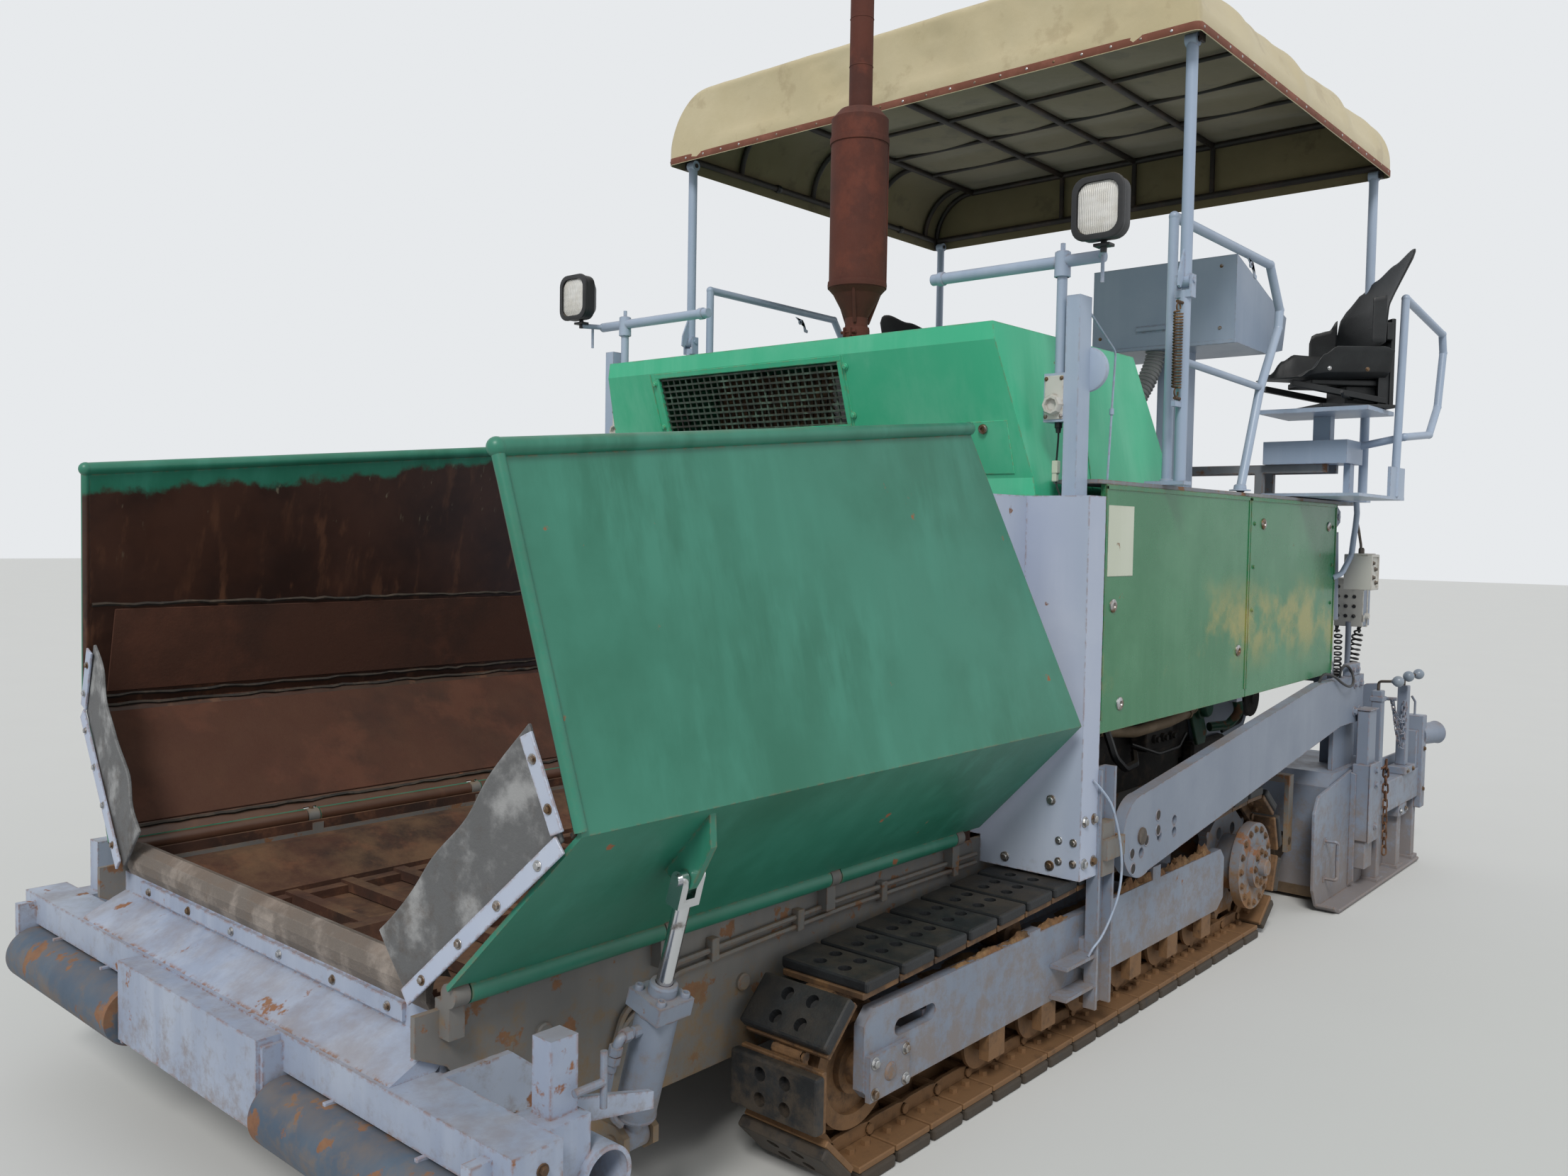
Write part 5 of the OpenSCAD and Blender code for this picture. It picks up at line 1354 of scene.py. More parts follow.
    def soil(self) -> None:
        """Heaps dry soil on the beams and behind the shoes."""
        rng = random.Random(5)
        parts = []
        for x0, x1, y0, y1, z, high in (
            (-0.56, 0.30, 1.139, 1.170, 0.462, 0.045), (0.62, 1.35, 1.139, 1.170, 0.462, 0.022),
            (-0.56, 1.45, 0.910, 0.940, 0.462, 0.03), (0.0, 1.4, 0.95, 1.13, 0.369, 0.03)
        ):
            Workshop.clear()
            bpy.ops.mesh.primitive_grid_add(x_subdivisions=44, y_subdivisions=6, size=1)
            heap = bpy.context.object
            phase = rng.uniform(0, 9)
            for v in heap.data.vertices:
                u, t = v.co.x + 0.5, v.co.y + 0.5
                edge = min(1, 12 * min(u, 1 - u)) * min(1, 4 * min(t, 1 - t))
                swell = 0.3 * math.sin(23 * u + phase) + 0.25 * math.sin(51 * u + 7 * t + 2 * phase)
                lump = 0.45 + swell + rng.uniform(-0.25, 0.25)
                v.co = (x0 + (x1 - x0) * u, y0 + (y1 - y0) * t, z - 0.002 + max(0.0, high * edge * lump))
            parts.append(Workshop.settle(heap, "heap"))
        heap = Workshop.join("soil_left", parts)
        heap = Workshop.modify(heap, "SOLIDIFY", thickness=0.004, offset=-1)
        other = Workshop.mirrored("soil_right", heap)
        for obj in (heap, other):
            Workshop.smooth(obj, 60)
            Workshop.hand_in(obj, "tractor", "dusty_iron", Palette.soil)

    def build(self) -> None:
        """Lays both tracks and dresses their sides."""
        frames = [self.at(i * self.pitch) for i in range(self.count)]
        for kind, model, finish, slot in (
            ("pads", self.pad(), Palette.pads, "track_rubber"), ("chain", self.iron(), Palette.iron, "dusty_iron")
        ):
            for side, sign in SIDES:
                places = frames if sign > 0 else [FLIP @ f for f in frames]
                obj = Workshop.copies(f"track_{kind}_{side}", model, places, keep=True)
                Workshop.hand_in(obj, "tractor", slot, finish)
                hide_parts("track_" + side)
            bpy.data.objects.remove(model)
        self.hubs()
        self.soil()


@dataclass
class Hopper:
    """Liner plates, seams, rubber flaps and clamp bars of the hopper wings."""

    hinge: Flat = (0.882, 0.728)
    chine: Flat = (1.250, 1.125)
    lean: float = 14.3
    wall: float = 0.012

    def low(self, t: float, o: float) -> Flat:
        """A point on the lower plate, t up from the hinge and o inwards."""
        d = Vector((self.chine[0] - self.hinge[0], self.chine[1] - self.hinge[1])).normalized()
        return self.hinge[0] + d.x * t - d.y * o, self.hinge[1] + d.y * t + d.x * o

    def high(self, t: float, o: float) -> Flat:
        """A point on the upper plate, t up from the fold and o inwards."""
        d = Vector((-math.tan(math.radians(self.lean)), 1)).normalized()
        return self.chine[0] + d.x * t - d.y * o, self.chine[1] + d.y * t + d.x * o

    def liner(self) -> bpy.types.Object:
        """Welds the worn overlay plates on the inside."""
        o, parts = self.wall - 0.0005, Kit()
        for plate, x0, x1, t0, t1, deep in (
            (self.low, 0.87, 2.80, 0.07, 0.50, 0.006), (self.high, 0.93, 2.77, 0.05, 0.335, 0.005)
        ):
            parts.plate(
                "liner", [plate(t0, o), plate(t1, o), plate(t1, o + deep), plate(t0, o + deep)], x0, x1, Across.X,
                0.002
            )
        return Workshop.join("liner", parts)

    def seams(self) -> bpy.types.Object:
        """Draws the thick, uneven weld seams along the inside."""
        parts, rng = Kit(), random.Random(11)
        for x0, x1, t, plate in (
            (0.84, 2.83, 0.525, self.low), (0.84, 2.81, 0.055, self.low), (0.90, 2.82, 0.035, self.high),
            (1.0, 2.84, 0.350, self.high)
        ):
            y, z = plate(t, self.wall + 0.002)
            route = []
            for i in range(45):
                x = x0 + (x1 - x0) * i / 44
                route.append((x, y + rng.uniform(-0.003, 0.003), z + rng.uniform(-0.004, 0.004)))
            parts.pipe("seam", route, 0.0065, 6)
        return Workshop.join("seams", parts)

    def skirt(self) -> bpy.types.Object:
        """Hangs the rubber flap across the gap at the wing's front."""
        a, b, c, d = (
            (2.8995, 0.757, 0.702), (2.8990, 0.646, 0.825), (2.8360, 1.207, 1.112), (2.8500, 1.108, 1.338)
        )
        Workshop.clear()
        bpy.ops.mesh.primitive_grid_add(x_subdivisions=30, y_subdivisions=18, size=1)
        obj = bpy.context.object
        for v in obj.data.vertices:
            s, t = v.co.x + 0.5, v.co.y + 0.5
            p = (Vector(a).lerp(Vector(c), s)).lerp(Vector(b).lerp(Vector(d), s), t)
            wave = 0.006 * math.sin(9 * s + 2.0 * t) * t + 0.004 * math.sin(21 * s + 5) * t * t
            sag = 0.012 * math.sin(math.pi * s) * t
            p.y += 0.010 * math.sin(13 * s) * t
            v.co = (p.x - 0.002 + wave * 0.6, p.y, p.z - sag)
        obj = Workshop.modify(Workshop.settle(obj, "skirt"), "SOLIDIFY", thickness=0.010, offset=0)
        return Workshop.smooth(Workshop.round_edges(obj, 0.0025, 1))

    def clamps(self) -> tuple[bpy.types.Object, list[tuple[Place, Place]]]:
        """Makes the bars that hold the flap, and the screw places on them."""
        ends = (((2.9085, 0.768, 0.705), (2.8445, 1.212, 1.108)), ((2.8440, 1.203, 1.128), (2.8570, 1.118, 1.318)))
        parts, screws = [], []
        for (start, end), count in zip(ends, (4, 2)):
            a, b = Vector(start), Vector(end)
            along = (b - a).normalized()
            face = Vector((1, 0, 0)) - along * along.x
            face.normalize()
            side = along.cross(face)
            corners = [a + side * q * 0.020 + face * h for q, h in ((-1, 0), (1, 0), (1, 0.007), (-1, 0.007))]
            bar = Workshop.plate("clamp", [(0, 0), (0, 1), (1, 1), (1, 0)], 0, 1, Across.Z, 0)
            for v in bar.data.vertices:
                k = {(0, 0): 0, (1, 0): 1, (1, 1): 2, (0, 1): 3}[(round(v.co.x), round(v.co.y))]
                v.co = corners[k] + (b - a) * v.co.z
            Workshop.pick(bar)
            with Workshop.editing():
                bpy.ops.mesh.normals_make_consistent(inside=False)
            parts.append(Workshop.round_edges(bar, 0.0015, 1))
            screws += [(tuple(a.lerp(b, (i + 0.5) / count) + face * 0.007), tuple(face)) for i in range(count)]
        return Workshop.join("clamps", parts), screws

    def build(self) -> None:
        """Fits out both wings."""
        liner, skirt, seams = self.liner(), self.skirt(), self.seams()
        clamps, screws = self.clamps()
        for side, sign in SIDES:
            body = "wing_" + side
            for model, kind, coat, slot in (
                (liner, "wing_liner_", Palette.liner, "rust"), (seams, "wing_seams_", Palette.dark, "rust"),
                (skirt, "wing_skirt_", Palette.flap, "rubber_sheet"),
                (clamps, "clamp_bars_", Palette.pale, "pale_paint")
            ):
                obj = model if sign > 0 else Workshop.mirrored(kind + side, model)
                obj.name = kind + side
                Workshop.hand_in(obj, body, slot, coat)
                if kind == "wing_skirt_":
                    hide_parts("wing_flap_" + side)
            flip = (1, sign, 1)
            Bolts.put(
                "clamp_bolts_" + side, 0.008, [tuple(c * f for c, f in zip(p, flip)) for p, _ in screws],
                [tuple(c * f for c, f in zip(o, flip)) for _, o in screws], Palette.zinc, body, "pale_paint",
                mirror=False
            )
            pins = [(x + 0.02, sign * self.hinge[0], self.hinge[1] + 0.027) for x in (0.90, 1.56, 2.22, 2.84)]
            skirting = Workshop.block(
                "hinge_strip_" + side, (0.770, min(sign * 0.836, sign * 0.845), 0.676),
                (2.824, max(sign * 0.836, sign * 0.845), 0.722), 0.002
            )
            Workshop.hand_in(skirting, "tractor", "rust", Palette.rust_hopper)
            Bolts.put(
                "hinge_nipples_" + side, 0.006, pins, (0, 0, 1), Palette.iron, "tractor", "dusty_grey", mirror=False
            )


@dataclass
class FrontEnd:
    """Screws, plates and roller ends on the apron and the push beam."""

    def build(self) -> None:
        """Fits out the apron and the push beam."""
        strip = [(2.876, y / 100, 0.643) for y in (-64, -38, -12, 14, 40, 64)]
        Bolts.put("apron_bolts", 0.0085, strip, (1, 0, 0), Palette.zinc, "tractor", "pale_paint", mirror=False)
        plates = Kit()
        for y in (0.62, 0.98):
            for s in (1, -1):
                plates.block("stay", (2.962, s * y - 0.006, 0.44), (3.02, s * y + 0.006, 0.461), 0.002)
        plates.hand_in("roller_stays", "tractor", "pale_paint", Palette.battered)
        ends = [(3.010, 1.209, 0.374)]
        Bolts.put("roller_bolts", 0.016, ends, (0, 1, 0), Palette.iron, "tractor", "pale_paint")
        beam = [(2.93, 1.2705, 0.505), (2.9, 1.2705, 0.48), (2.965, 1.2705, 0.53)]
        Bolts.put("beam_bolts", 0.010, beam[:1], (0, 1, 0), Palette.iron, "tractor", "pale_paint")
        for side, sign in SIDES:
            rings = Kit()
            for y in (0.4115, 1.1685):
                rings.turned(
                    "end", [(0.024, 0.0), (0.068, 0.0), (0.076, -0.002), (0.0795, -0.012), (0.0795, -0.02)],
                    (3.010, sign * y, 0.374), (0, sign if y > 1 else -sign, 0), 28
                )
            rings.hand_in("roller_ends_" + side, "roller_" + side, "roller_rust", Palette.roller)


@dataclass
class WingRam:
    """Gland screws, wiper, ports and welds of a wing cylinder."""

    x: float = 2.440
    foot: Flat = (0.975, 0.300)
    eye: Flat = (1.160, 0.952)
    barrel: float = 0.383

    def frame(self, sign: int) -> Matrix:
        """Gives the cylinder's own frame, its length along Z."""
        lean = math.atan2(self.eye[0] - self.foot[0], self.eye[1] - self.foot[1])
        made = Matrix.Translation((self.x, self.foot[0], self.foot[1])) @ Matrix.Rotation(-lean, 4, "X")
        return made if sign > 0 else FLIP @ made

    def build(self) -> None:
        """Fits out both cylinders."""
        for side, sign in SIDES:
            m = self.frame(sign)
            parts = Kit()
            for x in (-0.038, 0.038):
                for y in (-0.038, 0.038):
                    parts.turned(
                        "cap",
                        [
                            (0.0, 0.006), (0.005, 0.006), (0.006, 0.012), (0.0095, 0.012), (0.011, 0.010),
                            (0.011, -0.001)
                        ],
                        (x, y, self.barrel), steps=12
                    )
            parts.turned(
                "wiper", [(0.0215, 0.0), (0.0215, 0.006), (0.032, 0.006), (0.034, 0.0)],
                (0, 0, self.barrel + 0.0218), steps=20
            )
            for z in (0.10, 0.30):
                parts.turned(
                    "port", [(0.0, 0.03), (0.009, 0.03), (0.009, 0.02), (0.014, 0.018), (0.014, -0.01)],
                    (0.048, 0, z), (1, 0, 0), 8
                )
            for z in (0.066, 0.335):
                parts.turned("weld", [(0.0495, -0.005), (0.053, 0.0), (0.0495, 0.005)], (0, 0, z), steps=24)
            obj = Workshop.join("ram_fittings_" + side, parts)
            obj.data.transform(m)
            if sign < 0:
                obj.data.flip_normals()
            Workshop.hand_in(obj, "wing_barrel_" + side, "grey_paint", Palette.grey)


@dataclass
class Bodywork:
    """Seams, locks, doors and screws on the hood, bulkhead and panels."""

    def front(self, y: float, z: float, out: float = 0.0) -> Place:
        """A point on the hood's slanted front face, proud of it by out."""
        slope = (0.860 - 0.714) / (2.373 - 1.9263)
        return 0.714 + (z - 1.9263) * slope + out, y, z

    def slab(
        self, name: str, y0: float, y1: float, z0: float, z1: float, thick: float, edge: float = 0.0015
    ) -> bpy.types.Object:
        """A thin plate lying on the hood's front face."""
        a, b = self.front(0, z0), self.front(0, z1)
        return Workshop.plate(
            name, [(a[0] - 0.0005, z0), (b[0] - 0.0005, z1), (b[0] + thick, z1), (a[0] + thick, z0)], y0, y1,
            Across.Y, edge
        )

    def hood(self) -> None:
        """Adds the hood's door, seams, grille border and screws."""
        parts = Kit([self.slab("door", 0.335, 0.955, 1.94, 2.115, 0.0035)])
        for y in (-0.695, 0.312):
            parts.append(self.slab("seam", y, y + 0.006, 1.93, 2.37, 0.003))
        border = 0.020
        for y0, y1, z0, z1 in (
            (-0.647 - border, 0.286 + border, 2.350, 2.350 + border),
            (-0.647 - border, 0.286 + border, 2.130 - border, 2.130), (-0.647 - border, -0.647, 2.130, 2.350),
            (0.286, 0.286 + border, 2.130, 2.350)
        ):
            parts.append(self.slab("border", y0, y1, z0, z1, 0.003))
        for s in (1, -1):
            parts.plate(
                "side_seam", [(0.30, 1.90), (0.306, 1.90), (0.306, 2.42), (0.30, 2.42)], 0, 0.003, Across.Y, 0
            )
            for v in parts[-1].data.vertices:
                v.co.y = s * (1.031 - (v.co.z - 1.8663) * 0.1588 + v.co.y)
        parts.hand_in("hood_panels", "tractor", "green_paint", Palette.green)
        screws = [self.front(y, z, 0.003) for y in (-0.672, 0.322) for z in (2.16, 2.33)]
        Bolts.put(
            "hood_screws", 0.009, screws, (0.95, 0, -0.31), Palette.green, "tractor", "green_paint", mirror=False
        )
        locks = Kit(
            [
                Workshop.turned(
                    "lock",
                    [(0.0, 0.004), (0.006, 0.004), (0.008, 0.010), (0.015, 0.010), (0.017, 0.007), (0.017, -0.002)],
                    self.front(0.86, 2.09, 0.003), (0.95, 0, -0.31), 16
                )
            ]
        )
        locks.hand_in("hood_locks", "tractor", "grey_paint", Palette.zinc)

    def radiator(self) -> None:
        """Sets the dark core, its fins and a ribbed hose behind the grille."""
        core = Workshop.block("core", (0.46, -0.62, 1.90), (0.52, 0.10, 2.38), 0.004)
        parts = Kit([core])
        for i in range(20):
            parts.block("fin", (0.519, -0.60 + i * 0.036, 1.94), (0.526, -0.596 + i * 0.036, 2.35), 0)
        parts.hand_in("radiator_core", "tractor", "dark_grille", Palette.iron)
        profile = [(0.040 if i % 2 else 0.048, i * 0.012) for i in range(26)]
        hose = Workshop.turned("intake_hose", [(0, 0), *profile, (0, 0.30)], (0.66, 0.20, 2.02), (0.12, 0, 1), 20)
        Workshop.hand_in(hose, "tractor", "dark_grille", Palette.boot)

    def panels(self) -> None:
        """Adds locks, screws and the bare plate on the side panels."""
        plate = Kit()
        for s in (1, -1):
            a, b = sorted((s * 1.1995, s * 1.2022))
            plate.block("plate", (0.33, a, 1.60), (0.52, b, 1.84), 0.0008, 1)
        plate.hand_in("blank_plates", "tractor", "pale_paint", Palette.label)
        rings = Kit()
        for s in (1, -1):
            for x, z in ((0.47, 1.50), (-0.66, 1.28), (0.40, 1.16), (-0.9, 1.8), (-1.74, 1.8)):
                rings.turned(
                    "lock",
                    [(0.0, 0.002), (0.008, 0.002), (0.010, 0.007), (0.019, 0.007), (0.023, 0.004), (0.024, -0.002)],
                    (x, s * 1.200, z), (0, s, 0), 20
                )
        rings.hand_in("panel_locks", "tractor", "grey_paint", Palette.zinc)
        edges = Kit()
        for s in (1, -1):
            for x0, x1 in ((-0.748, 0.540), (-1.850, -0.756)):
                a, b = sorted((s * 1.1995, s * 1.2035))
                for xx in (x0, x1 - 0.012):
                    edges.block("fold", (xx, a, 1.115), (xx + 0.012, b, 1.905), 0.001, 1)
                edges.block("fold", (x0, a, 1.893), (x1, b, 1.909), 0.001, 1)
        edges.hand_in("panel_folds", "tractor", "green_paint", Palette.worn_green)
        dots = [(x, 1.2, z) for x in (-0.80, -1.80) for z in (1.44, 1.62, 1.80)]
        Bolts.put("panel_screws", 0.007, dots, (0, 1, 0), Palette.worn_green, "tractor", "green_paint")

    def wall(self) -> None:
        """Adds the bulkhead's flanges and screws."""
        places = [
            (0.7145, y, z) for y in (0.78, 0.95, 1.12) for z in (0.64, 0.86)
        ] + [(0.7145, 0.60, z) for z in (0.74, 0.95)]
        Bolts.put("bulkhead_bolts", 0.012, places, (1, 0, 0), Palette.zinc, "tractor", "pale_paint")
        side = [(x, 1.2305, z) for x in (0.625, 0.69) for z in (0.66, 0.80)]
        Bolts.put("column_bolts", 0.013, side, (0, 1, 0), Palette.zinc, "tractor", "pale_paint")
        parts = Kit()
        for s in (1, -1):
            a, b = sorted((s * 0.565, s * 0.60))
            parts.block("mouth_frame", (0.7135, a, 0.70), (0.722, b, 1.045), 0.002)
        parts.block("mouth_frame", (0.7135, -0.60, 1.012), (0.722, 0.60, 1.045), 0.002)
        for i in range(12):
            y = -0.545 + i * 0.0991
            parts.block("strip", (0.700, y - 0.046, 0.74), (0.708, y + 0.046, 1.03), 0.002)
        parts.hand_in("tunnel_curtain", "tractor", "rubber_sheet", Palette.curtain)

    def build(self) -> None:
        """Fits out the bodywork."""
        self.hood()
        self.radiator()
        self.panels()
        self.wall()


@dataclass
class Stack:
    """Bands, struts and flange screws on the exhaust."""

    x: float = 0.540
    y: float = 0.130

    def build(self) -> None:
        """Fits out the exhaust."""
        parts = Kit()
        for z, r in ((2.688, 0.111), (3.235, 0.111)):
            parts.turned(
                "band",
                [(r - 0.002, -0.012), (r + 0.003, -0.012), (r + 0.004, 0), (r + 0.003, 0.012), (r - 0.002, 0.012)],
                (self.x, self.y, z), steps=40
            )
        parts.turned(
            "clamp",
            [(0.043, -0.022), (0.050, -0.022), (0.052, -0.010), (0.052, 0.010), (0.050, 0.022), (0.043, 0.022)],
            (self.x, self.y, 2.505), steps=32
        )
        parts.bar(
            "clamp_screw", (self.x + 0.048, self.y - 0.035, 2.505), (self.x + 0.048, self.y + 0.035, 2.505), 0.006,
            8
        )
        for y in (self.y - 0.018, self.y + 0.012):
            parts.block("clamp_ear", (self.x + 0.036, y, 2.488), (self.x + 0.062, y + 0.006, 2.522), 0.002)
        for i in range(3):
            a = math.radians(30 + 120 * i)
            foot, top = (
                (self.x + r * math.cos(a), self.y + r * math.sin(a), z) for r, z in ((0.047, 2.545), (0.098, 2.672))
            )
            parts.bar("strut", foot, top, 0.007, 8)
        parts.turned(
            "collar", [(0.044, 0.0), (0.060, -0.002), (0.052, 0.018), (0.044, 0.028)], (self.x, self.y, 3.293),
            steps=32
        )
        for z in (3.52, 3.70):
            parts.turned("seam", [(0.0445, -0.003), (0.0468, 0), (0.0445, 0.003)], (self.x, self.y, z), steps=32)
        seam = Workshop.bar(
            "long_seam", (self.x - 0.06, self.y + 0.0935, 2.70), (self.x - 0.06, self.y + 0.0935, 3.22), 0.003, 6
        )
        parts.append(seam)
        parts.hand_in("exhaust_bands", "tractor", "rust", Palette.rust_pipe)
        ring = [
            (self.x + 0.085 * math.cos(a), self.y + 0.085 * math.sin(a), 2.4473) for a in (0.6, 2.17, 3.74, 5.31)
        ]
        Bolts.put("exhaust_bolts", 0.009, ring, (0, 0, 1), Palette.rust_pipe, "tractor", "rust", mirror=False)


@dataclass
class WorkLamps:
    """The square lamps on their tee tubes."""

    low: Place = (0.700, 1.180, 2.660)
    high: Place = (0.800, 1.360, 2.860)

    @staticmethod
    def square(cy: float, cz: float, wide: float, high: float, corner: float, steps: int = 6) -> list[Flat]:
        """Draws a square with round corners in the (y, z) plane."""
        made = []
        for k, (sy, sz) in enumerate(((1, 1), (-1, 1), (-1, -1), (1, -1))):
            for i in range(steps + 1):
                a = math.pi / 2 * (k + i / steps)
                made.append(
                    (
                        cy + sy * (wide / 2 - corner) + corner * math.cos(a),
                        cz + sz * (high / 2 - corner) + corner * math.sin(a)
                    )
                )
        return made

    def build(self) -> None:
        """Makes both lamps with lens, bowl, bracket and tee tube."""
        cy, cz = (self.low[1] + self.high[1]) / 2, (self.low[2] + self.high[2]) / 2
        wide, high = self.high[1] - self.low[1], self.high[2] - self.low[2]
        front = self.high[0]
        body = Workshop.plate(
            "housing", self.square(cy, cz, wide - 0.008, high - 0.008, 0.045), front - 0.060, front - 0.010,
            Across.X, 0.004, 2
        )
        Workshop.pick(body)
        bpy.ops.object.mode_set(mode="EDIT")
        bpy.ops.mesh.select_all(action="DESELECT")
        bpy.ops.object.mode_set(mode="OBJECT")
        for face in body.data.polygons:
            face.select = face.normal.x < -0.99
        bpy.ops.object.mode_set(mode="EDIT")
        bpy.ops.mesh.select_mode(type="FACE")
        bpy.ops.mesh.extrude_region_move(TRANSFORM_OT_translate={"value": (-0.030, 0, 0)})
        bpy.ops.transform.resize(value=(1, 0.72, 0.72), center_override=(front - 0.09, cy, cz))
        bpy.ops.object.mode_set(mode="OBJECT")
        Workshop.smooth(body)
        hollow = Workshop.plate(
            "hollow", self.square(cy, cz, wide - 0.040, high - 0.040, 0.035), front - 0.052, front + 0.01, Across.X,
            0
        )
        body = Workshop.cut(body, [hollow])
        bezel = Workshop.plate(
            "bezel", self.square(cy, cz, wide, high, 0.048), front - 0.018, front - 0.001, Across.X, 0.005, 2
        )
        window = Workshop.plate(
            "window", self.square(cy, cz, wide - 0.038, high - 0.038, 0.040), front - 0.03, front + 0.01, Across.X,
            0
        )
        bezel = Workshop.smooth(Workshop.cut(bezel, [window]))
        shell = Workshop.join("shell", [body, bezel])
        ear = [
            Workshop.bar(
                "stalk", (0.745, cy, cz - high / 2 + 0.004), (0.745, cy, cz - high / 2 - 0.030), 0.010, 12
            ),
            Workshop.block(
                "yoke", (0.725, cy - 0.028, cz - high / 2 - 0.014), (0.765, cy + 0.028, cz - high / 2 - 0.004),
                0.002
            )
        ]
        shell = Workshop.join("lamp_shell", [shell, *ear])
        glass = Workshop.plate(
            "lamp_glass", self.square(cy, cz, wide - 0.040, high - 0.040, 0.040), front - 0.016, front - 0.010,
            Across.X, 0
        )
        Workshop.pick(glass)
        bpy.ops.object.mode_set(mode="EDIT")
        bpy.ops.mesh.select_mode(type="FACE")
        bpy.ops.mesh.select_all(action="DESELECT")
        bpy.ops.object.mode_set(mode="OBJECT")
        for face in glass.data.polygons:
            face.select = face.normal.x > 0.99
        bpy.ops.object.mode_set(mode="EDIT")
        for step, rise in ((0.82, 0.0045), (0.75, 0.003), (0.6, 0.0015)):
            bpy.ops.mesh.extrude_region_move(TRANSFORM_OT_translate={"value": (rise, 0, 0)})
            bpy.ops.transform.resize(value=(1, step, step), center_override=(front, cy, cz))
        bpy.ops.object.mode_set(mode="OBJECT")
        Workshop.smooth(glass, 60)
        bowl = Workshop.turned(
            "lamp_bowl",
            [
                (0.0, 0.0), (0.03, 0.003), (0.055, 0.012), (0.070, 0.028), (0.068, 0.029), (0.052, 0.014),
                (0.0, 0.004)
            ],
            (front - 0.048, cy, cz), (1, 0, 0), 28
        )
        bulb = Workshop.turned(
            "lamp_bulb", [(0.0, 0.026), (0.005, 0.024), (0.007, 0.014), (0.006, 0.0)], (front - 0.045, cy, cz),
            (1, 0, 0), 12
        )
        bowl = Workshop.join("lamp_bowl", [bowl, bulb])
        tee = [
            Workshop.bar("tee", (0.655, 0.560, 2.640), (0.655, 1.230, 2.640), 0.020, 24, 0.003),
            Workshop.turned(
                "socket", [(0.0, 0.034), (0.020, 0.034), (0.026, 0.030), (0.027, -0.05), (0.022, -0.052)],
                (0.655, 1.078, 2.640), steps=24
            ),
            Workshop.bar("tee_arm", (0.655, 1.215, 2.640), (0.742, 1.268, 2.640), 0.011, 14),
            Workshop.bar("set_screw", (0.655, 1.078, 2.66), (0.655, 1.078, 2.700), 0.008, 12),
            Workshop.turned(
                "ring", [(0.0205, -0.012), (0.0245, -0.010), (0.0245, 0.010), (0.0205, 0.012)],
                (0.655, 0.60, 2.640), (0, 1, 0), 24
            ),
            Workshop.bar("handle", (0.70, 1.245, 2.64), (0.70, 1.245, 2.545), 0.006, 10),
        ]
        tee = Workshop.join("lamp_tee", tee)
        for model, finish, slot in (
            (shell, Palette.plastic, "black_plastic"), (glass, Palette.lens, "black_plastic"),
            (bowl, Palette.bowl, "chrome"), (tee, Palette.rail, "grey_paint")
        ):
            name = model.name
            both = Workshop.hand_in(Workshop.paired(name + "s", model), "tractor", slot, finish)
            if name == "lamp_tee":
                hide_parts("lamps")
        self.sockets()

    def sockets(self) -> None:
        """Makes the sockets and glands on the corner posts' switch boxes."""
        parts, black = Kit(), Kit()
        for s in (1, -1):
            parts.turned(
                "socket",
                [(0.0, 0.012), (0.020, 0.012), (0.022, 0.026), (0.030, 0.026), (0.034, 0.020), (0.036, 0.0)],
                (0.6895, s * 1.078, 2.165), (1, 0, 0), 8
            )
            parts.block("lid", (0.689, s * 1.078 - 0.034, 2.118), (0.6935, s * 1.078 + 0.034, 2.262), 0.002)
            black.turned(
                "gland", [(0.0, -0.035), (0.008, -0.035), (0.010, -0.02), (0.013, -0.018), (0.013, 0.0)],
                (0.655, s * 1.078, 2.111), steps=10
            )
        parts.hand_in("switch_sockets", "tractor", "grey_paint", Palette.box_grey)
        black.hand_in("cable_glands", "tractor", "black_plastic", Palette.plastic)
        dots = [(0.6935, y, z) for y in (1.050, 1.106) for z in (2.128, 2.252)]
        Bolts.put("box_screws", 0.005, dots, (1, 0, 0), Palette.zinc, "tractor", "grey_paint")


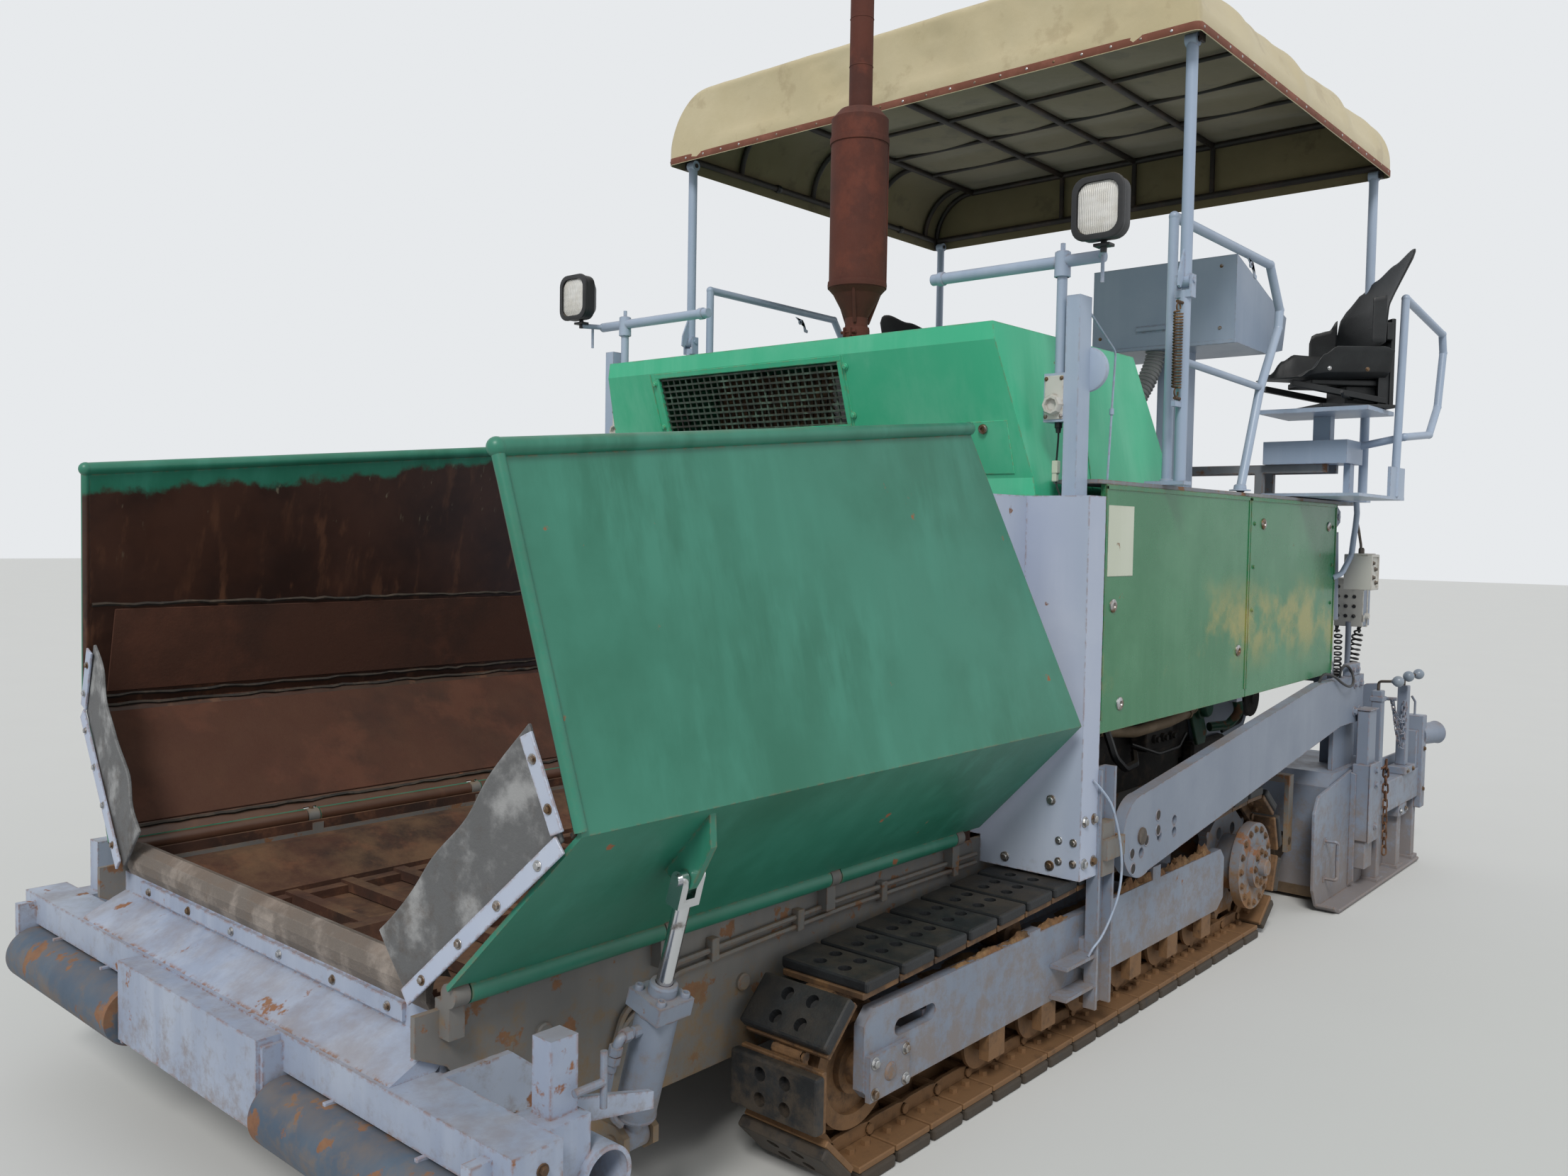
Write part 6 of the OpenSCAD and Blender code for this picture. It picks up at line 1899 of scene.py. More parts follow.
@dataclass
class CanopyRoof:
    """The canvas roof: one sewn sheet, its binding, rivets, seams and straps."""

    rear: float = -2.105
    front: float = 0.175
    half: float = 1.318
    base: float = 3.489
    rise: float = 0.330
    lip: float = 0.052
    corner: float = 0.026
    bows: tuple[float, ...] = (-0.318, -0.888, -1.458, -1.957)
    tubes: tuple[float, ...] = (-1.040, -0.44, 0.0, 0.44, 1.040)

    def lean(self, height: float) -> float:
        """How far the curved sides lean in at a height above the hem."""
        bend = self.rise - self.lip
        up = max(0.0, min(bend, height - self.lip))
        return bend - math.sqrt(bend * bend - up * up)

    def ring(self, height: float, inner: float, count: int) -> list[tuple[Vector, Vector]]:
        """Draws one closed ring of the sheet, each point with its way outwards."""
        fold = max(0.0, height - (self.rise - 0.030))
        pull = 0.030 - math.sqrt(max(0.0, 0.030**2 - fold**2))
        y1 = self.half - min(self.lean(height), self.lean(self.rise) * 0.985)
        x0, x1 = self.rear + pull, self.front - pull
        mid = (x0 + x1) / 2
        hx, hy = (x1 - x0) / 2 * inner, y1 * inner
        r = min(self.corner, hx * 0.4, hy * 0.4)
        made = []
        for k, (sx, sy) in enumerate(((1, 1), (-1, 1), (-1, -1), (1, -1))):
            cx, cy = sx * (hx - r), sy * (hy - r)
            for i in range(7):
                a = math.pi / 2 * (k + i / 6)
                way = Vector((math.cos(a), math.sin(a), 0))
                made.append((Vector((mid + cx + r * way.x, cy + r * way.y, 0)), way))
            nx, ny = ((-1, 1), (-1, -1), (1, -1), (1, 1))[k]
            way = Vector((math.cos(math.pi / 2 * (k + 1)), math.sin(math.pi / 2 * (k + 1)), 0))
            start = made[-1][0]
            end = Vector((mid + nx * (hx - r) + r * way.x, ny * (hy - r) + r * way.y, 0))
            made += [(start.lerp(end, i / (count + 1)), way) for i in range(1, count + 1)]
        return made

    @staticmethod
    def between(value: float, stops: Sequence[float]) -> float:
        """Gives 0 at every stop and 1 halfway between two of them."""
        for a, b in zip(stops, stops[1:]):
            if a <= value <= b:
                return math.sin(math.pi * (value - a) / (b - a)) ** 0.8
        return 0.0

    @staticmethod
    def held(move: float, away: float) -> float:
        """Keeps a move of the sheet outside the tube that is this far away."""
        return max(move, -0.002 - 0.3 * max(0.0, away - 0.022))

    def lift(self, x: float, y: float, inner: float) -> float:
        """Sags the sheet between the tubes and adds its soft folds."""
        stops = sorted((*self.bows, self.rear, self.front))
        sag = -0.022 * self.between(x, stops) * self.between(y, self.tubes) * (1 - inner**8)
        fold = 0.0
        for sx, sy, turn in (
            (self.front, self.half, 0.9), (self.front, -self.half, -0.9), (self.rear, self.half, 2.2),
            (self.rear, -self.half, -2.2)
        ):
            away = math.hypot(x - sx, y - sy)
            angle = math.atan2(y - sy, x - sx)
            fold += 0.005 * math.sin(11 * angle + turn) * math.exp(-(((away - 0.45) / 0.33) ** 2))
        move = sag + fold + 0.004 * noise.noise(Vector((x * 2.2, y * 2.2, 3.0))) - 0.001
        return self.held(move, min([abs(x - s) for s in stops] + [abs(y - s) for s in self.tubes]))

    def wall(self, p: Vector, way: Vector, height: float) -> float:
        """Gives how far a wall of the sheet bellies in or folds out."""
        share = math.sin(math.pi * min(1.0, height / self.rise)) if height > 0 else 0.0
        stops = sorted((*self.bows, self.rear, self.front))
        if abs(way.y) > 0.5:
            belly = -0.024 * self.between(p.x, stops) * share
            skew, away = p.x + 0.55 * height, min(abs(p.x - s) for s in stops)
        else:
            belly = -0.016 * self.between(p.y, self.tubes) * share
            skew = p.y * (1 if way.x > 0 else -1) + 0.6 * height * math.sin(2.1 * p.y + 1)
            away = min(self.rise - height, self.half - self.lean(height) - abs(p.y))
        broad = noise.noise(Vector((skew * 6.5, height * 1.8, 4.0 + way.x)))
        wave = 0.006 * broad + 0.003 * noise.noise(Vector((skew * 17, height * 3, 9.0)))
        crease = 0.0
        for at, slant, deep in (
            (-0.86, 0.35, 0.014), (-0.22, -0.5, 0.012), (0.12, 0.42, 0.016), (0.55, -0.3, 0.012),
            (0.80, 0.6, 0.010), (1.02, 0.5, 0.014), (-1.62, 0.4, 0.013), (-2.0, -0.4, 0.010)
        ):
            along = (p.y if abs(way.x) > 0.5 else p.x) - at - slant * height
            ridge, dent = math.exp(-(((along - 0.05) / 0.03) ** 2)), math.exp(-((along / 0.022) ** 2))
            crease += deep * (0.5 * ridge - dent) * share
        hem = 1 - math.exp(-height / 0.05)
        return self.held(belly + wave * hem + crease, min(away, abs(height - self.lip)))

    def sheet(self) -> bpy.types.Object:
        """Lofts the sheet ring by ring and gives it a cloth's thickness."""
        bend = self.rise - self.lip
        levels = [(h, 1.0) for h in (0.0, 0.012, 0.026, 0.039, 0.052)]
        levels += [(self.lip + bend * math.sin(math.pi / 2 * i / 20), 1.0) for i in range(1, 20)]
        levels += [(self.rise, 1.0)] + [(self.rise, 1 - k / 18) for k in range(1, 18)] + [(self.rise, 0.02)]
        rings = [self.ring(h, inner, 46) for h, inner in levels]
        n = len(rings[0])
        reach = [[0.0] * n]
        for (h0, _), (h1, _), a, b in zip(levels, levels[1:], rings, rings[1:]):
            reach.append([reach[-1][j] + math.hypot((a[j][0] - b[j][0]).length, h1 - h0) for j in range(n)])
        top = len(levels) - 19
        points, flats = [], []
        for (h, inner), ring, run in zip(levels, rings, reach):
            for j, (p, way) in enumerate(ring):
                out = self.wall(p, way, h) if inner == 1.0 else -0.002
                drop = self.lift(p.x, p.y, inner) * min(1.0, h / 0.2) if inner < 1.0 else -0.002
                points.append((p.x + way.x * out, p.y + way.y * out, self.base + h + drop))
                extra = max(0.0, reach[top][j] - run[j])
                flats.append((p.x + way.x * extra, p.y + way.y * extra))
        faces = []
        for k in range(len(levels) - 1):
            for j in range(n):
                a, b = k * n + j, k * n + (j + 1) % n
                faces.append((a, b, b + n, a + n))
        last = (len(levels) - 1) * n
        faces.append(tuple(last + j for j in range(n)))
        Workshop.clear()
        bpy.ops.mesh.primitive_circle_add(vertices=3, fill_type="NOTHING")
        obj = bpy.context.object
        obj.data.clear_geometry()
        obj.data.from_pydata(points, [], faces)
        layer = obj.data.uv_layers.new(name="flat")
        for loop in obj.data.loops:
            layer.data[loop.index].uv = flats[loop.vertex_index]
        obj = Workshop.settle(obj, "canopy_canvas")
        Workshop.coat(obj, Palette.canvas)
        # painted shade: the inner side of the solidified sheet takes the darker underside canvas
        obj.data.materials.append(Palette.canvas_under.material())
        Workshop.modify(obj, "SOLIDIFY", thickness=0.003, offset=-1, material_offset=1)
        return Workshop.smooth(obj, 60)

    def binding(self) -> tuple[bpy.types.Object, bpy.types.Object]:
        """Sews the hem's binding and sets its rivets."""
        ring = self.ring(0.0, 1.0, 40)
        Workshop.clear()
        heights = ((0.0015, -0.001), (0.0030, 0.001), (0.0030, 0.028), (0.0012, 0.030))
        points, faces, n = [], [], len(ring)
        for out, h in heights:
            for p, way in ring:
                points.append((p.x + way.x * (out - 0.002), p.y + way.y * (out - 0.002), self.base + h))
        for k in range(len(heights) - 1):
            for j in range(n):
                a, b = k * n + j, k * n + (j + 1) % n
                faces.append((a, b, b + n, a + n))
        bpy.ops.mesh.primitive_circle_add(vertices=3, fill_type="NOTHING")
        band = bpy.context.object
        band.data.clear_geometry()
        band.data.from_pydata(points, [], faces)
        band = Workshop.modify(Workshop.settle(band, "canopy_hem"), "SOLIDIFY", thickness=0.003, offset=-1)
        Workshop.smooth(band, 60)
        frames = []
        line = [p for p, _ in ring] + [ring[0][0]]
        ways = [w for _, w in ring] + [ring[0][1]]
        total, step, target = 0.0, 0.115, 0.05
        for a, b, w in zip(line, line[1:], ways):
            size = (b - a).length
            while target <= total + size:
                p = a.lerp(b, (target - total) / size)
                spot = p + w * 0.0008
                frames.append(Matrix.Translation((spot.x, spot.y, self.base + 0.015)) @ Workshop.upright(w))
                target += step
            total += size
        rivet = Workshop.turned(
            "rivet", [(0.0, 0.0032), (0.003, 0.0028), (0.0052, 0.001), (0.0055, -0.0006)], (0, 0, 0), steps=10
        )
        return band, Workshop.copies("hem_rivets", rivet, frames)

    def seams(self) -> bpy.types.Object:
        """Raises the two sewn seams that cross the roof."""
        parts = Kit()
        for x in (-0.62, -1.36):
            route = []
            for i in range(61):
                y = -1.02 + 2.04 * i / 60
                inner = min(1.0, max(abs(y) / 1.04, abs(x + 0.965) / 1.11))
                z = self.base + self.rise + self.lift(x, y, inner) + 0.0004
                route.append((x, y, z))
            for dx in (0.0, 0.011):
                parts.pipe("stitch", [(px + dx, py, pz) for px, py, pz in route], 0.0014, 4)
        return Workshop.join("canopy_seams", parts)

    def straps(self) -> bpy.types.Object:
        """Ties the canvas to the frame with webbing loops."""
        parts = []
        for side in (1, -1):
            for x in (0.03, -0.60, -1.17, -1.70):
                y, z = side * 1.2946, 3.541
                turns = [i * math.tau / 14 for i in range(15)]
                loop = [(x, y + 0.0185 * math.cos(a), z + 0.0185 * math.sin(a)) for a in turns]
                strap = Workshop.pipe("strap", loop, 0.003, 4)
                wide = Matrix.Diagonal((5.5, 1, 1, 1))
                strap.data.transform(Matrix.Translation((x, 0, 0)) @ wide @ Matrix.Translation((-x, 0, 0)))
                parts.append(strap)
        return Workshop.join("canopy_straps", parts)

    def build(self) -> None:
        sheet = self.sheet()
        band, rivets = self.binding()
        seams, straps = self.seams(), self.straps()
        Workshop.hand_in(sheet, "canopy", "canvas")
        Workshop.hand_in(band, "canopy", "canvas", Palette.hem)
        Workshop.hand_in(rivets, "canopy", "chrome", Palette.zinc)
        Workshop.hand_in(seams, "canopy", "canvas", Palette.canvas)
        Workshop.hand_in(straps, "canopy", "rubber_sheet", Palette.lead)
        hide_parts("canopy_cover")


@dataclass
class Springs:
    """The two coil springs behind the front stands."""

    foot: Place = (0.127, 1.250, 2.220)
    head: Place = (0.127, 1.250, 2.580)

    def build(self) -> None:
        """Winds both springs with their hooks and eye screws."""
        parts = Kit()
        x, y, z0 = self.foot
        z1 = self.head[2]
        coil = Route.spring((x, y, z0 + 0.045), (x, y, z1 - 0.045), 0.0155, 26, 12)
        parts.pipe("coil", coil, 0.0034, 6)
        for z, way in ((z0, 1), (z1, -1)):
            turns = (-3.4, -2.6, -1.8, -1.0, -0.2, 0.6, 1.4)
            hook = [(x + 0.0155 * math.cos(a), y, z + way * (0.030 + 0.015 * math.sin(a))) for a in turns]
            parts.pipe("hook", Route.smooth(hook, 3), 0.0034, 6)
            parts.bar("eye_screw", (x - 0.052, y, z + way * 0.010), (x + 0.012, y, z + way * 0.010), 0.006, 8)
        both = Workshop.paired("coil_springs", Workshop.join("spring_left", parts))
        Workshop.hand_in(both, "tractor", "grey_paint", Palette.iron)
        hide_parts("canopy_springs")


@dataclass
class Cords:
    """The free leads and hoses, each from one fitting to another."""

    per_turn: int = 14

    @staticmethod
    def coil(start: Place, end: Place, sag: float, radius: float, turns: float) -> list[Vector]:
        """Winds a coiled lead whose axis sags between its two ends.

        Args:
            start: Its upper end.
            end: Its lower end.
            sag: How far its middle hangs below the straight line.
            radius: The radius of the turns.
            turns: How many turns it has.

        Returns:
            Its route, straight out of both ends.
        """
        a, b = Vector(start), Vector(end)
        side = (b - a).cross(Vector((0, 0, 1))).normalized()
        count = int(turns * Cords.per_turn)
        made = [a]
        for i in range(count + 1):
            t = i / count
            slack = t + 0.10 * math.sin(math.pi * t) ** 2
            middle = a.lerp(b, 0.06 + 0.88 * slack if slack < 1 else 0.94)
            middle.z -= sag * math.sin(math.pi * t)
            along = (b - a).normalized()
            other = along.cross(side)
            angle = math.tau * turns * t
            grown = radius * min(1.0, 8 * t + 0.2, 8 * (1 - t) + 0.2)
            made.append(middle + (side * math.cos(angle) + other * math.sin(angle)) * grown)
        made.append(b)
        return made

    @staticmethod
    def add(
        name: str, route: Sequence[Vector], radius: float, body: str, slot: str, finish: Finish, stiffness: str,
        lay: str, sides: int = 8, ends: Sequence[bpy.types.Object] = ()
    ) -> bpy.types.Object:
        """Args:
            name: The piece's name.
            route: The points it follows.
            radius: Half its diameter.
            body: The body that it rides on.
            slot: The record's material slot; not used.
            finish: Its finish.
            stiffness: How stiff it is; not used.
            lay: How it lies; not used.
            sides: Faces round it.
            ends: The pieces on it; not used.

        Returns:
            The lead.
        """
        obj = Workshop.pipe(name, [tuple(p) for p in route], radius, sides)
        Workshop.hand_in(obj, body, slot, finish)
        tuple(route[0])
        round(Route.length(route), 3)
        [tuple(p) for p in route]
        return obj

    def gland(
        self, name: str, foot: Place, way: Place, radius: float, body: str, finish: Finish
    ) -> bpy.types.Object:
        """Makes a tapered strain relief round a lead's end."""
        obj = Workshop.turned(
            name,
            [
                (radius * 0.9, 0.042), (radius * 1.45, 0.040), (radius * 1.6, 0.034), (radius * 1.9, 0.016),
                (radius * 2.6, 0.014), (radius * 2.8, 0.0), (radius * 0.9, -0.001)
            ],
            foot, way, 14
        )
        return Workshop.hand_in(obj, body, "black_plastic", finish)

    def build(self) -> None:
        """Lays every lead and hose."""
        for side, sign in SIDES:
            for k, (top, foot) in enumerate(
                (((-2.405, 1.050, 1.300), (-2.165, 1.125, 1.000)), ((-2.475, 1.140, 1.300), (-2.352, 1.128, 1.000)))
            ):
                a, b = (top[0], sign * top[1], top[2]), (foot[0], sign * foot[1], foot[2])
                ends = [
                    self.gland(f"lead_end_{side}_{k}_upper", a, (0, 0, -1), 0.004, "screed", Palette.plastic),
                    self.gland(f"lead_end_{side}_{k}_lower", b, (0, 0, 1), 0.004, "screed", Palette.plastic)
                ]
                self.add(
                    f"coiled_lead_{side}_{k}", self.coil(a, b, 0.014, 0.0245, 13 + 2 * k), 0.0054, "screed",
                    "black_tube", Palette.lead, "limp", "hanging", 6, ends
                )
            hose = [
                (-1.600, 1.228, 1.071), (-1.615, 1.229, 1.096), (-1.655, 1.238, 1.112), (-1.720, 1.258, 1.096),
                (-1.790, 1.272, 1.062), (-1.870, 1.277, 1.040), (-1.945, 1.274, 1.044), (-1.990, 1.262, 1.076),
                (-1.985, 1.246, 1.116), (-1.945, 1.234, 1.132), (-1.908, 1.228, 1.108), (-1.900, 1.228, 1.071)
            ]
            route = Route.smooth([(x, sign * y, z) for x, y, z in hose], 3)
            self.add("arm_hose_" + side, route, 0.0065, "screed", "black_tube", Palette.lead, "medium", "loose", 10)
            cable = [
                (0.640, 1.2310, 0.930), (0.618, 1.246, 0.905), (0.580, 1.268, 0.850), (0.545, 1.276, 0.770),
                (0.518, 1.278, 0.690), (0.508, 1.278, 0.610), (0.520, 1.274, 0.530), (0.552, 1.262, 0.455),
                (0.592, 1.252, 0.400), (0.625, 1.240, 0.368), (0.636, 1.230, 0.341)
            ]
            route = Route.smooth([(x, sign * y, z) for x, y, z in cable], 3)
            self.add(
                "column_cable_" + side, route, 0.0042, "tractor", "grey_paint", Palette.rail, "medium", "hanging", 8
            )
            lead = [
                (0.655, 1.078, 2.098), (0.654, 1.078, 2.060), (0.646, 1.070, 1.998), (0.640, 1.064, 1.950),
                (0.644, 1.070, 1.905), (0.655, 1.085, 1.880), (0.660, 1.095, 1.868)
            ]
            route = Route.smooth([(x, sign * y, z) for x, y, z in lead], 4)
            halves = Kit()
            for x0, x1, y, half, z0, z1 in (
                (0.632, 0.654, 1.066, 0.011, 1.942, 1.985), (0.634, 0.652, 1.064, 0.009, 1.915, 1.943)
            ):
                halves.block("plug", (x0, sign * y - half, z0), (x1, sign * y + half, z1), 0.003)
            plug = halves.hand_in("plug_" + side, "tractor", "pale_paint", Palette.label)
            self.add(
                "switch_lead_" + side, route, 0.0036, "tractor", "black_tube", Palette.lead, "limp", "hanging", 8,
                [plug]
            )


@dataclass
class Seats:
    """Both driver's seats: bare moulded shells, turned inwards on their mounts.

    Points of a seat are given as (forward, sideways, up) from the foot of its
    back, in metres, and set() carries them into the machine's frame.
    """

    foot: Place = (-1.929, 1.290, 2.650)
    turn: float = 45.0
    thick: float = 0.006

    def set(self, forward: float, aside: float, up: float) -> Place:
        """Carries a point of the seat into the machine's frame."""
        c, s = math.cos(math.radians(self.turn)), math.sin(math.radians(self.turn))
        return self.foot[0] + c * forward + s * aside, self.foot[1] - s * forward + c * aside, self.foot[2] + up

    @staticmethod
    def read(stops: Sequence[Flat], at: float) -> float:
        """Reads an eased curve through the given stops."""
        for (a, p), (b, q) in zip(stops, stops[1:]):
            if at <= b:
                t = (at - a) / (b - a)
                return p + (q - p) * t * t * (3 - 2 * t) if t > 0 else p
        return stops[-1][1]

    def bent(self, name: str, columns: int, rows: int, shape: Callable[[float, float], Place]) -> bpy.types.Object:
        """Bends a sheet to a shape given over its width and length.

        Args:
            name: The piece's name.
            columns: Faces across it.
            rows: Faces along it.
            shape: Gives the seat's point for two shares from 0 to 1.

        Returns:
            The sheet with its thickness and softened rims.
        """
        Workshop.clear()
        bpy.ops.mesh.primitive_grid_add(x_subdivisions=columns, y_subdivisions=rows, size=1)
        obj = bpy.context.object
        for v in obj.data.vertices:
            v.co = self.set(*shape(v.co.x + 0.5, v.co.y + 0.5))
        obj = Workshop.modify(Workshop.settle(obj, name), "SOLIDIFY", thickness=self.thick, offset=0)
        return Workshop.smooth(Workshop.round_edges(obj, 0.0018, 1), 50)

    def back_point(self, s: float, t: float) -> Place:
        """A point of the back: s from the far to the near side, t upwards."""
        high = self.read(
            [
                (0.0, 0.165), (0.05, 0.225), (0.15, 0.285), (0.32, 0.335), (0.62, 0.385), (0.88, 0.430),
                (0.95, 0.425), (1.0, 0.375)
            ],
            s
        )
        up = high * t
        aside = -0.228 + 0.456 * s + 0.020 * s * max(0.0, up - 0.22) / 0.2
        lean = -0.34 * max(0.0, up - 0.165) - 0.04 * up
        cup = 0.042 * abs(2 * s - 1) ** 3 * (1 - 0.4 * t)
        return lean + cup + 0.004 * math.sin(7 * s + 3 * t), aside, up

    def flange_point(self, s: float, t: float) -> Place:
        """A point of the turned near edge of the back."""
        return 0.042 + 0.062 * s, 0.228 + 0.004 * s - 0.01 * s, -0.005 + (0.215 - 0.012 * s) * t

    def hip_point(self, s: float, t: float) -> Place:
        """A point of the far hip guard, rounded at its front."""
        high = self.read([(0.0, 0.170), (0.30, 0.118), (0.75, 0.105), (0.92, 0.092), (1.0, 0.055)], s)
        return 0.034 + 0.135 * s, -0.228 - 0.012 * s, -0.055 + (high + 0.055) * t

    def pan_point(self, s: float, t: float) -> Place:
        """A point of the pan: s from the far to the near side, t forwards."""
        reach = 0.50 - 0.05 * abs(2 * s - 1) ** 4
        ahead = -0.015 + reach * t
        rim = abs(2 * s - 1)
        wing = self.read(
            [(0.0, 0.115), (0.10, 0.132), (0.60, 0.128), (0.74, 0.090), (0.86, 0.020), (1.0, -0.018)], t
        )
        side = self.read([(0.0, 0.0), (0.62, 0.0), (0.80, 0.16), (1.0, 1.0)], rim)
        dish = -0.012 * (1 - rim * rim) * math.sin(math.pi * min(1.0, t * 1.1))
        aside = (2 * s - 1) * (0.212 if rim > 0.8 else 0.215)
        far = 0.030 * (1 - s) * t
        return ahead, aside, -0.152 + dish + wing * side - 0.022 * t * t * (1 - side) + far

    def shell(self) -> bpy.types.Object:
        """Makes the back, its turned edges and the pan."""
        parts = [self.bent("back", 30, 24, self.back_point), self.bent("flange", 6, 10, self.flange_point)]
        parts += [self.bent("hip", 12, 8, self.hip_point), self.bent("pan", 34, 28, self.pan_point)]
        return Workshop.join("seat_shell", parts)

    def slab(self, name: str, low: Place, high: Place, edge: float = 0.003) -> bpy.types.Object:
        """A block squared to the seat, given by two of its corners."""
        obj = Workshop.block(name, low, high, edge)
        for v in obj.data.vertices:
            v.co = self.set(*v.co)
        return obj

    def mount(self) -> bpy.types.Object:
        """Makes the frame, rails, back stay and lever below the shell."""
        parts = Kit([self.slab("foot", (-0.050, -0.170, -0.2965), (0.300, 0.170, -0.280))])
        for aside in (-0.135, 0.135):
            rail = self.slab("rail", (-0.02, aside - 0.014, -0.014), (0.435, aside + 0.014, 0.014))
            for v in rail.data.vertices:
                ahead = Vector(self.set(1, 0, 0)) - Vector(self.set(0, 0, 0))
                along = (v.co - Vector(self.set(-0.02, aside, 0))).dot(ahead)
                v.co.z += -0.262 + 0.165 * along
            parts.append(rail)
            parts.append(self.slab("stay", (-0.035, aside - 0.006, -0.290), (0.020, aside + 0.006, -0.130)))
        parts.append(self.slab("block", (0.000, -0.095, -0.282), (0.150, 0.095, -0.185), 0.010))
        parts.append(self.slab("neck", (-0.020, -0.120, -0.190), (0.330, 0.120, -0.163), 0.006))
        parts.append(self.slab("back_stay", (-0.052, -0.040, -0.290), (-0.030, 0.150, 0.120), 0.006))
        parts.append(self.slab("back_pad", (-0.034, -0.060, 0.020), (-0.004, 0.160, 0.100), 0.004))
        ends = [
            self.set(u, v, w) for u, v, w in ((0.12, 0.10, -0.250), (0.22, 0.20, -0.250), (0.25, 0.245, -0.235))
        ]
        parts.pipe("lever", ends, 0.007, 8, 0.03)
        return Workshop.join("seat_mount", parts)

    def build(self) -> None:
        """Sets both seats."""
        for model, name in ((self.shell(), "seat_shell"), (self.mount(), "seat_mount")):
            for side, sign in (("right", -1), ("left", 1)):
                obj = Workshop.mirrored(f"{name}_{side}", model) if sign < 0 else model
                obj.name = f"{name}_{side}"
                Workshop.hand_in(obj, "seat_" + side, "black_plastic", Palette.shell)
                if name == "seat_shell":
                    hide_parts("seat_" + side)
            if name == "seat_shell":
                dots = [self.set(u, v, w) for u, v, w in ((0.30, 0.2235, -0.128), (0.12, 0.2235, -0.128))]
                way = Vector(self.set(0, 1, 0)) - Vector(self.set(0, 0, 0))
                for side, sign in SIDES:
                    Bolts.put(
                        "seat_screws_" + side, 0.007, [(x, sign * y, z) for x, y, z in dots],
                        (way.x, sign * way.y, way.z), Palette.zinc, "seat_" + side, "black_plastic", mirror=False
                    )


class Link:
    """Chains of welded links."""

    @staticmethod
    def chain(name: str, route: Sequence[Place], size: float, wire: float) -> bpy.types.Object:
        """Hangs a chain of links along a route.

        Args:
            name: The piece's name.
            route: The line it follows.
            size: The inner length of a link.
            wire: Half the thickness of its wire.

        Returns:
            The chain.
        """
        half, wide = size / 2, size * 0.30
        loop = []
        for i in range(12):
            a = math.tau * i / 12
            shift = (half - wide + wire) * (1 if math.sin(a) >= 0 else -1)
            loop.append((wide * math.cos(a), 0.0, wide * math.sin(a) + shift))
        model = Workshop.pipe("link", loop, wire, 6, closed=True)
        points = [Vector(p) for p in route]
        count = max(2, int(Route.length(points) / (size * 0.93)))
        spots = Route.even(points, count + 1)
        frames = []
        for i, (a, b) in enumerate(zip(spots, spots[1:])):
            twist = Matrix.Rotation(math.pi / 2 * (i % 2) + 0.35, 4, "Z")
            frames.append(Matrix.Translation((a + b) / 2) @ Workshop.upright(b - a) @ twist)
        return Workshop.copies(name, model, frames)


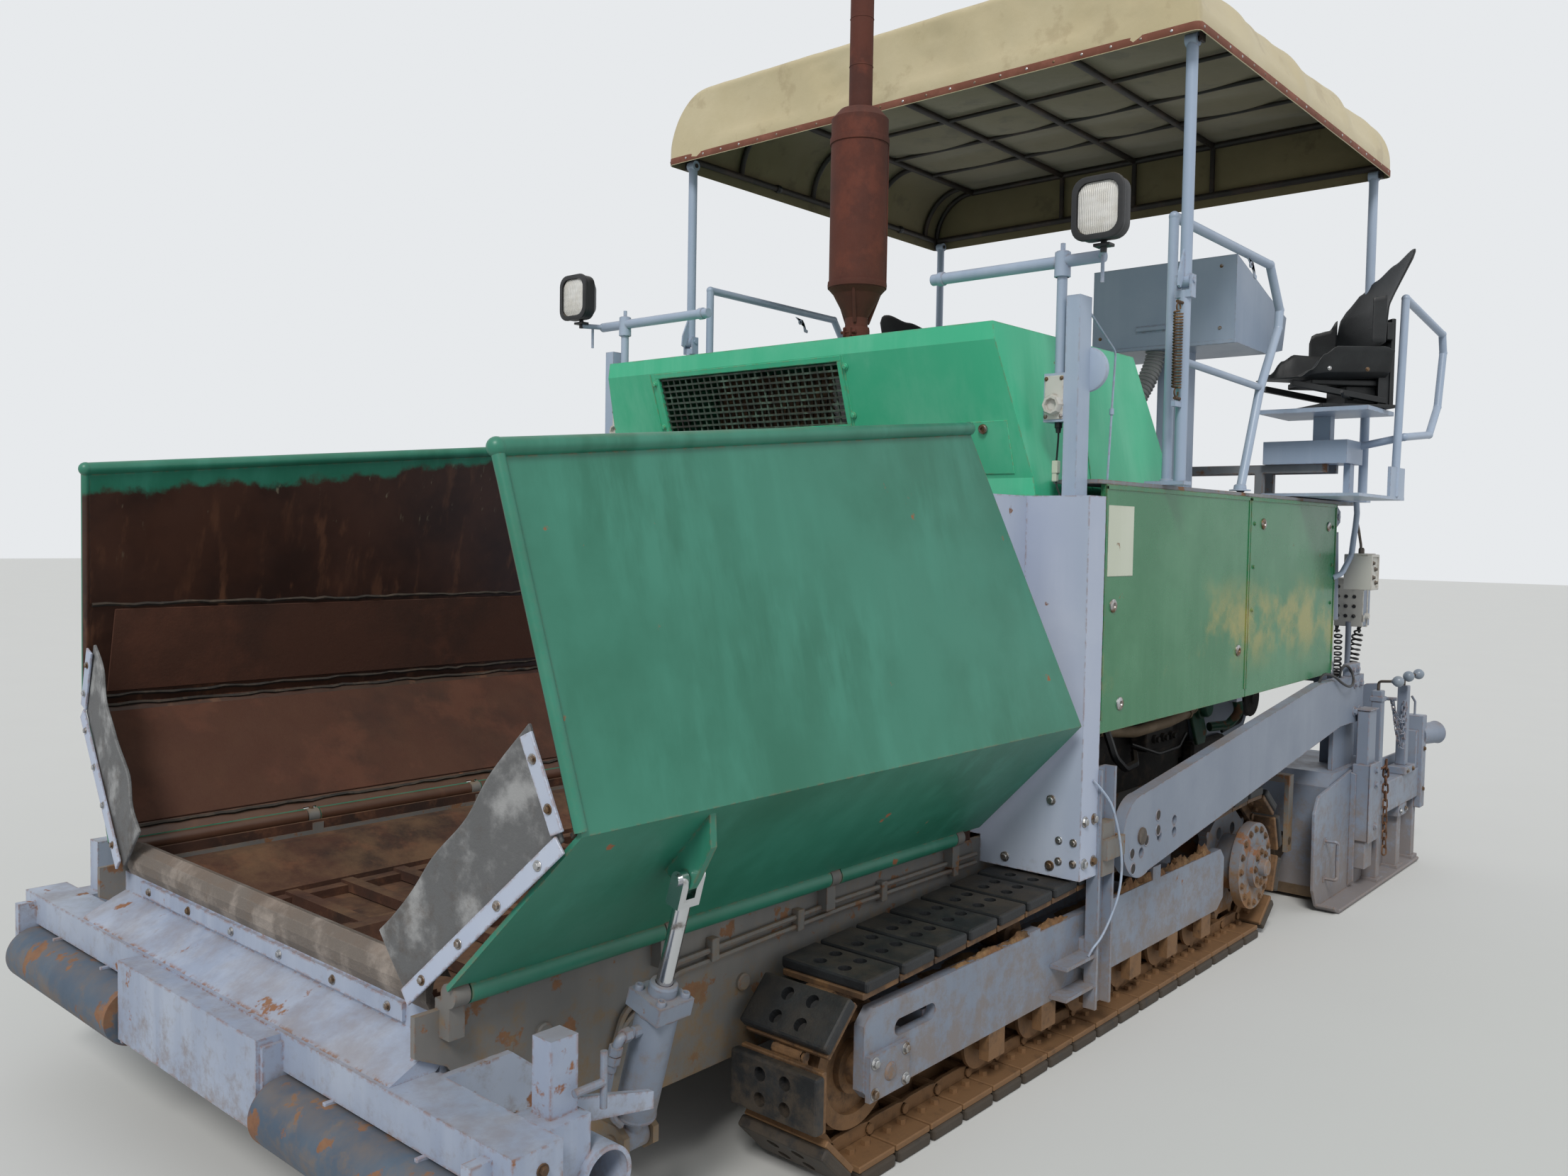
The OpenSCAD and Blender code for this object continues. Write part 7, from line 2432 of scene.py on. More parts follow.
@dataclass
class Screed:
    """The screed's side gear: end plates, guides, beams, skids, chains and knobs."""

    wall: float = 1.2355
    out: float = 1.340

    def plate(self) -> bpy.types.Object:
        """Makes one end plate with its handle, fold and skid."""
        parts = Kit()
        parts.plate(
            "end",
            [
                (-1.600, 0.024), (-1.545, 0.110), (-1.533, 0.470), (-1.585, 0.545), (-2.060, 0.607),
                (-2.900, 0.597), (-2.957, 0.500), (-2.957, 0.024)
            ],
            self.wall, 1.2500, Across.Y, 0.003, 2
        )
        parts.plate(
            "skid",
            [
                (1.2362, 0.004), (self.out, 0.004), (self.out + 0.004, 0.016), (self.out, 0.022), (1.2520, 0.026),
                (1.2362, 0.026)
            ],
            -2.985, -1.640, Across.X, 0.002
        )
        parts.plate(
            "nose", [(-1.640, 0.004), (-1.600, 0.028), (-1.603, 0.040), (-1.645, 0.022)], 1.2362, self.out - 0.01,
            Across.Y, 0.002
        )
        handle = [
            (-1.690, 1.249, 0.320), (-1.690, 1.300, 0.322), (-1.700, 1.306, 0.315), (-1.716, 1.300, 0.230),
            (-1.712, 1.304, 0.150), (-1.700, 1.300, 0.140), (-1.700, 1.249, 0.140)
        ]
        parts.pipe("handle", handle, 0.0085, 10, 0.014)
        for z in (0.320, 0.140):
            parts.block("handle_foot", (-1.715, 1.2495, z - 0.014), (-1.675, 1.2535, z + 0.014), 0.0015)
        parts.plate(
            "fold", [(1.2495, 0.03), (1.2760, 0.06), (1.2760, 0.590), (1.2495, 0.600)], -2.060, -2.046, Across.X,
            0.002
        )
        return Workshop.join("end_plate", parts)

    def gear(self) -> bpy.types.Object:
        """Makes the guide column, the beam, the ribs and the rear clamp of one side."""
        o, parts = self.out, Kit()
        parts.plate(
            "guide", [(-2.060, 1.251), (-2.240, 1.251), (-2.240, o - 0.006), (-2.060, o - 0.006)], 0.260, 0.640,
            Across.Z, 0.004
        )
        parts.plate(
            "guide_inner", [(-2.075, 1.262), (-2.190, 1.262), (-2.190, o - 0.020), (-2.075, o - 0.020)], 0.120,
            0.905, Across.Z, 0.004
        )
        parts.plate(
            "guide_face", [(-2.052, 0.255), (-2.052, 0.645), (-2.226, 0.645), (-2.226, 0.255)], o - 0.007, o,
            Across.Y, 0.003
        )
        parts.plate(
            "guide_cap", [(-2.068, 1.256), (-2.200, 1.256), (-2.200, o - 0.012), (-2.068, o - 0.012)], 0.9045,
            0.912, Across.Z, 0.002
        )
        parts.block("beam", (-3.020, 1.258, 0.362), (-2.239, o - 0.002, 0.520), 0.006, 2)
        parts.block("beam_end", (-3.028, 1.262, 0.356), (-3.019, o + 0.002, 0.526), 0.002)
        for x0, x1 in ((-2.340, -2.280), (-2.700, -2.630), (-2.975, -2.915)):
            parts.block("rib", (x0, 1.2495, 0.024), (x1, 1.318, 0.363), 0.003)
            parts.block("rib_foot", (x0 - 0.02, 1.2495, 0.0215), (x1 + 0.02, 1.330, 0.038), 0.002)
        parts.block("lug", (-2.735, 1.262, 0.300), (-2.595, 1.335, 0.363), 0.004)
        parts.block("foot_block", (-2.800, 1.262, 0.519), (-2.620, 1.352, 0.560), 0.005)
        parts.block("post", (-2.745, 1.280, 0.559), (-2.690, 1.330, 0.980), 0.005)
        parts.block("post", (-2.350, 1.262, 0.519), (-2.295, 1.312, 0.985), 0.005)
        parts.block("collar", (-2.356, 1.256, 0.930), (-2.289, 1.318, 0.955), 0.003)
        parts.plate(
            "cheek",
            [
                (1.060, 0.600), (1.060, 0.830), (1.078, 0.905), (1.115, 0.960), (1.165, 0.990), (1.232, 0.998),
                (1.232, 0.600)
            ],
            -2.560, -2.544, Across.X, 0.003, 2
        )
        parts.plate(
            "clamp_post", [(-2.930, 1.262), (-3.000, 1.262), (-3.000, o + 0.014), (-2.930, o + 0.014)], 0.300,
            0.800, Across.Z, 0.004
        )
        parts.plate(
            "clamp_shoe", [(-2.900, 1.262), (-2.931, 1.262), (-2.931, o - 0.01), (-2.900, o - 0.01)], 0.519, 0.720,
            Across.Z, 0.003
        )
        for x in (-3.040, -3.072):
            parts.plate(
                "stop", [(x, 1.270), (x - 0.020, 1.270), (x - 0.020, o - 0.012), (x, o - 0.012)], 0.330, 0.600,
                Across.Z, 0.003
            )
        for z in (0.40, 0.54):
            parts.bar("stop_rod", (-3.000, 1.305, z), (-3.085, 1.305, z), 0.012, 12)
        parts.turned(
            "tube", [(0.050, 0.0), (0.050, 0.125), (0.058, 0.130), (0.062, 0.122), (0.058, 0.110), (0.056, 0.0)],
            (-3.000, 1.320, 0.690), (-0.86, 0.42, 0.05), 28
        )
        parts.bar("tube_back", (-2.985, 1.313, 0.689), (-3.003, 1.322, 0.690), 0.056, 24)
        parts.pipe(
            "wing_nut", [(-2.965, 1.300, 0.799), (-2.965, 1.300, 0.870), (-2.950, 1.286, 0.900)], 0.006, 8, 0.01
        )
        return Workshop.join("screed_guides", parts)

    def knobs(self) -> tuple[bpy.types.Object, bpy.types.Object]:
        """Makes the cranks and their ball knobs."""
        rods, balls = Kit(), Kit()
        for x, y, z, way in (
            (-2.322, 1.287, 0.985, (0.30, 0.95, 0.10)), (-2.718, 1.305, 0.980, (0.9, 0.42, 0.12)),
            (-2.718, 1.305, 0.980, (-0.9, 0.42, 0.10))
        ):
            foot = Vector((x, y, z))
            top = foot + Vector((0, 0, 0.045))
            end = top + Vector(way).normalized() * 0.105
            rods.pipe("crank", [tuple(foot), tuple(top), tuple(end)], 0.0070, 8, 0.02)
            balls.turned(
                "ball",
                [
                    (0.0, 0.028), (0.010, 0.0265), (0.020, 0.0195), (0.0265, 0.0085), (0.028, 0.0),
                    (0.0265, -0.0085), (0.020, -0.0195), (0.012, -0.0255), (0.011, -0.030), (0.0, -0.030)
                ],
                tuple(end), tuple(Vector(way)), 20
            )
        rods.turned(
            "turnbuckle",
            [
                (0.0, -0.09), (0.010, -0.09), (0.010, -0.06), (0.017, -0.055), (0.017, 0.055), (0.010, 0.06),
                (0.010, 0.09), (0.0, 0.09)
            ],
            (-2.28, 1.150, 0.74), (0, 0.3, 1), 12
        )
        return Workshop.join("crank_rods", rods), Workshop.join("crank_knobs", balls)

    def boxes(self) -> tuple[bpy.types.Object, bpy.types.Object]:
        """Adds lids, hinges, keys and sockets to the remote control boxes."""
        parts, keys = Kit(), Kit()
        parts.block("lid", (-2.382, 1.016, 1.296), (-2.374, 1.184, 1.544), 0.003)
        parts.block("rim", (-2.452, 1.014, 1.294), (-2.446, 1.186, 1.546), 0.002)
        parts.block("visor", (-2.420, 1.010, 1.5395), (-2.352, 1.190, 1.547), 0.002)
        for z in (1.34, 1.50):
            parts.turned(
                "hinge", [(0.0, -0.016), (0.006, -0.016), (0.006, 0.016), (0.0, 0.016)], (-2.376, 1.187, z),
                (0, 0, 1), 10
            )
        for i, z in enumerate((1.350, 1.400, 1.450, 1.500)):
            for j, y in enumerate((1.060, 1.100, 1.140)):
                if (i + j) % 3 == 2:
                    keys.turned(
                        "key", [(0.0, 0.018), (0.004, 0.018), (0.005, 0.012), (0.009, 0.010), (0.010, 0.0)],
                        (-2.3745, y, z), (1, 0, 0), 10
                    )
                else:
                    keys.turned(
                        "key", [(0.0, 0.006), (0.008, 0.006), (0.009, 0.004), (0.010, 0.0)], (-2.3745, y, z),
                        (1, 0, 0), 12
                    )
        parts.turned(
            "socket", [(0.0, 0.020), (0.014, 0.020), (0.017, 0.014), (0.017, -0.002)], (-2.43, 1.179, 1.35),
            (0, 1, 0), 14
        )
        parts.turned(
            "clamp", [(0.0145, -0.016), (0.021, -0.014), (0.021, 0.014), (0.0145, 0.016)], (-2.380, 1.115, 1.020),
            (0, 0, 1), 20
        )
        return Workshop.join("remote_lids", parts), Workshop.join("remote_keys", keys)

    def walkway(self) -> bpy.types.Object:
        """Lays the tread bars and the cross bars on the rear step."""
        parts = Kit()
        for i in range(15):
            x = -2.785 - i * 0.0205
            parts.block("tread", (x - 0.003, -1.205, 0.3495), (x + 0.003, 1.205, 0.3560), 0.0008, 1)
        for y in range(-11, 12, 2):
            parts.block("cross", (-3.080, y / 10 - 0.004, 0.3495), (-2.770, y / 10 + 0.004, 0.3548), 0.0008, 1)
        return Workshop.join("step_treads", parts)

    def build(self) -> None:
        """Fits out both sides of the screed."""
        rods, balls = self.knobs()
        lids, keys = self.boxes()
        rusty = Link.chain(
            "hoist_chain", [(-2.262, 1.352, 0.640), (-2.264, 1.354, 0.45), (-2.270, 1.356, 0.17)], 0.040, 0.0048
        )
        hook = Workshop.pipe(
            "hook",
            [(-2.235, 1.330, 0.600), (-2.250, 1.350, 0.612), (-2.262, 1.354, 0.632), (-2.262, 1.354, 0.652)], 0.006,
            8, 0.01
        )
        rusty = Workshop.join("hoist_chain", [rusty, hook])
        slack = []
        for dx, deep in ((0.0, 0.17), (-0.012, 0.25), (0.014, 0.11)):
            line = []
            for t in (i / 12 for i in range(13)):
                z = 0.93 - deep * 4 * t * (1 - t) - 0.03 * t
                line.append((-2.44 - 0.24 * t + dx, 1.322 + 0.018 * math.sin(math.pi * t), z))
            slack.append(Link.chain("loop", line, 0.030, 0.0036))
        peg = Workshop.bar("peg", (-2.436, 1.232, 0.931), (-2.436, 1.345, 0.935), 0.009, 12)
        rail = Workshop.block("rail", (-2.452, 1.2370, 0.600), (-2.420, 1.2580, 0.960), 0.003)
        slack = Workshop.join("slack_chain", [*slack, peg, rail])
        for model, name, finish, slot in (
            (self.plate(), "end_plate", Palette.grey, "grey_paint"),
            (self.gear(), "screed_guides", Palette.grey, "grey_paint"),
            (rods, "crank_rods", Palette.tool_steel, "grey_paint"),
            (balls, "crank_knobs", Palette.ball, "grey_paint"),
            (lids, "remote_lids", Palette.box_grey, "grey_paint"),
            (keys, "remote_keys", Palette.plastic, "black_plastic"), (rusty, "hoist_chain", Palette.chain, "rust"),
            (slack, "slack_chain", Palette.grey, "grey_paint")
        ):
            for side, sign in (("right", -1), ("left", 1)):
                obj = Workshop.mirrored(f"{name}_{side}", model) if sign < 0 else model
                obj.name = f"{name}_{side}"
                Workshop.hand_in(obj, "screed", slot, finish)
                if name == "end_plate" and sign > 0:
                    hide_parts("end_plates")
        Workshop.hand_in(self.walkway(), "screed", "deck_steel", Palette.deck)
        o = self.out
        Bolts.put(
            "guide_bolts", 0.014, [(-2.140, o, 0.538), (-2.146, o, 0.330), (-2.140, o - 0.001, 0.610)], (0, 1, 0),
            Palette.grey, "screed", "grey_paint"
        )
        Bolts.put(
            "screed_bolts", 0.010,
            [
                (-2.62, o - 0.002, 0.33), (-2.71, o - 0.002, 0.33), (-2.66, 1.352, 0.540), (-2.76, 1.352, 0.540),
                (-2.965, o + 0.014, 0.62), (-2.965, o + 0.014, 0.40)
            ],
            (0, 1, 0), Palette.zinc, "screed", "grey_paint"
        )
        arm = [(x, 1.250, z) for x, z in ((-2.06, 1.035), (-2.14, 1.035), (-2.06, 0.90), (-2.14, 0.90))]
        Bolts.put("arm_bolts", 0.017, arm, (0, 1, 0), Palette.grey, "screed", "grey_paint")


@dataclass
class ArmPockets:
    """The set of bored holes, each shown as a rim round a flat dark disc of painted shade, and the lug at the front
    of each tow arm.
    """

    face: float = 1.250

    def build(self) -> None:
        """Rims the holes, lays a painted-shade disc in each and dresses the arm's rear bracket."""
        rims, hole_shade_discs = Kit(), Kit()
        for x, z in ((0.372, 0.640), (0.362, 0.585), (0.262, 0.668), (0.168, 0.742), (0.166, 0.688)):
            rims.turned(
                "rim", [(0.0170, 0.0008), (0.0185, 0.0022), (0.0215, 0.0022), (0.0230, -0.001)], (x, self.face, z),
                (0, 1, 0), 20
            )
            # painted shade: a flat dark disc stands for the shade inside each hole
            hole_shade_discs.turned(
                "bore", [(0.0, 0.0008), (0.0168, 0.0008), (0.0180, -0.0005)], (x, self.face, z), (0, 1, 0), 20
            )
        for x in (-1.76, -1.92):
            rims.block("clip", (x - 0.012, 1.214, 1.0745), (x + 0.012, 1.242, 1.0800), 0.0015)
        rims.block("rear_lug", (-2.150, 1.2100, 1.0740), (-1.990, 1.2460, 1.1350), 0.004)
        for name, parts, finish, slot in (
            ("arm_rims", rims, Palette.grey, "grey_paint"), ("arm_hole_shades", hole_shade_discs, Palette.dark, "dusty_iron")
        ):
            both = Workshop.paired(name, Workshop.join(name, parts))
            Workshop.hand_in(both, "screed", slot, finish)
        Bolts.put(
            "lug_bolts", 0.013, [(-2.035, 1.246, 1.105), (-2.105, 1.246, 1.105)], (0, 1, 0), Palette.grey, "screed",
            "grey_paint"
        )


@dataclass
class Platform:
    """Small gear on the deck: console trim, boot, hooks, pipes and the spare box."""

    front: float = -1.110

    def console(self) -> None:
        """Trims the console and sets its screws, gauges, levers and steering wheel."""
        parts = Kit()
        parts.block("grip", (self.front - 0.001, 0.506, 2.690), (self.front + 0.016, 0.648, 2.712), 0.004, 2)
        parts.block("grip_back", (self.front - 0.001, 0.500, 2.684), (self.front + 0.003, 0.654, 2.718), 0.0015)
        parts.plate(
            "hem", [(-1.118, 2.604), (-1.118, 2.622), (-1.104, 2.622), (-1.104, 2.604)], 0.276, 0.974, Across.Y,
            0.002
        )
        lid = [(-1.125, 2.9905), (-1.500, 2.8705), (-1.500, 2.8765), (-1.123, 2.9970)]
        parts.plate("lid", lid, 0.290, 0.960, Across.Y, 0.002)
        for y in (0.30, 0.95):
            parts.plate(
                "rim", [(-1.505, 2.8690), (-1.735, 2.8020), (-1.733, 2.8120), (-1.503, 2.8790)], y - 0.006,
                y + 0.006, Across.Y, 0.0015
            )
        parts.hand_in("console_trim", "tractor", "grey_paint", Palette.rail)
        dots = [(self.front, y, z) for y in (0.320, 0.900) for z in (2.676, 2.950)]
        Bolts.put("console_screws", 0.006, dots, (1, 0, 0), Palette.zinc, "tractor", "grey_paint", mirror=False)
        panel, knobs = Kit(), Kit()
        way = Vector((-0.28, 0, 0.96)).normalized()
        for i, (x, y) in enumerate(
            (x, y) for x in (-1.555, -1.615, -1.675) for y in (0.36, 0.43, 0.50, 0.57, 0.68, 0.75, 0.82, 0.89)
        ):
            z = 2.870 + (x + 1.500) * 0.2917 + 0.0005
            if i % 8 in (3, 4) and i < 16:
                panel.turned(
                    "gauge",
                    [(0.0, 0.003), (0.022, 0.003), (0.024, 0.010), (0.028, 0.010), (0.030, 0.006), (0.030, -0.001)],
                    (x, y, z), tuple(way), 20
                )
            elif i % 3 == 0:
                knobs.turned(
                    "lever",
                    [
                        (0.0, 0.052), (0.006, 0.051), (0.009, 0.044), (0.005, 0.032), (0.0035, 0.006),
                        (0.010, 0.004), (0.011, -0.001)
                    ],
                    (x, y, z), tuple(way), 10
                )
            else:
                knobs.turned(
                    "button", [(0.0, 0.010), (0.009, 0.010), (0.011, 0.007), (0.012, -0.001)], (x, y, z),
                    tuple(way), 12
                )
        panel.hand_in("console_gauges", "tractor", "chrome", Palette.bowl)
        knobs.hand_in("console_levers", "tractor", "black_plastic", Palette.plastic)
        wheel = Workshop.turned(
            "wheel",
            [
                (0.118, -0.012), (0.130, -0.010), (0.136, 0.0), (0.130, 0.010), (0.118, 0.012), (0.112, 0.0),
                (0.118, -0.012)
            ],
            (-1.640, 0.625, 2.960), tuple(way), 36
        )
        hub = Kit()
        hub.turned(
            "hub",
            [(0.0, 0.010), (0.030, 0.008), (0.036, 0.0), (0.026, -0.020), (0.018, -0.120), (0.024, -0.126)],
            (-1.640, 0.625, 2.960), tuple(way), 20
        )
        turn = way.to_track_quat("Z", "Y").to_matrix()
        for k in range(3):
            a = math.tau * k / 3 + 0.5
            end = Vector((-1.640, 0.625, 2.960)) + turn @ Vector((0.116 * math.cos(a), 0.116 * math.sin(a), 0))
            hub.bar("spoke", (-1.640, 0.625, 2.957), tuple(end), 0.008, 10)
        Workshop.hand_in(
            Workshop.join("steering_wheel", [wheel, *hub]), "tractor", "black_plastic", Palette.plastic
        )

    def boot(self) -> None:
        """Winds the ribbed boot from the console down behind the hood."""
        line = Route.even(
            Route.smooth(
                [
                    (-1.200, 0.560, 2.612), (-1.195, 0.556, 2.560), (-1.165, 0.540, 2.480), (-1.120, 0.515, 2.390),
                    (-1.085, 0.495, 2.290), (-1.075, 0.485, 2.180), (-1.080, 0.480, 2.060), (-1.080, 0.480, 1.930)
                ],
                8
            ),
            76
        )
        rings, radii = Kit(), [0.047 if i % 2 else 0.039 for i in range(len(line))]
        rings.pipe("boot_core", [tuple(p) for p in line], 0.038, 20)
        for i in range(1, len(line) - 1, 2):
            way = (line[i + 1] - line[i - 1]).normalized()
            rings.turned(
                "rib",
                [
                    (0.037, -0.0062), (radii[i] - 0.003, -0.0042), (radii[i], 0.0), (radii[i] - 0.003, 0.0042),
                    (0.037, 0.0062)
                ],
                tuple(line[i]), tuple(way), 20
            )
        rings.turned(
            "boot_flange", [(0.036, 0.012), (0.058, 0.010), (0.062, 0.0), (0.036, -0.001)], (-1.080, 0.480, 1.925),
            (0, 0, 1), 24
        )
        rings.hand_in("ribbed_boot", "tractor", "grey_paint", Palette.boot)

    def rails(self) -> None:
        """Adds the hooks, feet and the bent pipe on the rails."""
        parts = Kit()
        for s in (1, -1):
            parts.plate(
                "hook",
                [
                    (-0.640, 2.868), (-0.700, 2.858), (-0.716, 2.800), (-0.738, 2.796), (-0.740, 2.808),
                    (-0.726, 2.812), (-0.708, 2.846), (-0.680, 2.842)
                ],
                s * 1.1945 - 0.003, s * 1.1945 + 0.003, Across.Y, 0.001
            )
            parts.turned(
                "eye", [(0.006, -0.004), (0.013, -0.003), (0.013, 0.003), (0.006, 0.004)],
                (-0.680, s * 1.1945, 2.845), (0, 1, 0), 16
            )
            for x, z in ((0.020, 1.9245), (-0.690, 1.9325)):
                parts.turned(
                    "foot",
                    [
                        (0.0185, 0.026), (0.024, 0.022), (0.026, 0.006), (0.042, 0.004), (0.043, -0.0005),
                        (0.0185, -0.0005)
                    ],
                    (x, s * 1.176, z), (0, 0, 1), 24
                )
            pipe = [
                (-1.838, s * 1.196, 1.560), (-1.864, s * 1.228, 1.578), (-1.905, s * 1.232, 1.612),
                (-1.985, s * 1.234, 1.668), (-2.002, s * 1.236, 1.745), (-2.010, s * 1.240, 1.800),
                (-2.010, s * 1.245, 1.870), (-1.995, s * 1.245, 1.928)
            ]
            parts.pipe("grab_pipe", pipe, 0.0135, 12, 0.05)
            line = [
                (0.615, s * 1.140, 2.500), (0.560, s * 1.140, 2.472), (0.380, s * 1.140, 2.372),
                (0.395, s * 1.140, 2.200), (0.418, s * 1.140, 1.912)
            ]
            parts.pipe("tie_line", line, 0.0042, 8, 0.03)
            parts.turned(
                "nipple", [(0.0045, -0.012), (0.008, -0.010), (0.008, 0.010), (0.0045, 0.012)],
                (0.398, s * 1.140, 2.165), (0, 0, 1), 10
            )
        parts.hand_in("rail_fittings", "tractor", "grey_paint", Palette.rail)
        reels = Kit()
        for s in (1, -1):
            reels.turned(
                "reel",
                [(0.0, 0.012), (0.060, 0.012), (0.072, 0.008), (0.075, 0.0), (0.072, -0.010), (0.0, -0.012)],
                (0.602, s * 1.152, 2.285), (1, 0, 0), 32
            )
            for k in range(6):
                a = math.tau * k / 6
                reels.turned(
                    "boss", [(0.0, -0.004), (0.006, -0.004), (0.008, -0.001), (0.008, 0.004)],
                    (0.589, s * 1.152 + 0.05 * math.cos(a), 2.285 + 0.05 * math.sin(a)), (1, 0, 0), 8
                )
        reels.hand_in("horn_discs", "tractor", "grey_paint", Palette.rail)

    def spare_box(self) -> None:
        """Hangs the second remote box, open at its side, from the bent pipe."""
        for side, s in SIDES:
            low, high = sorted((s * 1.200, s * 1.330))
            box = Workshop.block("box", (-2.105, low, 1.500), (-1.985, high, 1.672), 0.004)
            a, b = sorted((s * 1.322, s * 1.345))
            hollow = Workshop.block("hollow", (-2.095, a, 1.512), (-1.995, b, 1.660), 0.002)
            box = Workshop.cut(box, [hollow])
            rim = Workshop.block("rim", (-2.110, low + 0.02, 1.668), (-1.980, high - 0.02, 1.676), 0.002)
            box = Workshop.smooth(Workshop.join("box", [box, rim]))
            Workshop.hand_in(box, "tractor", "grey_paint", Palette.box_grey).name = "spare_box_" + side
            inner = Kit()
            for x, z in ((-2.02, 1.63), (-2.06, 1.60), (-2.03, 1.56), (-2.07, 1.535)):
                inner.turned(
                    "pin", [(0.0, 0.012), (0.007, 0.012), (0.009, 0.004), (0.012, 0.002), (0.012, -0.001)],
                    (x, s * 1.322, z), (0, s, 0), 10
                )
            inner.pipe(
                "stalk",
                [
                    (-2.045, s * 1.262, 1.670), (-2.045, s * 1.258, 1.720), (-2.030, s * 1.250, 1.790),
                    (-2.012, s * 1.245, 1.835)
                ],
                0.0065, 8, 0.02
            )
            inner.turned(
                "nut", [(0.0, 0.03), (0.010, 0.03), (0.014, 0.022), (0.014, 0.0)], (-2.045, s * 1.262, 1.674),
                (0, 0, 1), 6
            )
            inner.hand_in(
                "spare_box_pins_" + side, "tractor", "rust", Palette.chain if s < 0 else Palette.tool_steel
            )

    def build(self) -> None:
        """Fits out the platform."""
        self.console()
        self.boot()
        self.rails()
        self.spare_box()


@dataclass
class EngineBay:
    """Pipes, hoses and brackets that show under the side panels."""

    def build(self) -> None:
        """Fills both sides of the engine bay."""
        green, brown, black, iron = Kit(), Kit(), Kit(), Kit()
        green.pipe(
            "coolant",
            [
                (-1.080, 0.93, 1.20), (-1.080, 0.97, 1.100), (-1.130, 1.02, 1.030), (-1.150, 1.03, 0.960),
                (-1.100, 1.00, 0.905), (-1.010, 0.95, 0.900)
            ],
            0.021, 12, 0.05
        )
        green.plate(
            "bracket",
            [
                (-0.780, 1.140), (-0.860, 1.140), (-0.930, 1.000), (-1.000, 0.880), (-0.980, 0.830),
                (-0.900, 0.830), (-0.840, 0.940)
            ],
            0.930, 0.946, Across.Y, 0.003
        )
        green.turned(
            "cap", [(0.0, 0.05), (0.036, 0.05), (0.042, 0.042), (0.042, 0.02), (0.052, 0.018), (0.052, -0.002)],
            (-0.900, 0.946, 1.000), (0, 1, 0), 20
        )
        brown.pipe(
            "return_hose",
            [
                (-0.820, 0.95, 1.010), (-0.700, 0.98, 1.000), (-0.450, 1.00, 0.985), (-0.200, 0.98, 0.970),
                (-0.050, 0.90, 0.980)
            ],
            0.024, 12, 0.08
        )
        for x in (-0.79, -0.68):
            brown.turned(
                "clip", [(0.0242, -0.008), (0.0275, -0.008), (0.0275, 0.008), (0.0242, 0.008)],
                (x, 0.958 if x < -0.75 else 0.983, 1.008 if x < -0.75 else 0.999), (1, 0, 0), 20
            )
        black.pipe(
            "fuel_hose",
            [
                (0.050, 0.86, 1.06), (0.060, 0.98, 1.02), (0.030, 1.01, 0.900), (-0.060, 1.01, 0.845),
                (-0.170, 1.00, 0.850), (-0.240, 0.96, 0.880)
            ],
            0.015, 10, 0.05
        )
        black.pipe(
            "pilot_hose",
            [(-0.300, 0.92, 0.900), (-0.450, 0.97, 0.850), (-0.620, 0.98, 0.860), (-0.760, 0.95, 0.900)], 0.007, 8,
            0.08
        )
        black.pipe(
            "pilot_hose",
            [(-1.250, 0.92, 1.050), (-1.330, 0.98, 0.980), (-1.300, 0.98, 0.900), (-1.180, 0.94, 0.860)], 0.009, 8,
            0.05
        )
        iron.plate(
            "wall", [(0.440, 0.686), (0.440, 1.180), (-1.330, 1.180), (-1.330, 0.686)], 0.842, 0.850, Across.Y,
            0.002
        )
        iron.plate(
            "tank", [(-0.950, 0.700), (-0.950, 0.830), (-1.320, 0.830), (-1.320, 0.700)], 0.849, 0.905, Across.Y,
            0.012
        )
        iron.plate(
            "housing",
            [(-1.330, 0.560), (-1.330, 1.120), (-1.600, 1.120), (-1.690, 1.020), (-1.690, 0.640), (-1.640, 0.560)],
            0.04, 0.790, Across.Y, 0.006
        )
        iron.block("manifold", (-0.640, 0.876, 0.860), (-0.380, 0.948, 0.960), 0.008)
        for x in (-0.60, -0.52, -0.44):
            iron.turned(
                "plug", [(0.0, 0.028), (0.012, 0.028), (0.012, 0.016), (0.018, 0.015), (0.018, -0.001)],
                (x, 0.948, 0.910), (0, 1, 0), 8
            )
        iron.turned(
            "filter",
            [
                (0.0, 0.0), (0.040, 0.002), (0.046, 0.012), (0.046, 0.130), (0.050, 0.134), (0.050, 0.160),
                (0.030, 0.164), (0.0, 0.164)
            ],
            (0.300, 0.920, 0.960), (0, 0, 1), 24
        )
        iron.turned(
            "pulley",
            [
                (0.0, 0.03), (0.03, 0.03), (0.034, 0.022), (0.060, 0.020), (0.086, 0.020), (0.090, 0.014),
                (0.076, 0.006), (0.090, -0.002), (0.086, -0.010), (0.0, -0.010)
            ],
            (-1.520, 0.930, 0.985), (0, 1, 0), 28
        )
        for group, name, finish, slot in (
            (green, "bay_green", Palette.engine, "engine_green"),
            (brown, "bay_brown_hose", Palette.brown_hose, "black_tube"),
            (black, "bay_hoses", Palette.lead, "black_tube"), (iron, "bay_iron", Palette.dark, "dusty_iron")
        ):
            both = Workshop.paired(name, Workshop.join(name, group))
            Workshop.hand_in(both, "tractor", slot, finish)


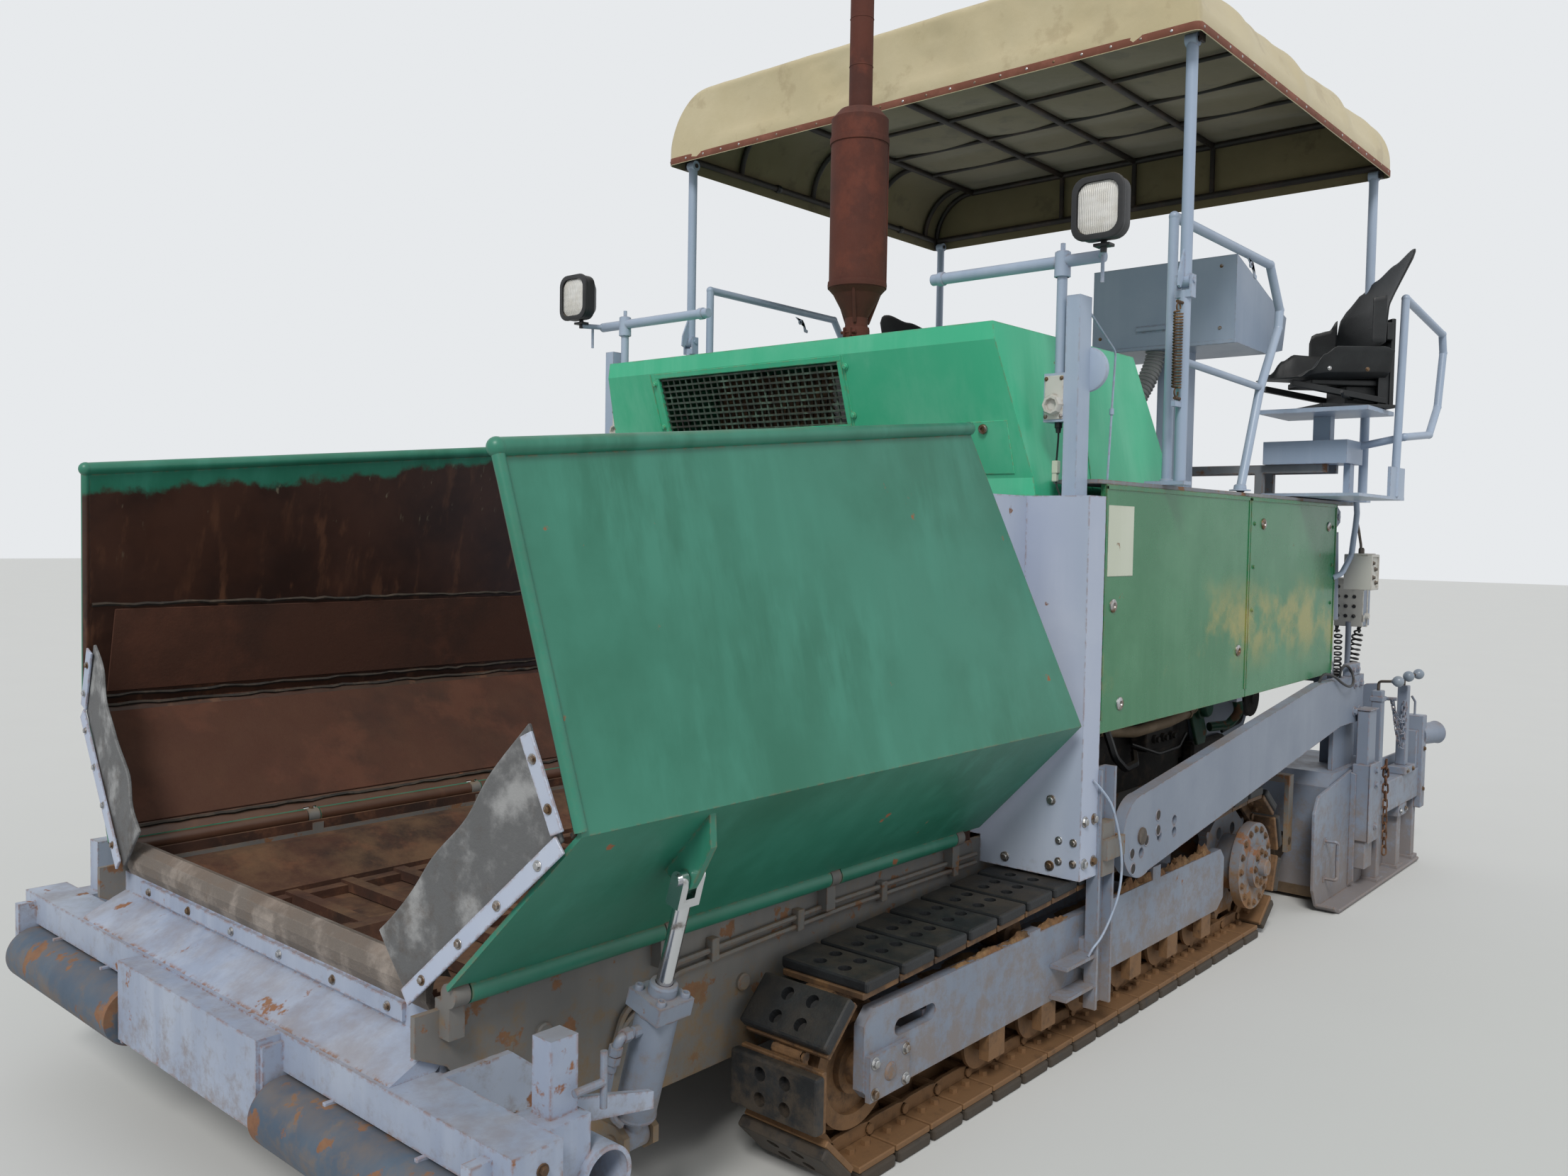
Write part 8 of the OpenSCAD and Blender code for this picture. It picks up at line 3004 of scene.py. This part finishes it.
@dataclass
class Plumbing:
    """Elbows and tubes on the wing rams, and the line along the frame."""

    def build(self) -> None:
        """Pipes up both sides."""
        for side, sign in SIDES:
            m = WingRam().frame(sign)
            parts = Kit()
            parts.pipe(
                "elbow", [(0.070, 0, 0.300), (0.106, 0, 0.300), (0.112, 0, 0.262), (0.112, 0, 0.215)], 0.0115, 12,
                0.022
            )
            parts.pipe(
                "tube", [(0.112, 0, 0.225), (0.112, 0.004, 0.16), (0.096, 0.006, 0.105), (0.062, 0.0, 0.070)],
                0.0085, 10, 0.05
            )
            parts.pipe(
                "tube", [(0.070, 0, 0.120), (0.088, 0, 0.120), (0.092, 0.018, 0.095), (0.062, 0.022, 0.066)],
                0.0085, 10, 0.02
            )
            nut = [(0.0112, -0.010), (0.0165, -0.010), (0.0165, 0.010), (0.0112, 0.010)]
            for place, way in (
                ((0.112, 0, 0.270), (0, 0, 1)), ((0.112, 0, 0.246), (0, 0, 1)), ((0.088, 0, 0.300), (1, 0, 0))
            ):
                parts.turned("nut", nut, place, way, 6)
            obj = Workshop.join("ram_tubes_" + side, parts)
            obj.data.transform(m)
            if sign < 0:
                obj.data.flip_normals()
            Workshop.hand_in(obj, "wing_barrel_" + side, "grey_paint", Palette.grey)
        lines = Kit()
        for s in (1, -1):
            for z0, r in ((0.640, 0.0085), (0.612, 0.0085)):
                route = [
                    (0.760, s * 0.862, z0), (1.500, s * 0.862, z0), (2.180, s * 0.862, z0 - 0.02),
                    (2.360, s * 0.862, z0 - 0.10), (2.400, s * 0.862, z0 - 0.20)
                ]
                lines.pipe("line", route, r, 10, 0.06)
            for x in (0.90, 1.30, 1.70, 2.05):
                a, b = sorted((s * 0.8495, s * 0.876))
                lines.block("clip", (x - 0.014, a, 0.594), (x + 0.014, b, 0.656), 0.003)
            for x, z in ((1.12, 0.52), (1.92, 0.50), (2.60, 0.56)):
                lines.turned(
                    "boss", [(0.0, 0.012), (0.020, 0.012), (0.024, 0.008), (0.024, -0.001)], (x, s * 0.850, z),
                    (0, s, 0), 16
                )
        lines.hand_in("frame_lines", "tractor", "dusty_grey", Palette.dusty)
        tees = Kit()
        for s in (1, -1):
            tees.bar("tee_stem", (2.800, s * 1.205, 0.590), (2.722, s * 1.205, 0.590), 0.009, 12)
            tees.bar("tee_bar", (2.722, s * 1.205, 0.535), (2.722, s * 1.205, 0.655), 0.008, 12)
        tees.hand_in("lock_tees", "tractor", "grey_paint", Palette.grey)
        foot = [(0.7145, y, z) for y in (1.152, 1.205) for z in (0.660, 0.730)]
        Bolts.put("foot_bolts", 0.0095, foot, (1, 0, 0), Palette.zinc, "tractor", "pale_paint")


def main() -> None:
    """Builds every sub-assembly in order."""
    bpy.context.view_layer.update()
    for part in (
        Studio(), Cords(), Carried(), Tracks(), Hopper(), FrontEnd(), WingRam(), Plumbing(), Bodywork(),
        EngineBay(), Stack(), WorkLamps(), Springs(), Platform(), Seats(), ArmPockets(), Screed(), CanopyRoof()
    ):
        part.build()
        LOG.info("%s done", type(part).__name__)


if __name__ == "__main__":
    main()
